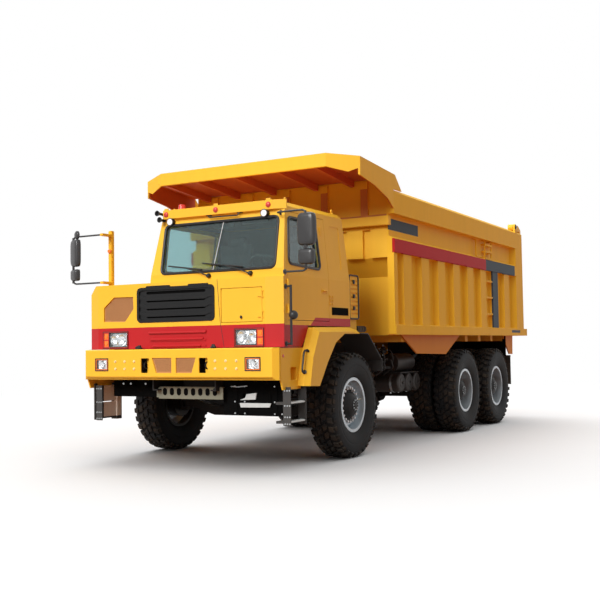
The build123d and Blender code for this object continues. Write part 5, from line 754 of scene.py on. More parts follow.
def add_tube(mesh_data: bmesh.types.BMesh, path: Sequence[Vector], radius: float, closed: bool = False,
             sides: int = 12) -> None:
    """Add a round tube along a path.

    Args:
        mesh_data: the bmesh to add to.
        path: points along its middle.
        radius: tube radius.
        closed: whether its end meets its start.
        sides: faces around it.
    """
    count = len(path)
    rings: list[list[bmesh.types.BMVert]] = []
    normal = Vector((0.0, 0.0, 1.0))
    for index, point in enumerate(path):
        ahead = path[(index + 1) % count] if closed or index + 1 < count else point
        behind = path[index - 1] if closed or index > 0 else point
        tangent = (ahead - behind).normalized()
        if index == 0:
            if abs(tangent.dot(normal)) > 0.9:
                normal = Vector((1.0, 0.0, 0.0))
        normal = (normal - tangent * normal.dot(tangent)).normalized()
        side = tangent.cross(normal)
        ring = []
        for step in range(sides):
            turn = 2 * math.pi * step / sides
            around = normal * math.cos(turn) + side * math.sin(turn)
            ring.append(mesh_data.verts.new(point + around * radius))
        rings.append(ring)
    spans = count if closed else count - 1
    for index in range(spans):
        one, two = rings[index], rings[(index + 1) % count]
        for step in range(sides):
            after = (step + 1) % sides
            mesh_data.faces.new((one[step], one[after], two[after], two[step]))
    if not closed:
        mesh_data.faces.new(rings[0])
        mesh_data.faces.new(list(reversed(rings[-1])))


def add_turned(mesh_data: bmesh.types.BMesh, profile: Sequence[Flat], centre: Point, along: Vector,
               sides: int = 48) -> None:
    """Add a turned shape.

    Args:
        mesh_data: the bmesh to add to.
        profile: points as (place along the axis, radius), closed by the axis or by themselves.
        centre: where the axis starts.
        along: the axis.
        sides: faces around it.
    """
    axis = along.normalized()
    helper = Vector((0.0, 0.0, 1.0)) if abs(axis.z) < 0.9 else Vector((1.0, 0.0, 0.0))
    out = (helper - axis * helper.dot(axis)).normalized()
    across = axis.cross(out)
    origin = Vector(centre)
    rings: list[list[bmesh.types.BMVert]] = []
    for level, radius in profile:
        if radius < 1e-6:
            rings.append([mesh_data.verts.new(origin + axis * level)])
            continue
        ring = []
        for step in range(sides):
            turn = 2 * math.pi * step / sides
            ring.append(mesh_data.verts.new(
                origin + axis * level + (out * math.cos(turn) + across * math.sin(turn)) * radius))
        rings.append(ring)
    for one, two in zip(rings, rings[1:]):
        for step in range(sides):
            after = (step + 1) % sides
            if len(one) == 1 and len(two) == 1:
                continue
            if len(one) == 1:
                mesh_data.faces.new((one[0], two[after], two[step]))
            elif len(two) == 1:
                mesh_data.faces.new((one[step], one[after], two[0]))
            else:
                mesh_data.faces.new((one[step], one[after], two[after], two[step]))


class Fitter:
    """Dresses finished pieces and puts them on their bodies."""

    def __init__(self, paints: Paintbox) -> None:
        """Keep the paints.

        Args:
            paints: the truck's finishes.
        """
        self.paints = paints

    def fit(self, piece: bpy.types.Object, body: str, finish: str, slot: str) -> bpy.types.Object:
        """Give a piece its finish and its body.

        Args:
            piece: the finished piece, at the origin.
            body: name of the body it rides on.
            finish: name of its finish.
            slot: name of the record's material slot; not used.

        Returns:
            The piece.
        """
        if not piece.data.materials:
            piece.data.materials.append(self.paints[finish])
        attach(piece, body)
        LOG.info("%s on %s: %d faces", piece.name, body, len(piece.data.polygons))
        return piece

    @staticmethod
    def bake(piece: bpy.types.Object) -> bpy.types.Object:
        """Turn a piece with modifiers into a plain mesh.

        Args:
            piece: the piece with its modifiers.

        Returns:
            The same object with the evaluated mesh and no modifiers.
        """
        bpy.context.view_layer.update()
        graph = bpy.context.evaluated_depsgraph_get()
        mesh = bpy.data.meshes.new_from_object(piece.evaluated_get(graph), preserve_all_data_layers=True,
                                               depsgraph=graph)
        piece.modifiers.clear()
        piece.data = mesh
        return piece


class NodeForge:
    """Geometry node trees for what repeats, each built once with named inputs."""

    def __init__(self) -> None:
        """Build the trees."""
        self.fastener = self._fastener_tree()
        self.lug = self._lug_tree()
        self.hole = self._perforation_tree()

    @staticmethod
    def _start(name: str, inputs: Sequence[tuple[str, str, object]]
               ) -> tuple[bpy.types.NodeTree, Sheet, bpy.types.NodeOutputs, bpy.types.Node]:
        """Make an empty geometry tree, whose last input is its pieces' finish."""
        return start_tree(name, "GeometryNodeTree", (
            ("Geometry", SHAPE, None), *inputs, ("Finish", MATERIAL, None)), (("Geometry", SHAPE),))

    @staticmethod
    def _copies(sheet: Sheet, mesh: bpy.types.NodeSocket, instance: bpy.types.NodeSocket,
                turn: object = (0.0, 0.0, 0.0)) -> bpy.types.NodeSocket:
        """Return real copies of an instance, turned, on a mesh's points."""
        points = sheet.out("GeometryNodeMeshToPoints", {"Mesh": mesh})
        placed = sheet.out("GeometryNodeInstanceOnPoints", {
            "Points": points, "Instance": instance, "Rotation": turn})
        return sheet.out("GeometryNodeRealizeInstances", {"Geometry": placed})

    @staticmethod
    def _joined(sheet: Sheet, *parts: bpy.types.NodeSocket) -> bpy.types.NodeSocket:
        """Return geometries joined into one, in order."""
        join = sheet.add("GeometryNodeJoinGeometry")
        for part in parts:
            sheet.link(part, join.inputs[0])
        return join.outputs[0]

    def _fastener_tree(self) -> bpy.types.NodeTree:
        """Tree that puts a bolt head and washer on each point, along its facing attribute."""
        tree, sheet, given, end = self._start("fasteners", (
            ("Radius", FLOAT, 0.012), ("Depth", FLOAT, 0.008), ("Sides", COUNT, 6), ("Washer", FLOAT, 1.5)))
        head = sheet.out("GeometryNodeMeshCylinder", {
            "Vertices": given["Sides"], "Radius": given["Radius"], "Depth": given["Depth"]})
        lift = sheet.out("ShaderNodeCombineXYZ", {2: sheet.math("MULTIPLY", given["Depth"], 0.75)})
        raised = sheet.out("GeometryNodeTransform", {"Geometry": head, "Translation": lift})
        washer = sheet.out("GeometryNodeMeshCylinder", {
            "Vertices": 16, "Radius": sheet.math("MULTIPLY", given["Radius"], given["Washer"]),
            "Depth": sheet.math("MULTIPLY", given["Depth"], 0.5)})
        facing = sheet.out("GeometryNodeInputNamedAttribute", {"Name": "facing"}, data_type="FLOAT_VECTOR")
        turn = sheet.out("FunctionNodeAlignRotationToVector", {"Vector": facing}, axis="Z")
        bolts = self._copies(sheet, given["Geometry"], self._joined(sheet, raised, washer), turn)
        sheet.link(sheet.out("GeometryNodeSetMaterial", {
            "Geometry": bolts, "Material": given["Finish"]}), end.inputs[0])
        return tree

    def _lug_tree(self) -> bpy.types.NodeTree:
        """Tree that adds one ring of tyre lugs, tapered to their tips, around the wheel's axis."""
        tree, sheet, given, end = self._start("tyre_lugs", (
            ("Count", COUNT, 36), ("Radius", FLOAT, 0.66), ("Length", FLOAT, 0.08), ("Width", FLOAT, 0.08),
            ("Height", FLOAT, 0.03), ("Offset", FLOAT, 0.0), ("Phase", FLOAT, 0.0), ("Skew", FLOAT, 0.0),
            ("Tilt", FLOAT, 0.0), ("Centre", VECTOR, None)))
        size = sheet.out("ShaderNodeCombineXYZ", {0: given["Width"], 1: given["Length"], 2: given["Height"]})
        block = sheet.out("GeometryNodeMeshCube", {"Size": size})
        here = sheet.split(sheet.out("GeometryNodeInputPosition"))
        top = sheet.math("GREATER_THAN", here[2], 0.0)
        shrink = sheet.math("SUBTRACT", 1.0, sheet.math("MULTIPLY", top, 0.16))
        drift = sheet.math("MULTIPLY", here[0], given["Skew"])
        moved = sheet.out("ShaderNodeCombineXYZ", {
            0: sheet.math("MULTIPLY", here[0], shrink),
            1: sheet.math("ADD", sheet.math("MULTIPLY", here[1], shrink), drift), 2: here[2]})
        shaped = sheet.out("GeometryNodeSetPosition", {"Geometry": block, "Position": moved})
        lean = sheet.out("ShaderNodeCombineXYZ", {1: given["Tilt"]})
        leaned = sheet.out("GeometryNodeTransform", {"Geometry": shaped, "Rotation": lean})
        ring = sheet.out("GeometryNodeMeshCircle", {"Vertices": given["Count"], "Radius": given["Radius"]})
        upright = sheet.out("GeometryNodeTransform", {"Geometry": ring, "Rotation": (0.0, math.pi / 2, 0.0)})
        turn = sheet.out("ShaderNodeCombineXYZ", {0: given["Phase"]})
        phased = sheet.out("GeometryNodeTransform", {"Geometry": upright, "Rotation": turn})
        radial = sheet.out("FunctionNodeAlignRotationToVector", {
            "Vector": sheet.out("GeometryNodeInputPosition")}, axis="Z", pivot_axis="X")
        lugs = self._copies(sheet, phased, leaned, radial)
        shift = sheet.out("ShaderNodeCombineXYZ", {0: given["Offset"]})
        whole = sheet.out("ShaderNodeVectorMath", {0: shift, 1: given["Centre"]}, operation="ADD")
        home = sheet.out("GeometryNodeTransform", {"Geometry": lugs, "Translation": whole})
        marked = sheet.out("GeometryNodeStoreNamedAttribute", {
            "Geometry": home, "Name": "tread", "Value": 1.0}, data_type="FLOAT", domain="POINT")
        dressed = sheet.out("GeometryNodeSetMaterial", {"Geometry": marked, "Material": given["Finish"]})
        sheet.link(self._joined(sheet, given["Geometry"], dressed), end.inputs[0])
        return tree

    def _perforation_tree(self) -> bpy.types.NodeTree:
        """Tree that lays a shallow six-sided hole face on each point of a panel."""
        tree, sheet, given, end = self._start("perforations", (
            ("Radius", FLOAT, 0.004), ("Depth", FLOAT, 0.001), ("Tilt", FLOAT, math.pi / 2)))
        disc = sheet.out("GeometryNodeMeshCylinder", {
            "Vertices": 6, "Radius": given["Radius"], "Depth": given["Depth"]})
        lean = sheet.out("ShaderNodeCombineXYZ", {0: given["Tilt"]})
        upright = sheet.out("GeometryNodeTransform", {"Geometry": disc, "Rotation": lean})
        holes = self._copies(sheet, given["Geometry"], upright)
        sheet.link(sheet.out("GeometryNodeSetMaterial", {
            "Geometry": holes, "Material": given["Finish"]}), end.inputs[0])
        return tree

    @staticmethod
    def run(piece: bpy.types.Object, tree: bpy.types.NodeTree, values: dict[str, object]) -> None:
        """Add a tree to a piece as a modifier with its inputs set.

        Args:
            piece: the piece.
            tree: the geometry tree.
            values: input name to value.
        """
        modifier = piece.modifiers.new(tree.name, "NODES")
        modifier.node_group = tree
        for item in tree.interface.items_tree:
            if item.in_out == "INPUT" and item.name in values:
                modifier[item.identifier] = values[item.name]


@dataclass
class Batch:
    """Shapes of one finish on one body, gathered into one piece.

    Attributes:
        fitter: puts the piece on its body.
        name: the piece's name.
        body: the body it rides on.
        finish: finish name.
        slot: the record's material slot.
        smooth: edges sharper than this stay sharp, in degrees.
        shapes: the mesh so far.
    """

    fitter: Fitter
    name: str
    body: str
    finish: str
    slot: str
    smooth: float = 35.0
    shapes: bmesh.types.BMesh = field(default_factory=bmesh.new)

    def block(self, low: Point, high: Point, bevel: float = 0.003) -> None:
        """Add a block between two corners."""
        corners = tuple(zip(low, high))
        add_block(self.shapes, tuple(min(pair) for pair in corners),
                  tuple(max(pair) for pair in corners), bevel)

    def tube(self, corners: Sequence[Point], radius: float, bend: float = 0.03, closed: bool = False,
             sides: int = 10) -> None:
        """Add a tube through corners rounded by bend."""
        add_tube(self.shapes, rounded_path(corners, bend, closed), radius, closed, sides)

    def turned(self, profile: Sequence[Flat], centre: Point, along: Point, sides: int = 24) -> None:
        """Add a turned shape."""
        add_turned(self.shapes, profile, centre, Vector(along), sides)

    def rod(self, start: Point, along: Point, length: float, radius: float, sides: int = 16) -> None:
        """Add a round bar with chamfered ends."""
        edge = min(radius * 0.2, length * 0.2)
        self.turned(((0.0, 0.0), (0.0, radius - edge), (edge, radius), (length - edge, radius),
                     (length, radius - edge), (length, 0.0)), start, along, sides)

    def prism(self, outline: Sequence[Flat], along: Axis, start: float, end: float,
              bevel: float = 0.0) -> None:
        """Add a prism."""
        add_prism(self.shapes, outline, along, start, end, bevel)

    def plate(self, corners: Sequence[Point], depth: Point) -> None:
        """Add a flat plate: a loop of corners, pushed by a depth."""
        push = Vector(depth)
        first = [self.shapes.verts.new(Vector(corner)) for corner in corners]
        last = [self.shapes.verts.new(Vector(corner) + push) for corner in corners]
        self.shapes.faces.new(first)
        self.shapes.faces.new(list(reversed(last)))
        for index in range(len(first)):
            after = (index + 1) % len(first)
            self.shapes.faces.new((first[index], last[index], last[after], first[after]))

    def ring(self, low: Flat, high: Flat, width: float, front: float, back: float,
             bevel: float = 0.002) -> None:
        """Add an upright rectangular frame in a plane square to Y.

        Args:
            low: lowest outer corner as (x, z).
            high: highest outer corner as (x, z).
            width: width of its bars.
            front: Y of its front.
            back: Y of its back.
            bevel: edge rounding.
        """
        x0, x1 = sorted((low[0], high[0]))
        z0, z1 = low[1], high[1]
        self.block((x0, front, z0), (x1, back, z0 + width), bevel)
        self.block((x0, front, z1 - width), (x1, back, z1), bevel)
        self.block((x0, front, z0 + width), (x0 + width, back, z1 - width), bevel)
        self.block((x1 - width, front, z0 + width), (x1, back, z1 - width), bevel)

    def done(self, *replaced: str) -> bpy.types.Object:
        """Finish the piece.

        Args:
            replaced: CAD nodes that it stands for.

        Returns:
            The piece.
        """
        piece = to_object(self.name, self.shapes, self.smooth)
        self.fitter.fit(piece, self.body, self.finish, self.slot)
        if replaced:
            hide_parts(*replaced)
        return piece


# --- The truck's sub-assemblies --------------------------------------------------------------


@dataclass
class SubAssembly:
    """A group of pieces, with the calls that all groups share.

    Attributes:
        fitter: puts pieces on their bodies.
        forge: geometry node trees.
    """

    fitter: Fitter
    forge: NodeForge

    def batch(self, name: str, finish: str, slot: str, body: str = Body.CHASSIS.value,
              smooth: float = 35.0) -> Batch:
        """Start a piece.

        Args:
            name: the piece's name.
            finish: finish name.
            slot: the record's material slot.
            body: the body it rides on.
            smooth: edges sharper than this stay sharp, in degrees.

        Returns:
            The open piece.
        """
        return Batch(self.fitter, name, body, finish, slot, smooth)

    def bolts(self, name: str, spots: Sequence[tuple[Point, Point]], size: Flat, finish: str, slot: str,
              body: str = Body.CHASSIS.value, sides: int = 6, washer: float = 1.5) -> bpy.types.Object:
        """Make one piece of bolts on a body.

        Args:
            name: the piece's name.
            spots: place and facing direction of each bolt.
            size: radius and depth of a head.
            finish: finish name.
            slot: the record's material slot.
            body: the body it rides on.
            sides: sides of the head.
            washer: washer radius over head radius.

        Returns:
            The piece.
        """
        piece = to_points(name, (spot for spot, _ in spots))
        facing = piece.data.attributes.new("facing", "FLOAT_VECTOR", "POINT")
        for index, (_, direction) in enumerate(spots):
            facing.data[index].vector = direction
        self.forge.run(piece, self.forge.fastener, {
            "Radius": size[0], "Depth": size[1], "Sides": sides, "Washer": washer,
            "Finish": self.fitter.paints[finish]})
        self.fitter.bake(piece)
        return self.fitter.fit(piece, body, finish, slot)


@dataclass
class Tyres(SubAssembly):
    """Block-tread tyres, with ring-moulded sidewalls, that stand for the plain tyre nodes.

    Attributes:
        crown: radius of the tread's base.
        tip: radius of the lugs' tips.
        root: depth of the lugs under the tread's base.
        front_x: the front tyres' middle.
        twin_x: the middles of each pair of rear tyres.
    """

    crown: float = 0.655
    tip: float = 0.6835
    root: float = 0.018
    front_x: float = 1.393
    twin_x: Flat = (1.098, 1.528)

    def profile(self) -> list[Flat]:
        """Return the tyre's section as (place across, radius)."""
        half = [
            (0.127, 0.336), (0.1275, 0.357), (0.146, 0.372), (0.166, 0.405), (0.180, 0.450), (0.1868, 0.500),
            (0.1872, 0.506), (0.1842, 0.512), (0.1872, 0.518), (0.1868, 0.545), (0.182, 0.590),
            (0.1745, 0.622), (0.160, 0.641), (0.110, 0.652), (0.050, self.crown)]
        return half + [(0.0, self.crown + 0.001)] + [(-across, radius) for across, radius in reversed(half)]

    def build(self) -> None:
        """Build every tyre and let it stand for its node."""
        section = self.profile()
        section.append(section[0])
        for name, wheel_y, side in WHEELS:
            places = (self.front_x,) if name.startswith("front") else self.twin_x
            centres = [(side * place, wheel_y, AXLE_HEIGHT) for place in places]
            mesh_data = bmesh.new()
            for centre in centres:
                add_turned(mesh_data, section, centre, Vector((1, 0, 0)), 72)
            piece = to_object(f"tread_{name}", mesh_data, 40.0)
            piece.data.materials.append(self.fitter.paints["tyre_rubber"])
            for centre in centres:
                self._lug_rings(piece, centre)
            self.fitter.bake(piece)
            self.fitter.fit(piece, f"wheel_{name}", "tyre_rubber", "tyre_rubber")
            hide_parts(f"tyre_{name}")

    def _lug_rings(self, piece: bpy.types.Object, centre: Point) -> None:
        """Add the four rings of lugs to one tyre.

        Args:
            piece: the tyre's mesh.
            centre: the tyre's middle.
        """
        count = 34
        step = 2 * math.pi / count
        height = self.tip - self.crown + self.root
        middle = self.tip - height / 2
        rings = (
            # across, length, width, phase, skew, tilt, sink
            (-0.040, 0.090, 0.068, 0.0, 0.45, 0.0, 0.0),
            (0.040, 0.090, 0.068, 0.5, 0.45, 0.0, 0.0),
            (-0.122, 0.074, 0.076, 0.30, -0.18, -0.13, 0.0055),
            (0.122, 0.074, 0.076, 0.80, -0.18, 0.13, 0.0055),
            (-0.168, 0.062, 0.034, 0.30, -0.1, -0.85, 0.030),
            (0.168, 0.062, 0.034, 0.80, -0.1, 0.85, 0.030))
        for across, length, width, phase, skew, tilt, sink in rings:
            self.forge.run(piece, self.forge.lug, {
                "Count": count, "Radius": middle - sink, "Length": length, "Width": width, "Height": height,
                "Offset": across, "Phase": phase * step, "Skew": skew, "Tilt": tilt, "Centre": centre,
                "Finish": self.fitter.paints["tyre_rubber"]})


@dataclass
class WheelTrim(SubAssembly):
    """Wheel nuts, hub caps and valves on the rims.

    Attributes:
        nut_circle: radius of the nut circle.
        nut_count: nuts on a wheel.
        front: X of the front wheels' nut face and hub end.
        twin: the same for the twin wheels.
    """

    nut_circle: float = 0.222
    nut_count: int = 20
    front: Flat = (1.448, 1.553)
    twin: Flat = (1.338, 1.634)

    def build(self) -> None:
        """Put nuts, a hub cover with its ring of bolts and a valve on each wheel."""
        for name, wheel_y, side in WHEELS:
            is_front = name.startswith("front")
            face_x, hub_x = (side * x for x in (self.front if is_front else self.twin))
            body = f"wheel_{name}"
            out = (side, 0.0, 0.0)
            nuts = [(place, out) for place in circle(
                (face_x + side * 0.002, wheel_y, AXLE_HEIGHT), self.nut_circle, self.nut_count)]
            self.bolts(f"nuts_{name}", nuts, (0.0165, 0.032), "nut_light", "wheel_paint", body, washer=1.25)
            reach = abs(hub_x - face_x)
            if is_front:
                profile = ((0.0, 0.236), (0.002, 0.236), (0.002, 0.187), (0.066, 0.152), (0.106, 0.098))
            else:
                profile = ((0.0, 0.236), (0.002, 0.236), (0.027, 0.188), (0.251, 0.172), (0.297, 0.107))
            cap = self.batch(f"hub_cap_{name}", "nut_dark", "wheel_paint", body)
            cap.turned((*profile, (reach + 0.0015, 0.092), (reach + 0.012, 0.084), (reach + 0.012, 0.040),
                        (reach + 0.020, 0.034), (reach + 0.020, 0.0)),
                        (face_x, wheel_y, AXLE_HEIGHT), out, 48)
            cap.done()
            ring = [(place, out) for place in circle((hub_x + side * 0.011, wheel_y, AXLE_HEIGHT), 0.064, 10)]
            self.bolts(f"hub_bolts_{name}", ring, (0.007, 0.007), "nut_steel", "wheel_paint",
                       body, washer=1.2)
            valve = self.batch(f"valve_{name}", "brass", "steel", body)
            valve.tube(((face_x + side * 0.002, wheel_y + 0.262, AXLE_HEIGHT + 0.05),
                        (face_x + side * 0.035, wheel_y + 0.270, AXLE_HEIGHT + 0.055),
                        (face_x + side * 0.050, wheel_y + 0.292, AXLE_HEIGHT + 0.06)), 0.006, 0.02)
            valve.done()


@dataclass
class LampTrim(SubAssembly):
    """Reflectors, bulbs, bezels and outlines of the lamps in the nose, the bumper and the tail."""

    def build(self) -> None:
        """Build every lamp's inside and its frame."""
        mirrors = self.batch("lamp_reflectors", "reflector", "silver_paint")
        bulbs = self.batch("lamp_bulbs", "lamp_white", "lamp_glass")
        outline = self.batch("lamp_outlines", "trim_black", "black_plastic")
        red = self.batch("lamp_bezels", "red_plastic", "red_lens")
        orange = self.batch("bumper_lamp_frames", "orange_plastic", "orange_lens")
        for side in (-1, 1):
            for middle_x, radius in ((0.905, 0.074), (1.047, 0.056)):
                centre = (side * middle_x, NOSE_Y + 0.040, 1.573)
                mirrors.turned(((0.0, 0.010), (0.004, radius * 0.45), (0.014, radius * 0.75), (0.032, radius),
                                (0.032, radius + 0.006), (-0.004, radius + 0.006), (-0.004, 0.010)),
                               centre, AHEAD, 32)
                bulbs.turned(((0.0, 0.0), (0.0, 0.012), (0.018, 0.011), (0.024, 0.0)), centre, AHEAD, 16)
            for step in range(9):
                flute_x = side * (0.835 + step * 0.033)
                mirrors.block((flute_x - 0.0155, NOSE_Y + 0.040, 1.492),
                              (flute_x + 0.0155, NOSE_Y + 0.046, 1.654), 0.003)
            for frame, low, high, width, front, back in (
                    (outline, (0.805, 1.464), (1.216, 1.682), 0.006, 0.012, 0.002),
                    (outline, (0.818, 1.476), (1.117, 1.670), 0.008, 0.009, 0.004),
                    (red, (0.812, 1.470), (1.210, 1.676), 0.007, 0.0095, 0.003),
                    (red, (1.119, 1.480), (1.207, 1.666), 0.010, 0.009, 0.003)):
                frame.ring((side * low[0], low[1]), (side * high[0], high[1]), width,
                           NOSE_Y - front, NOSE_Y + back)
            red.block((side * 1.122, NOSE_Y - 0.009, 1.564), (side * 1.204, NOSE_Y + 0.003, 1.582), 0.002)
            for turn_z in (1.528, 1.618):
                orange.turned(((0.0, 0.0), (0.0, 0.026), (0.006, 0.024), (0.009, 0.0)),
                              (side * 1.163, NOSE_Y - 0.0025, turn_z), AHEAD, 20)
            outline.ring((side * 1.026, 1.179), (side * 1.244, 1.342), 0.012, BUMPER_Y - 0.006,
                         BUMPER_Y + 0.004)
            orange.ring((side * 1.038, 1.191), (side * 1.232, 1.330), 0.011, BUMPER_Y - 0.004,
                        BUMPER_Y + 0.006)
            mirrors.block((side * 1.052, BUMPER_Y + 0.034, 1.205),
                          (side * 1.218, BUMPER_Y + 0.038, 1.316), 0.001)
            mirrors.turned(((0.0, 0.008), (0.004, 0.030), (0.016, 0.046), (0.020, 0.052), (0.020, 0.056),
                            (-0.003, 0.056), (-0.003, 0.008)),
                           (side * 1.135, BUMPER_Y + 0.036, 1.2605), AHEAD, 28)
            bulbs.turned(((0.0, 0.0), (0.0, 0.010), (0.012, 0.009), (0.018, 0.0)),
                         (side * 1.135, BUMPER_Y + 0.038, 1.2605), AHEAD, 16)
            outline.ring((side * 0.566, 1.091), (side * 0.954, 1.229), 0.010, 4.246, 4.262)
        for piece in (mirrors, bulbs, outline, red, orange):
            piece.done()


@dataclass
class NoseTrim(SubAssembly):
    """Seams, tabs, latches, pins, bolts and perforated panels on the truck's front."""

    def build(self) -> None:
        """Build the trim of the nose and the bumper."""
        self._seams()
        self._bumper_fittings()
        self._perforations()

    def _seams(self) -> None:
        """Thin panel seams, the tabs over the grille and the hatch's latch."""
        seams = self.batch("nose_seams", "trim_black", "body_paint")
        line = ((0.560, 2.279), (0.566, 2.279), (0.606, 1.760), (0.660, 1.457),
                (0.654, 1.457), (0.600, 1.760))
        seams.prism(line, Axis.Y, NOSE_Y - 0.0012, NOSE_Y + 0.001)
        seams.block((0.558, -4.565, 2.2795), (0.564, -4.50, 2.2815), 0.0)
        for side in (-1, 1):
            seams.block((side * 1.4592, -3.965, 1.4515), (side * 1.4612, -4.565, 1.4545), 0.0)
        seams.done()
        tabs = self.batch("grille_tabs", "grille_black", "black_plastic")
        for low_x, high_x in ((-0.515, -0.140), (0.135, 0.435)):
            tabs.block((low_x, NOSE_Y - 0.012, 2.212), (high_x, NOSE_Y + 0.004, 2.244), 0.006)
        for x in (-0.59, 0.455):
            for z in (1.822, 2.187):
                tabs.rod((x, NOSE_Y - 0.0085, z), AHEAD, 0.006, 0.009, 8)
        tabs.done()
        # black sheet behind the grille: stands for the radiator core and paints the shade inside the nose
        back = self.batch("grille_back_shade", "void_black", "black_plastic")
        back.block((-0.640, -4.546, 1.800), (0.505, -4.540, 2.210), 0.0)
        back.done()
        ribs = self.batch("nose_ribs", "nose_yellow", "body_paint")
        for z, low_x, high_x in ((1.655, -0.475, 0.400), (1.572, -0.440, 0.362), (1.489, -0.400, 0.325)):
            ribs.prism(((NOSE_Y + 0.001, z + 0.026), (NOSE_Y - 0.026, z - 0.006),
                        (NOSE_Y - 0.024, z - 0.014), (NOSE_Y + 0.001, z - 0.018)), Axis.X,
                        low_x, high_x, 0.003)
        ribs.done()
        latch = self.batch("hatch_latch", "trim_black", "black_plastic", Body.HATCH.value)
        latch.turned(((0.0, 0.0), (0.0, 0.017), (0.006, 0.017), (0.010, 0.012), (0.010, 0.0)),
                     (0.903, NOSE_Y - 0.001, 1.815), AHEAD, 20)
        latch.block((0.897, NOSE_Y - 0.018, 1.796), (0.909, NOSE_Y - 0.009, 1.834), 0.003)
        latch.done()

    def _bumper_fittings(self) -> None:
        """Bolts, hook pins, side reflectors and the flares' handles."""
        spots = [((side * x, BUMPER_Y - 0.001, z), AHEAD)
                 for side in (-1, 1) for x in (0.610, 0.760, 0.910) for z in (1.207, 1.300)]
        self.bolts("bumper_bolts", spots, (0.013, 0.008), "bolt_yellow", "body_paint", sides=8, washer=1.35)
        pins = self.batch("hook_pins", "trim_black", "steel")
        handles = self.batch("flare_handles", "trim_black", "black_plastic")
        marks = self.batch("side_reflectors", "red_plastic", "red_lens")
        eyes = self.batch("tow_eye_rings", "cast_black", "cast_metal")
        for side in (-1, 1):
            pins.rod((side * 0.557, -4.655, 1.440), UP, 0.060, 0.022)
            pins.turned(((0.0, 0.0), (0.0, 0.032), (0.010, 0.038), (0.020, 0.038),
                         (0.030, 0.024), (0.030, 0.0)),
                        (side * 0.557, -4.655, 1.449), UP)
            pins.tube(((side * 0.557, -4.655, 1.480), (side * 0.575, -4.680, 1.482),
                       (side * 0.598, -4.683, 1.464)), 0.012, 0.01)
            marks.turned(((0.0, 0.0), (0.0, 0.018), (0.005, 0.017), (0.007, 0.0)),
                         (side * 1.4595, -4.553, 1.350), (side, 0.0, 0.0), 20)
            face = [(side * 1.535, -4.1025 + 0.004, 1.400), (side * 1.535, -4.150, 1.412),
                    (side * 1.535, -4.190, 1.385), (side * 1.535, -4.237, 1.180),
                    (side * 1.535, -4.222, 1.145), (side * 1.535, -4.1797 + 0.004, 1.152)]
            handles.tube(face, 0.012, 0.025)
            for z, y in ((1.400, -4.1025), (1.152, -4.1797)):
                handles.turned(((-0.003, 0.0), (-0.003, 0.026), (0.005, 0.026), (0.008, 0.014), (0.008, 0.0)),
                               (side * 1.535, y - 0.001, z), (0.0, -0.93, 0.25 if z < 1.3 else -0.45), 20)
            eyes.turned(((-0.006, 0.036), (-0.006, 0.050), (0.006, 0.050), (0.006, 0.036), (-0.006, 0.036)),
                        (side * (0.440 + 0.022), -4.640, 1.247), LEFT, 28)
        for piece in (pins, handles, marks, eyes):
            piece.done()

    def _perforations(self) -> None:
        """Rows of small holes, flat dark discs of painted shade, over the panel beside the grille and the
        bumper's two vents.
        """
        panels = (
            # name, Y of the panel's face, outline in x and z
            ("nose_mesh_holes", NOSE_Y + 0.0185, (
                (-1.030, 2.114), (-0.732, 2.109), (-0.726, 1.966), (-0.860, 1.808), (-1.199, 1.817),
                (-1.197, 1.989))),
            ("vent_holes_left", BUMPER_Y + 0.0145, (
                (0.040, 1.165), (0.258, 1.165), (0.318, 1.333), (0.040, 1.333))),
            ("vent_holes_right", BUMPER_Y + 0.0145, (
                (-0.258, 1.165), (-0.040, 1.165), (-0.040, 1.333), (-0.318, 1.333))))
        panel_low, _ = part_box("mesh_panels")
        pitch = 0.0125  # from hole to hole
        row_pitch = 0.866  # height of a triangle of holes over its side
        for name, y, outline in panels:
            spots: list[Point] = []
            z0, z1 = min(point[1] for point in outline), max(point[1] for point in outline)
            x0, x1 = min(point[0] for point in outline), max(point[0] for point in outline)
            row = 0
            z = z0 + pitch
            while z < z1:
                x = x0 + pitch * (0.5 if row % 2 else 1.0)
                while x < x1:
                    if self._inside(x, z, outline):
                        spots.append((x, y, z))
                    x += pitch
                z += pitch * row_pitch
                row += 1
            piece = to_points(name, spots)
            self.forge.run(piece, self.forge.hole, {
                "Radius": 0.0036, "Depth": 0.0012, "Finish": self.fitter.paints["hole_shade_dark"]})
            self.fitter.bake(piece)
            self.fitter.fit(piece, "chassis", "hole_shade_dark", "mesh_paint")
        LOG.info("mesh panels start at Y %.3f", panel_low[1])

    @staticmethod
    def _inside(x: float, z: float, outline: Sequence[Flat], margin: float = 0.006) -> bool:
        """Tell whether a point lies inside an outline, a margin from its edges.

        Args:
            x: place across.
            z: height.
            outline: the outline's corners.
            margin: least distance from an edge.

        Returns:
            True when it does.
        """
        inside = False
        for index, (x0, z0) in enumerate(outline):
            x1, z1 = outline[(index + 1) % len(outline)]
            if (z0 > z) != (z1 > z) and x < (x1 - x0) * (z - z0) / (z1 - z0) + x0:
                inside = not inside
            run = Vector((x1 - x0, z1 - z0))
            here = Vector((x - x0, z - z0))
            share = max(0.0, min(1.0, here.dot(run) / run.length_squared))
            if (here - run * share).length < margin:
                return False
        return inside


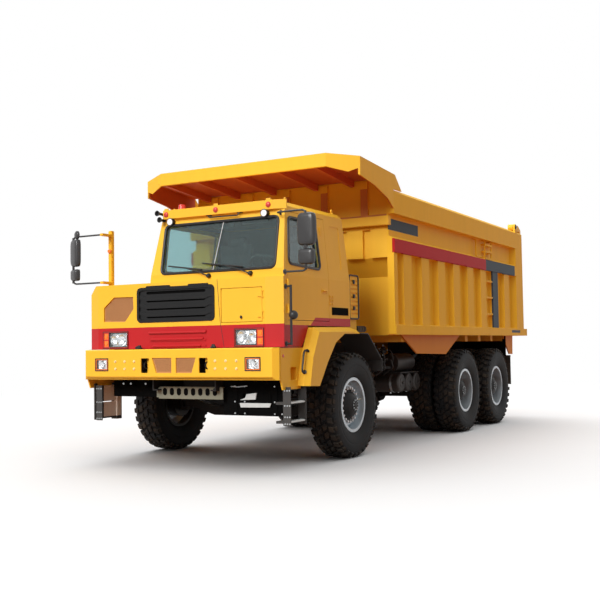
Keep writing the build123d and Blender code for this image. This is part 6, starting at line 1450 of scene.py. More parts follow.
@dataclass
class CabTrim(SubAssembly):
    """Rubber seals, wipers, handles and small fittings on the cab.

    Attributes:
        side_x: the cab's left wall.
    """

    side_x: float = 1.46

    def build(self) -> None:
        """Build the trim on the cab shell and the door."""
        self._seals()
        self._lining()
        self._wipers()
        self._screen_fittings()
        self._door_fittings()
        self._wall_fittings()
        self._roof_fittings()

    def screen_point(self, x: float, z: float, out: float = 0.0) -> Point:
        """Return a point on the windscreen's outer plane.

        Args:
            x: place across.
            z: height.
            out: distance in front of the plane.

        Returns:
            The point.
        """
        share = (z - SCREEN_FOOT[1]) / SCREEN_RUN[1]
        return (x, SCREEN_FOOT[0] + share * SCREEN_RUN[0] - out, z)

    def _seals(self) -> None:
        """Black rubber around the windscreen, the door's window, the right and the rear window."""
        seals = self.batch("window_seals", "trim_black", "black_plastic")
        corners = [self.screen_point(x, z) for x, z in (
            (-0.33, 2.39), (1.33, 2.39), (1.33, 3.01), (-0.33, 3.01))]
        seals.tube(corners, 0.018, 0.07, True, 8)
        rear = [(x, -2.77 - (z - WAIST) * REAR_LEAN, z) for x, z in (
            (-0.25, 2.44), (1.2, 2.44), (1.2, 3.01), (-0.25, 3.01))]
        seals.tube(rear, 0.015, 0.07, True, 8)
        side = [(-0.5 + (z - WAIST) * RIGHT_LEAN, y, z) for y, z in (
            (-4.25, 2.44), (-3.15, 2.44), (-3.15, 3.01), (-4.25, 3.01))]
        seals.tube(side, 0.015, 0.07, True, 8)
        seals.done()
        door = self.batch("door_seal", "trim_black", "black_plastic", Body.DOOR.value)
        door.tube([(self.side_x - (z - WAIST) * DOOR_LEAN, y, z) for y, z in (
            (-4.378, 2.44), (-4.312, 3.0), (-3.64, 3.0), (-3.58, 2.41))], 0.018, 0.07, True, 8)
        door.done()

    def _lining(self) -> None:
        """Dark trim panels on the inside of the cab's right, rear and upper walls."""
        lining = self.batch("cab_lining", "lining_grey", "dash_plastic")

        def right(y: float, z: float) -> Point:
            """Return a point just inside the right wall."""
            return (-0.450 + max(z - WAIST, 0.0) * RIGHT_LEAN, y, z)

        def rear(x: float, z: float) -> Point:
            """Return a point just inside the rear wall."""
            return (x, -2.820 - max(z - WAIST, 0.0) * REAR_LEAN, z)

        for low_y, high_y, low_z, high_z in ((-4.300, -2.860, 1.760, 2.300), (-4.300, -2.860, 2.300, 2.410),
                                             (-4.250, -2.900, 3.040, 3.085), (-3.110, -2.900, 2.410, 3.040),
                                             (-4.320, -4.280, 2.410, 3.000)):
            lining.plate([right(y, z) for y, z in oblong(low_y, high_y, low_z, high_z)], (0.004, 0.0, 0.0))
        for low_x, high_x, low_z, high_z in ((-0.440, 1.380, 1.760, 2.300), (-0.440, 1.380, 2.300, 2.410),
                                             (-0.360, 1.330, 3.040, 3.085), (-0.380, -0.280, 2.410, 3.040),
                                             (-0.280, 1.340, 2.410, 3.040)):
            lining.plate([rear(x, z) for x, z in oblong(low_x, high_x, low_z, high_z)], (0.0, -0.004, 0.0))
        lining.block((-0.340, -4.250, 3.086), (1.300, -2.930, 3.092), 0.001)
        lining.done()

    def _wipers(self) -> None:
        """Two wiper arms with blades, parked low on the windscreen."""
        wipers = self.batch("wipers", "trim_black", "black_plastic")
        for pivot_x, tip_x, tip_z in ((0.40, -0.16, 2.47), (1.0, 0.36, 2.475)):
            pivot = self.screen_point(pivot_x, 2.335, 0.034)
            middle = self.screen_point((pivot_x + tip_x) / 2 - 0.02, tip_z - 0.035, 0.040)
            wipers.turned(((0.0, 0.0), (0.0, 0.030), (0.022, 0.028), (0.042, 0.020), (0.046, 0.0)),
                          (pivot_x, -4.4995, 2.335), AHEAD, 20)
            bend = (pivot[0] * 0.6 + middle[0] * 0.4, pivot[1] - 0.006,
                    pivot[2] * 0.6 + middle[2] * 0.4 + 0.012)
            wipers.tube((pivot, bend, middle), 0.008, 0.05)
            ends = ((tip_x - 0.05, tip_z + 0.015), (pivot_x - 0.10, tip_z - 0.055))
            for out, radius in ((0.026, 0.009), (0.014, 0.006)):
                wipers.tube([self.screen_point(x, z, out) for x, z in ends], radius, 0.0)
        wipers.done()

    def _screen_fittings(self) -> None:
        """The screen's joint strip, the inner mirror and the shades above the glass."""
        strip = self.batch("screen_joint", "lamp_white", "silver_paint")
        strip.tube([self.screen_point(x, z, 0.001) for x, z in ((0.545, 2.992), (0.455, 2.405))], 0.0035, 0.0,
                   sides=6)
        strip.done()
        inside = self.batch("inner_fittings", "trim_black", "black_plastic")
        inside.block((0.43, -4.330, 2.925), (0.66, -4.312, 2.985), 0.008)
        inside.tube(((0.545, -4.315, 2.965), (0.545, -4.300, 3.02)), 0.006, 0.0)
        for low_x, high_x in ((-0.05, 0.34), (0.74, 1.15)):
            inside.block((low_x, -4.300, 2.955), (high_x, -4.288, 3.040), 0.005)
        inside.done()
        shades = self.batch("visor_shades", "trim_black", "black_plastic")
        shades.tube(((0.335, -4.400, 3.094), (0.345, -4.412, 3.066), (0.770, -4.412, 3.060),
                     (0.785, -4.400, 3.094)), 0.008, 0.02)
        shades.block((0.30, -4.405, 3.086), (0.37, -4.375, 3.096), 0.002)
        shades.block((0.75, -4.405, 3.086), (0.82, -4.375, 3.096), 0.002)
        shades.done()

    def _door_fittings(self) -> None:
        """Door handle with its cup, lock, and the small vent at the window's rear."""
        handle = self.batch("door_handle", "cab_yellow", "body_paint", Body.DOOR.value)
        handle.block((self.side_x - 0.001, -3.575, 2.115), (self.side_x + 0.004, -3.425, 2.180), 0.002)
        handle.tube(((self.side_x + 0.002, -3.555, 2.150), (self.side_x + 0.018, -3.548, 2.150),
                     (self.side_x + 0.018, -3.462, 2.150),
                     (self.side_x + 0.002, -3.455, 2.150)), 0.008, 0.008)
        handle.rod((self.side_x - 0.001, -3.440, 2.128), LEFT, 0.009, 0.007, 10)
        handle.done()
        vent = self.batch("door_vent", "plain_yellow", "body_paint", Body.DOOR.value)
        vent.block((1.405, -3.530, 2.840), (1.4245, -3.465, 2.955), 0.003)
        vent.done()

    def _wall_fittings(self) -> None:
        """The latch cluster and bare plate behind the door, the grab rail's ends and its round mirror."""
        cluster = self.batch("wall_latches", "plain_yellow", "body_paint")
        for y in (-3.335, -3.270):
            for step in range(3):
                z = 1.975 + step * 0.046
                cluster.block((self.side_x - 0.001, y - 0.020, z),
                              (self.side_x + 0.010, y + 0.020, z + 0.030), 0.004)
        cluster.done()
        plate = self.batch("bare_plate", "void_black", "black_plastic")
        plate.block((self.side_x - 0.001, -3.300, 1.850), (self.side_x + 0.005, -2.830, 1.948), 0.002)
        for y in (-3.285, -2.845):
            for z in (1.864, 1.934):
                plate.rod((self.side_x + 0.004, y, z), LEFT, 0.004, 0.006, 8)
        plate.done()
        ball = self.batch("rail_mirror", "trim_black", "black_plastic")
        centre = (1.550, -4.455, 1.823)
        ball.turned(((-0.052, 0.0), (-0.048, 0.022), (-0.034, 0.042), (-0.012, 0.053), (0.010, 0.054),
                     (0.018, 0.050), (0.018, 0.044), (0.012, 0.040), (0.012, 0.0)), centre,
                     (-0.2, 0.95, 0.2), 28)
        ball.block((1.518, -4.495, 1.795), (1.545, -4.455, 1.850), 0.006)
        for z in (2.160, 1.490):
            ball.turned(((-0.002, 0.0), (-0.002, 0.030), (0.008, 0.030), (0.012, 0.018), (0.012, 0.0)),
                        (self.side_x, -4.475, z), LEFT, 20)
        ball.done()
        shine = self.batch("rail_mirror_face", "mirror_face", "lamp_glass")
        turn = Vector((-0.2, 0.95, 0.2)).normalized()
        start = Vector(centre) + turn * 0.0125
        shine.turned(((0.0, 0.0), (0.0, 0.039), (0.004, 0.030), (0.006, 0.015), (0.0065, 0.0)),
                     tuple(start), tuple(turn), 28)
        shine.done()

    def _roof_fittings(self) -> None:
        """Lifting eyes on the roof, the twin horns beside the visor and the beacon's base."""
        eyes = self.batch("roof_eyes", "plain_yellow", "body_paint")
        for x in (1.325, -0.32):
            for y in (-4.222, -3.004):
                eyes.turned(((0.0, 0.0), (0.0, 0.022), (0.008, 0.020), (0.014, 0.010), (0.014, 0.0)),
                            (x, y, 3.188), UP, 16)
                eyes.tube([(x, y + 0.022 * math.cos(turn), 3.224 + 0.022 * math.sin(turn)) for turn in (
                    0.0, 0.785, 1.571, 2.356, 3.142, 3.927, 4.712, 5.498)], 0.008, 0.01, True, 8)
        eyes.done()
        horns = self.batch("visor_horns", "trim_black", "black_plastic")
        for x, z, reach in ((-0.385, 3.165, 0.13), (-0.372, 3.085, 0.10)):
            horns.turned(((0.0, 0.0), (0.0, 0.016), (reach * 0.6, 0.018), (reach, 0.036), (reach, 0.031),
                          (reach * 0.75, 0.014), (reach * 0.75, 0.0)), (x, -4.375, z), AHEAD, 20)
            horns.block((x - 0.012, -4.400, z - 0.020), (x + 0.035, -4.376, z + 0.010), 0.004)
        for x in (-0.24, 1.15):
            horns.turned(((0.0, 0.0425), (0.0, 0.050), (0.048, 0.050), (0.052, 0.046), (0.050, 0.040),
                          (0.050, 0.0425), (0.0, 0.0425)), (x, -4.383, 3.053), AHEAD, 28)
        horns.done()
        markers = self.batch("visor_markers", "red_plastic", "red_lens")
        for x in (-0.30, 0.455, 1.21):
            markers.turned(((0.0, 0.0), (0.0, 0.034), (0.008, 0.034), (0.020, 0.022), (0.024, 0.0)),
                           (x, -4.424, 3.150), AHEAD, 24)
        markers.done()


@dataclass
class Mirrors(SubAssembly):
    """Rounded mirror housings on their poles, which stand for the plain mirror nodes.

    Attributes:
        arm: radius of the poles.
        stay: radius of the stays.
        turned_in: turn of the right heads towards the driver, in radians.
    """

    arm: float = 0.016
    stay: float = 0.012
    turned_in: float = -0.42

    def build(self) -> None:
        """Build both sides."""
        left = self.batch("mirror_set_left", "mirror_shell", "black_plastic", smooth=50.0)
        left.tube(((1.345, -4.355, 3.040), (1.352, -4.470, 3.040), (1.740, -4.480, 3.040),
                   (1.740, -4.480, 2.330), (1.458, -4.480, 2.330)), self.stay, 0.05)
        left.rod((1.740, -4.480, 2.340), UP, 0.690, self.arm)
        left.turned(((-0.002, 0.0), (-0.002, 0.032), (0.012, 0.032), (0.018, 0.020), (0.018, 0.0)),
                    (1.452, -4.480, 2.330), LEFT)
        left.block((1.335, -4.385, 3.010), (1.375, -4.345, 3.075), 0.008)
        self._head(left, 1.750, (2.622, 3.008), 0.118, -4.480)
        self._head(left, 1.745, (2.402, 2.588), 0.103, -4.480)
        left.block((1.722, -4.503, 2.585), (1.758, -4.457, 2.628), 0.006)
        left.done("mirrors_left")
        right = self.batch("mirror_set_right", "mirror_shell", "black_plastic", smooth=50.0)
        right.tube(((-1.290, -4.500, 2.330), (-1.790, -4.500, 2.330), (-1.790, -4.500, 2.960),
                    (-1.290, -4.500, 2.960)), self.stay, 0.06)
        right.rod((-1.790, -4.500, 2.340), UP, 0.610, self.arm)
        self._head(right, -1.760, (2.562, 2.928), 0.108, -4.500, self.turned_in)
        self._head(right, -1.765, (2.372, 2.528), 0.094, -4.500, self.turned_in)
        right.turned(((-0.020, 0.0), (-0.018, 0.040), (-0.006, 0.056), (0.012, 0.058),
                      (0.012, 0.050), (0.008, 0.048),
                      (0.008, 0.0)), (-1.728, -4.500, 2.985), (0.35, 0.93, 0.0), 28)
        right.done()
        post = self.batch("mirror_post_right", "plain_yellow", "body_paint")
        post.block((-1.350, -4.380, 2.280), (-1.230, -4.260, 2.292), 0.004)
        post.block((-1.320, -4.350, 2.291), (-1.260, -4.290, 3.025), 0.008)
        for z in (2.330, 2.960):
            post.block((-1.318, -4.516, z - 0.016), (-1.262, -4.300, z + 0.016), 0.004)
        post.done("mirrors_right")
        marker = self.batch("post_marker", "orange_plastic", "orange_lens")
        marker.turned(((0.0, 0.0), (0.0, 0.030), (0.010, 0.030), (0.024, 0.020), (0.028, 0.0)),
                      (-1.290, -4.3495, 2.753), AHEAD)
        marker.done()
        faces = self.batch("mirror_faces", "mirror_face", "lamp_glass")
        for x, z0, z1, half, y, turn in ((1.750, 2.640, 2.990, 0.098, -4.480, 0.0),
                                         (1.745, 2.420, 2.570, 0.083, -4.480, 0.0),
                                         (-1.760, 2.580, 2.910, 0.088, -4.500, self.turned_in),
                                         (-1.765, 2.390, 2.510, 0.074, -4.500, self.turned_in)):
            across = Vector((math.cos(turn), math.sin(turn), 0.0)) * half
            back = Vector((-math.sin(turn), math.cos(turn), 0.0))
            middle = Vector((x, y, 0.0)) + back * 0.0335
            corners = [middle + across * share + Vector((0.0, 0.0, z)) for share, z in (
                (-1.0, z0), (1.0, z0), (1.0, z1), (-1.0, z1))]
            faces.plate(corners, tuple(back * 0.003))
        faces.done()

    @staticmethod
    def _head(batch: Batch, x: float, heights: Flat, half: float, y: float, turn: float = 0.0) -> None:
        """Add one housing, domed at its front and flat behind.

        Args:
            batch: the piece it joins.
            x: its middle across.
            heights: its lowest and highest point.
            half: half its width.
            y: its middle along the truck.
            turn: its turn about Z, in radians.
        """
        middle = (heights[0] + heights[1]) / 2
        reach = (heights[1] - heights[0]) / 2
        levels = ((0.034, 0.93), (0.034, 1.0), (0.006, 1.0), (-0.016, 0.95), (-0.029, 0.82), (-0.034, 0.55))
        rings = []
        for depth, scale in levels:
            ring = []
            for step in range(40):
                around = 2 * math.pi * (step + 0.5) / 40
                cos, sin = math.cos(around), math.sin(around)
                wide = math.copysign(abs(cos) ** 0.42, cos) * half * scale
                tall = math.copysign(abs(sin) ** 0.42, sin) * (reach - half * (1 - scale))
                ring.append(batch.shapes.verts.new((
                    x + wide * math.cos(turn) - depth * math.sin(turn),
                    y + wide * math.sin(turn) + depth * math.cos(turn), middle + tall)))
            rings.append(ring)
        for one, two in zip(rings, rings[1:]):
            for step in range(40):
                after = (step + 1) % 40
                batch.shapes.faces.new((one[step], one[after], two[after], two[step]))
        batch.shapes.faces.new(list(reversed(rings[0])))
        batch.shapes.faces.new(rings[-1])


@dataclass
class Seats(SubAssembly):
    """Two cab seats with crowned cushions, which stand for the plain seat node.

    Attributes:
        centres: X of each seat's middle.
        width: width of the cushions.
    """

    centres: tuple[float, ...] = (0.06, 0.96)
    width: float = 0.49

    def build(self) -> None:
        """Build the cushions, the backs and the seat bases."""
        for label, centre in zip(("right", "left"), self.centres):
            lean = math.radians(7.9)
            seat = self._pillow((self.width, 0.44, 0.125), 0.030, 3, (centre, -3.672, 2.150), 0.03)
            self._finish(seat, f"seat_cushion_{label}")
            back = self._pillow((self.width, 0.62, 0.095), 0.026, 4, (centre, -3.385, 2.535),
                                math.pi / 2 - lean)
            self._finish(back, f"seat_back_{label}")
            rest = self._pillow((0.27, 0.14, 0.085), 0.018, 1, (centre, -3.338, 2.850), math.pi / 2 - lean)
            self._finish(rest, f"head_rest_{label}")
            base = self.batch(f"seat_base_{label}", "trim_black", "black_plastic")
            base.block((centre - 0.175, -3.825, 1.753), (centre + 0.175, -3.455, 1.790), 0.006)
            for fold in range(6):
                inset = 0.016 if fold % 2 else 0.0
                low = 1.788 + fold * 0.042
                base.block((centre - 0.155 + inset, -3.805 + inset, low),
                           (centre + 0.155 - inset, -3.475 - inset, low + 0.044), 0.010)
            base.block((centre - 0.225, -3.880, 2.036), (centre + 0.225, -3.420, 2.092), 0.012)
            for side in (-1, 1):
                base.tube(((centre + side * 0.235, -3.440, 2.070), (centre + side * 0.235, -3.370, 2.200),
                           (centre + side * 0.215, -3.330, 2.600)), 0.012, 0.05)
            base.done("seats")

    def _finish(self, piece: bpy.types.Object, name: str) -> None:
        piece.name = name
        self.fitter.fit(piece, "chassis", "seat_cloth", "seat_fabric")
        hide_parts("seats")

    def _pillow(self, size: Point, crown: float, channels: int, centre: Point,
                tilt: float) -> bpy.types.Object:
        """Make a crowned cushion whose sides pull in between its corners.

        Args:
            size: its width, length and thickness.
            crown: height of its crown.
            channels: sewn channels across it.
            centre: its middle.
            tilt: its turn about X, in radians.

        Returns:
            The cushion, at the origin with its place in its mesh.
        """
        cushion = bmesh.new()
        bmesh.ops.create_cube(cushion, size=2.0)
        bmesh.ops.subdivide_edges(cushion, edges=cushion.edges[:], cuts=15, use_grid_fill=True)
        turn = Matrix.Rotation(tilt, 3, "X")
        for vert in cushion.verts:
            u, v, w = vert.co
            edge = (1 - u * u) * (1 - v * v)
            side = 1 - 0.05 * w * w
            pull = 1 - 0.035 * (1 - v * v) if abs(u) > 0.99 else 1.0
            draw = 1 - 0.035 * (1 - u * u) if abs(v) > 0.99 else 1.0
            groove = 0.0
            if w > 0.9 and channels > 1:
                groove = -0.010 * max(0.0, math.cos(math.pi * channels * (v + 1))) ** 14 * edge ** 0.3
            top = crown * edge ** 0.6 * max(w, 0.0)
            flat = Vector((u * size[0] / 2 * side * pull, v * size[1] / 2 * side * draw,
                           w * (size[2] / 2 - crown / 2) + top - crown / 2 + groove))
            vert.co = turn @ flat + Vector(centre)
        piece = to_object("cushion", cushion, 180.0)
        smooth = piece.modifiers.new("smooth", "SUBSURF")
        smooth.levels = 1
        smooth.render_levels = 1
        return self.fitter.bake(piece)


@dataclass
class StepTrim(SubAssembly):
    """Rungs, plates and bolts of the front ladders, and trim around the air intake."""

    def build(self) -> None:
        """Build the ladder and intake trim."""
        treads = self.batch("ladder_treads", "silver_plate", "silver_paint")
        cheeks = self.batch("ladder_cheeks", "step_grey", "steel")
        spots = []
        for low_x, high_x, rear_y in ((1.437, 1.527, -4.142), (-1.395, -1.295, -4.215)):
            cheeks.block((low_x, -4.510, 0.535), (high_x, -4.498, 0.988), 0.002)
            cheeks.block((low_x, rear_y, 0.535), (high_x, -4.130 + (rear_y < -4.2) * 0.012, 0.988), 0.002)
            for z in (0.560, 0.640, 0.771, 0.945):
                for share in (0.15, 0.5, 0.85):
                    spots.append(((low_x + share * (high_x - low_x), -4.5105, z), AHEAD))
        for z in (0.574, 0.794):
            treads.block((1.452, -4.498, z), (1.516, -4.142, z + 0.020), 0.004)
            for hole in range(7):
                y = -4.47 + hole * 0.048
                treads.block((1.460, y, z + 0.018), (1.508, y + 0.012, z + 0.024), 0.002)
        for piece in (treads, cheeks):
            piece.done()
        self.bolts("ladder_bolts", spots, (0.008, 0.006), "nut_steel", "steel", washer=1.2)
        self._intake()

    def _intake(self) -> None:
        """Black outline, louvre slats, clips and the box under the air intake."""
        trim = self.batch("intake_trim", "trim_black", "black_plastic")
        path = ((1.4415, -2.748, 2.395), (1.4415, -2.473, 2.395), (1.4415, -2.473, 1.815),
                (1.4415, -2.748, 1.815))
        trim.tube(path, 0.012, 0.04, True, 8)
        for z in (1.93, 2.09, 2.28):
            trim.block((1.436, -2.640, z), (1.456, -2.590, z + 0.055), 0.006)
        trim.block((1.150, -2.470, 1.640), (1.425, -2.200, 1.722), 0.012)
        for y in (-2.42, -2.34, -2.26):
            trim.block((1.423, y, 1.655), (1.431, y + 0.05, 1.708), 0.003)
        trim.done()


@dataclass
class Underbody(SubAssembly):
    """Hoses, valves, straps and brackets under the cab and between the wheels."""

    def build(self) -> None:
        """Build the plumbing and the tank trim."""
        self._valves()
        self._tank_trim()
        self._front_fittings()

    def _valves(self) -> None:
        """A rack of air valves between the liner and the air tanks, with hoses to the tanks."""
        hoses = self.batch("air_hoses", "hose_black", "black_plastic")
        valves = self.batch("air_valves", "cast_black", "cast_metal")
        unions = self.batch("air_unions", "nut_steel", "steel")
        rows = (
            # x, y, z of each valve, its size
            (1.02, -1.30, 1.36, 0.060), (1.06, -1.12, 1.22, 0.052), (0.96, -0.94, 1.40, 0.060),
            (1.04, -0.80, 1.24, 0.048), (0.98, -0.66, 1.38, 0.050))
        valves.block((0.478, -1.40, 1.095), (1.08, -0.60, 1.130), 0.006)
        valves.block((0.478, -1.36, 1.020), (0.520, -0.64, 1.210), 0.006)
        for x, y, z, size in rows:
            valves.rod((x, y, 1.125), UP, z - 1.125, size * 0.45)
            valves.turned(((0.0, 0.0), (0.0, size * 0.8), (size * 0.3, size), (size * 1.2, size),
                           (size * 1.4, size * 0.7), (size * 2.0, size * 0.62), (size * 2.1, size * 0.4),
                           (size * 2.1, 0.0)), (x, y, z - size), UP, 24)
            unions.rod((x + size * 0.9, y, z), LEFT, 0.035, 0.013, 8)
            unions.rod((x, y - size * 0.9, z + 0.01), AHEAD, 0.035, 0.012, 8)
            unions.rod((x, y, z + size * 1.05), UP, 0.030, 0.011, 8)
            hoses.tube(((x + size * 0.9 + 0.03, y, z), (x + 0.13, y + 0.005, z - 0.01),
                        (x + 0.145, y + 0.04, z - 0.12), (x + 0.10, y + 0.09, 1.10),
                        (x - 0.05, y + 0.12, 1.00)), 0.010, 0.06, sides=8)
            hoses.tube(((x, y - size * 0.9 - 0.03, z + 0.01), (x + 0.01, y - 0.12, z),
                        (x + 0.02, y - 0.15, z - 0.10),
                        (x - 0.12, y - 0.14, 1.04), (0.50, y - 0.10, 1.00)), 0.009, 0.05, sides=8)
        for step in range(4):
            y = -1.20 + step * 0.17
            hoses.tube(((0.495, y, 1.19), (0.62, y + 0.02, 1.33 + 0.02 * step),
                        (0.86, y + 0.05, 1.34 + 0.015 * step), (0.99, y + 0.08, 1.24)), 0.011, 0.08, sides=8)
        for piece in (hoses, valves, unions):
            piece.done()

    def _tank_trim(self) -> None:
        """Straps, end rings, drain valves and the filler cap on the tanks."""
        straps = self.batch("tank_straps", "nut_steel", "steel")
        ends = self.batch("tank_end_rings", "tank_grey", "chassis_paint")
        for y in (-0.45, -0.14, 0.17):
            for x in (0.76, 1.06):
                self._band(straps, (x, y, 0.872), 0.1485, 0.036)
            ends.turned(((0.0, 0.085), (0.006, 0.085), (0.010, 0.070), (0.010, 0.0),
                         (0.0, 0.0), (0.0, 0.085)),
                        (1.198, y, 0.872), LEFT, 28)
            ends.rod((1.207, y, 0.872), LEFT, 0.022, 0.020, 8)
            straps.rod((1.00, y, 0.727), (0.0, 0.0, -1.0), 0.028, 0.014, 6)
        for piece in (straps, ends):
            piece.done()
        low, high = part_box("fuel_tank")
        cap = self.batch("filler_cap", "nut_steel", "steel")
        cap.turned(((0.0, 0.0), (0.0, 0.052), (0.018, 0.052), (0.024, 0.064), (0.050, 0.064), (0.058, 0.056),
                    (0.058, 0.0)), (low[0] + 0.22, high[1] - 0.30, high[2] - 0.062), (-0.25, 0.0, 1.0), 28)
        cap.done()

    @staticmethod
    def _band(batch: Batch, centre: Point, radius: float, width: float) -> None:
        """Add a thin band around a tank that lies along X."""
        batch.turned(((-width / 2, radius), (-width / 2, radius + 0.003), (width / 2, radius + 0.003),
                      (width / 2, radius), (-width / 2, radius)), centre, LEFT, 40)

    def _front_fittings(self) -> None:
        """Slotted cover with slots of painted shade, bracket, pipes, steering gear and black plates of
        painted shade behind the bumper's lower edge.
        """
        cover = self.batch("guard_cover", "grey_plate", "steel")
        slot_shade = self.batch("guard_cover_slot_shade", "void_black", "black_plastic")
        cover.block((-0.448, -4.420, 0.824), (0.530, -4.408, 0.968), 0.003)
        cover.block((-0.430, -4.418, 0.964), (0.512, -4.350, 0.976), 0.003)
        # the cover's slots are flat black faces of painted shade
        for step in range(8):
            x = -0.346 + step * 0.1083
            turns = [math.radians(15 + 30 * part) for part in range(12)]
            slot_shade.prism([(x + 0.033 * math.cos(turn), 0.914 + math.copysign(0.014, math.sin(turn))
                          + 0.033 * math.sin(turn)) for turn in turns], Axis.Y, -4.4215, -4.419)
        bracket = self.batch("front_step_bracket", "silver_plate", "silver_paint")
        for outline in (((0.745, 0.730), (1.150, 0.736), (1.173, 0.786), (0.729, 0.784)),
                        ((0.730, 0.819), (0.955, 0.828), (0.973, 0.906), (0.830, 0.892), (0.805, 0.845))):
            bracket.prism(outline, Axis.Y, -4.360, -4.345, 0.002)
        pipes = self.batch("front_pipes", "nut_steel", "steel")
        dark = self.batch("front_brackets_and_shade_plates", "void_black", "cast_metal")
        dark.block((0.720, -4.345, 0.735), (1.165, -4.300, 0.900), 0.006)
        for x in (0.66, 0.80, 1.22, 1.32):
            dark.block((x - 0.035, -4.345, 0.640), (x + 0.035, -4.290, 1.060), 0.006)
            for z in (0.660, 0.800, 0.985):
                pipes.rod((x, -4.346, z), AHEAD, 0.012, 0.011, 8)
        pipes.tube(((0.600, -4.350, 0.985), (0.700, -4.352, 0.978), (0.840, -4.352, 0.992)),
                   0.009, 0.02, sides=8)
        for x in (-1.02, -0.90, -0.66):
            dark.block((x - 0.035, -4.400, 0.975), (x + 0.035, -4.330, 1.070), 0.006)
            pipes.rod((x, -4.402, 1.010), AHEAD, 0.014, 0.014, 8)
        dark.block((0.500, -4.300, 0.760), (0.790, -3.700, 1.080), 0.020)
        dark.tube(((-0.62, -4.05, 0.87), (0.10, -4.05, 0.84), (0.70, -4.05, 0.86)), 0.050, 0.10)
        # painted shade: two thin black plates behind the bumper stand in for the shade under the truck
        dark.block((0.480, -4.335, 0.640), (1.330, -4.315, 1.050), 0.006)
        dark.block((-1.250, -4.335, 0.840), (-0.480, -4.315, 1.050), 0.006)
        aprons = self.batch("wheel_bay_aprons", "guard_black", "black_plastic")
        for side in (-1, 1):
            aprons.block((side * 0.480, -2.060, 0.560), (side * 1.190, -2.050, 1.500), 0.002)
        for piece in (cover, slot_shade, bracket, pipes, dark, aprons):
            piece.done()


@dataclass
class BedTrim(SubAssembly):
    """Grab rails, the headboard's beam, black sheets of painted shade under the bed and the tailgate's pins
    on the bed.

    Attributes:
        ladder_y: middle of the grab rails along the truck.
    """

    ladder_y: float = 2.396

    def build(self) -> None:
        """Build the bed's trim."""
        rails = self.batch("bed_ladder_rails", "bed_side_yellow", "bed_paint", Body.BED.value)
        for side_y in (-0.185, 0.185):
            y = self.ladder_y + side_y
            rails.tube(((1.652, y, 2.965), (1.705, y, 2.965), (1.712, y, 3.285), (1.652, y, 3.290)), 0.012,
                       0.03)
        rails.tube(((1.652, self.ladder_y - 0.62, 3.270), (1.690, self.ladder_y - 0.62, 3.270),
                    (1.690, self.ladder_y - 0.62, 2.985), (1.690, self.ladder_y - 0.26, 2.985),
                    (1.652, self.ladder_y - 0.24, 2.985)), 0.012, 0.03)
        rails.done()
        beam = self.batch("headboard_beam", "headboard_yellow", "bed_paint", Body.BED.value)
        beam.block((-1.690, -1.985, 3.135), (1.690, -1.889, 3.262), 0.006)
        beam.done()
        # painted shade: black sheets under the bed keep the white beyond from showing through, where there is
        # only shade
        shade_sheets = self.batch("bed_shade_sheets", "void_black", "black_plastic", Body.BED.value)
        for side in (-1, 1):
            shade_sheets.block((side * 0.855, -0.200, 1.290), (side * 0.865, 3.700, 1.590), 0.002)
            shade_sheets.block((side * 0.860, 3.395, 1.220), (side * 1.690, 3.405, 1.590), 0.002)
        shade_sheets.done()
        pins = self.batch("gate_pin_heads", "nut_dark", "steel", Body.BED.value)
        spots = []
        low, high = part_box("tailgate")
        for side in (-1, 1):
            pins.turned(((0.0, 0.0), (0.0, 0.040), (0.010, 0.040), (0.014, 0.034), (0.014, 0.0)),
                        (side * 1.7405, 4.08, 3.72), (side, 0.0, 0.0), 24)
            spots += [(place, (side, 0.0, 0.0)) for place in circle((side * 1.7545, 4.08, 3.72), 0.024, 6)]
        pins.done()
        self.bolts("gate_pin_bolts", spots, (0.005, 0.005), "nut_steel", "steel", Body.BED.value, washer=1.2)
        LOG.info("tailgate between Y %.3f and %.3f", low[1], high[1])


@dataclass
class DashTrim(SubAssembly):
    """Dials, the steering column and the pedals in the cab."""

    def build(self) -> None:
        """Build the driver's instruments and controls."""
        dials = self.batch("dash_dials", "lamp_white", "dash_plastic")
        rims = self.batch("dash_rims", "trim_black", "black_plastic")
        face_y, face_z = -4.135, 2.255
        for x, radius in ((0.86, 0.052), (0.98, 0.052), (1.08, 0.030), (0.77, 0.030)):
            rims.turned(((0.0, 0.0), (0.0, radius), (0.016, radius), (0.016, radius - 0.005),
                         (0.008, radius - 0.007), (0.008, 0.0)), (x, face_y, face_z), (0.0, 1.0, 0.25), 28)
            dials.turned(((0.0085, 0.0), (0.0085, radius - 0.009), (0.0095, radius - 0.010), (0.0095, 0.0)),
                         (x, face_y, face_z), (0.0, 1.0, 0.25), 28)
        rims.rod((0.51, -3.95, 1.752), (0.0, 0.12, 1.0), 0.52, 0.011)
        rims.turned(((0.0, 0.0), (0.0, 0.012), (0.02, 0.026), (0.05, 0.026), (0.062, 0.0)),
                    (0.51, -3.888, 2.268), (0.0, 0.12, 1.0), 20)
        for x in (0.83, 0.97, 1.12):
            rims.block((x - 0.035, -4.190, 1.835), (x + 0.035, -4.178, 1.925), 0.005)
            rims.tube(((x, -4.186, 1.900), (x, -4.250, 2.020)), 0.009, 0.0)
        for piece in (dials, rims):
            piece.done()


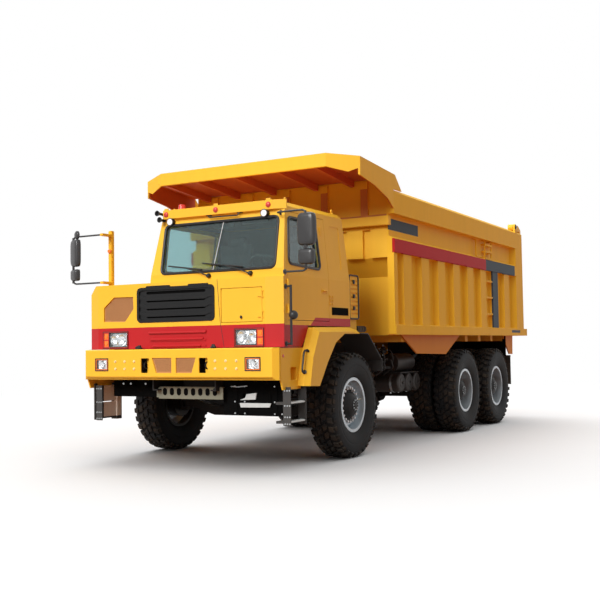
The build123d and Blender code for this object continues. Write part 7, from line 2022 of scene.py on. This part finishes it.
@dataclass
class Studio:
    """Floor, soft lights and the camera.

    Attributes:
        camera_at: the camera's place.
        yaw: its turn to the truck's right, in degrees.
        pitch: its upward tilt, in degrees.
        roll: its roll, in degrees.
        lens: its lens, in millimetres on a 36 mm sensor.
        sky: strength of the sky's light overhead.
        key_from: direction that the key light comes from.
        key_strength: the key light's strength.
        key_spread: the key light's angle, in degrees.
        back_from: direction that the back light comes from.
        back_strength: the back light's strength.
        back_spread: the back light's angle, in degrees.
        floor_near: distance at which the floor starts to turn plain white.
        floor_far: distance at which it is plain white.
    """

    camera_at: Point = (6.93, -13.96, 1.458)
    yaw: float = 29.097
    pitch: float = 2.819
    roll: float = -0.88
    lens: float = 56.345
    sky: float = 1.4
    key_from: Point = (-0.08, -0.86, 0.49)
    key_strength: float = 3.0
    key_spread: float = 30.0
    back_from: Point = (-0.38, 0.42, 0.82)
    back_strength: float = 1.1
    back_spread: float = 55.0
    floor_near: float = 9.0
    floor_far: float = 19.0

    def build(self) -> None:
        """Build the floor, the lights, the world and the camera."""
        floor = self._floor()
        self._world()
        key = self._sun("key", self.key_from, self.key_strength, self.key_spread)
        self._spare(key, floor)
        self._sun("back", self.back_from, self.back_strength, self.back_spread)
        self._camera()
        bpy.context.scene.view_settings.view_transform = "Standard"

    def _floor(self) -> bpy.types.Object:
        """Build a wide pale floor that turns plain white away from the truck and bounces little light."""
        mesh_data = bmesh.new()
        bmesh.ops.create_grid(mesh_data, x_segments=1, y_segments=1, size=140.0)
        floor = to_object("floor", mesh_data)
        material, sheet, shader, place = new_material("floor_white")
        cloud = sheet.add("ShaderNodeTexNoise", {"Vector": place, "Scale": 0.4})
        pale = sheet.mix(cloud.outputs["Fac"], (0.95, 0.95, 0.95), (0.97, 0.97, 0.97))
        sheet.link(sheet.mix(self._seen(sheet), (0.46, 0.20, 0.10), pale), shader.inputs["Base Color"])
        shader.inputs["Roughness"].default_value = 0.9
        shader.inputs["Specular IOR Level"].default_value = 0.0
        distance = sheet.add("ShaderNodeVectorMath", {0: place}, operation="LENGTH").outputs["Value"]
        fade = sheet.add("ShaderNodeMapRange", {
            "Value": distance, "From Min": self.floor_near, "From Max": self.floor_far, "To Min": 0.0,
            "To Max": 1.0}, interpolation_type="SMOOTHSTEP").outputs["Result"]
        share = sheet.math("MULTIPLY", fade, self._seen(sheet))
        white = sheet.add("ShaderNodeEmission", {"Color": (1.0, 1.0, 1.0, 1.0), "Strength": 1.0})
        chooser = sheet.add("ShaderNodeMixShader", {0: share, 1: shader.outputs[0], 2: white.outputs[0]})
        sheet.link(chooser.outputs[0], material.node_tree.nodes["Material Output"].inputs["Surface"])
        floor.data.materials.append(material)
        return floor

    @staticmethod
    def _seen(sheet: Sheet) -> bpy.types.NodeSocket:
        """Return 1 on the rays that see the background: straight, mirrored or through glass."""
        path = sheet.add("ShaderNodeLightPath")
        seen = sheet.math("MAXIMUM", path.outputs["Is Camera Ray"], path.outputs["Is Glossy Ray"])
        return sheet.math("MAXIMUM", seen, path.outputs["Is Transmission Ray"])

    def _world(self) -> None:
        """A soft sky, brightest overhead, that is white to the camera."""
        world = bpy.data.worlds.new("studio")
        world.use_nodes = True
        sheet = Sheet(world.node_tree)
        back = world.node_tree.nodes["Background"]
        split = sheet.add("ShaderNodeSeparateXYZ", {0: sheet.add("ShaderNodeTexCoord").outputs["Generated"]})
        height = sheet.math("POWER", sheet.math("MAXIMUM", split.outputs[2], 0.0), 1.4)
        sheet.link(sheet.math("MULTIPLY", height, self.sky), back.inputs["Strength"])
        back.inputs["Color"].default_value = (1.0, 1.0, 1.0, 1.0)
        plain = sheet.add("ShaderNodeBackground", {"Color": (1.0, 1.0, 1.0, 1.0), "Strength": 1.0})
        chooser = sheet.add("ShaderNodeMixShader", {
            0: self._seen(sheet), 1: back.outputs[0], 2: plain.outputs[0]})
        sheet.link(chooser.outputs[0], world.node_tree.nodes["World Output"].inputs["Surface"])
        bpy.context.scene.world = world

    @staticmethod
    def _sun(name: str, source: Point, strength: float, spread: float) -> bpy.types.Object:
        """Add a broad, even light from a direction.

        Args:
            name: the light's name.
            source: the direction that it comes from.
            strength: its strength.
            spread: its angle, in degrees.

        Returns:
            The light.
        """
        data = bpy.data.lights.new(name, "SUN")
        data.energy = strength
        data.angle = math.radians(spread)
        lamp = bpy.data.objects.new(name, data)
        lamp.rotation_euler = (-Vector(source)).to_track_quat("-Z", "Y").to_euler()
        lamp.location = Vector(source) * 20.0
        bpy.context.scene.collection.objects.link(lamp)
        return lamp

    @staticmethod
    def _spare(lamp: bpy.types.Object, piece: bpy.types.Object) -> None:
        """Keep a light off one piece, so that its shadow falls by the other lights alone.

        Args:
            lamp: the light.
            piece: the piece that it passes over.
        """
        spared = bpy.data.collections.new(f"{lamp.name}_spares")
        spared.objects.link(piece)
        spared.collection_objects[0].light_linking.link_state = "EXCLUDE"
        lamp.light_linking.receiver_collection = spared

    def _camera(self) -> None:
        """The camera at the photograph's view."""
        yaw, pitch, roll = (math.radians(angle) for angle in (self.yaw, self.pitch, self.roll))
        forward = Vector((-math.sin(yaw) * math.cos(pitch), math.cos(yaw) * math.cos(pitch), math.sin(pitch)))
        level = Vector((math.cos(yaw), math.sin(yaw), 0.0))
        above = level.cross(forward)
        right = math.cos(roll) * level + math.sin(roll) * above
        up = -math.sin(roll) * level + math.cos(roll) * above
        turn = Matrix((right, up, -forward)).transposed()
        data = bpy.data.cameras.new("camera")
        data.lens = self.lens
        data.sensor_width = 36.0
        data.clip_end = 300.0
        camera = bpy.data.objects.new("camera", data)
        camera.matrix_world = Matrix.Translation(self.camera_at) @ turn.to_4x4()
        bpy.context.scene.collection.objects.link(camera)
        bpy.context.scene.camera = camera


@dataclass
class FrameDress:
    """Finishes for the nodes that are shown as they are.

    Attributes:
        paints: the truck's finishes.
        nodes: node name to object.
        finishes: node name to finish name.
    """

    paints: Paintbox
    nodes: dict[str, bpy.types.Object]
    finishes: dict[str, str] = field(default_factory=lambda: {
        "frame": "chassis_black", "front_axle": "cast_black", "suspension": "chassis_black",
        "rear_axles": "cast_black", "engine": "cast_black", "driveline": "chassis_black",
        "nose": "nose_yellow",
        "grille": "grille_black", "lamp_housings": "trim_black", "headlamps": "lamp_glass",
        "indicators": "orange_plastic", "bumper": "plain_yellow", "bumper_lamps": "lamp_glass",
        "mesh_panels": "mesh_shade_tan", "side_panels": "cab_yellow", "mudguards": "guard_black",
        "mud_flaps": "flap_rubber", "step_ladders": "step_grey", "grab_rail": "trim_black",
        "fuel_tank": "tank_grey", "air_tanks": "tank_grey", "air_intake": "plain_yellow",
        "skid_plate": "grey_plate", "sun_visor": "plain_yellow", "roof_lamps": "roof_lamp_mix",
        "mirrors_left": "trim_black", "mirrors_right": "trim_black", "dashboard": "dash_grey",
        "seats": "seat_cloth", "tail_lamps": "tail_lens", "cab_shell": "cab_yellow",
        "cab_glass": "window_glass", "door_glass": "window_glass", "knuckle_left": "cast_black",
        "knuckle_right": "cast_black", "tie_rod": "chassis_black", "cab_door": "cab_yellow",
        "nose_hatch": "nose_yellow", "bed_floor": "bed_floor_paint", "bed_side_left": "bed_side_yellow",
        "bed_side_right": "bed_side_yellow", "bed_front": "headboard_yellow", "bed_canopy": "canopy_yellow",
        "tailgate": "plain_yellow", "hoist_barrels": "chassis_black", "hoist_stages": "rod_chrome",
        "hoist_rods": "rod_chrome"})

    def build(self) -> None:
        """Give each node its finish."""
        for name, node in self.nodes.items():
            finish = self.finishes.get(name)
            if finish is None:
                finish = "tyre_rubber" if name.startswith("tyre_") else "rim_silver"
            material = self.paints[finish]
            for slot in node.material_slots:
                slot.material = material
            if not node.material_slots:
                node.data.materials.append(material)
            LOG.info("%s: %s", name, finish)


def main() -> None:
    """Build the whole scene."""
    logging.basicConfig(level=logging.INFO, format="%(message)s")
    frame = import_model()
    paints = Paintbox()
    fitter = Fitter(paints)
    forge = NodeForge()
    FrameDress(paints, frame["nodes"]).build()
    for group in (Tyres, WheelTrim, LampTrim, NoseTrim, CabTrim, Mirrors, Seats, DashTrim, StepTrim,
                  Underbody, BedTrim):
        group(fitter, forge).build()
    Studio().build()


if __name__ == "__main__":
    main()
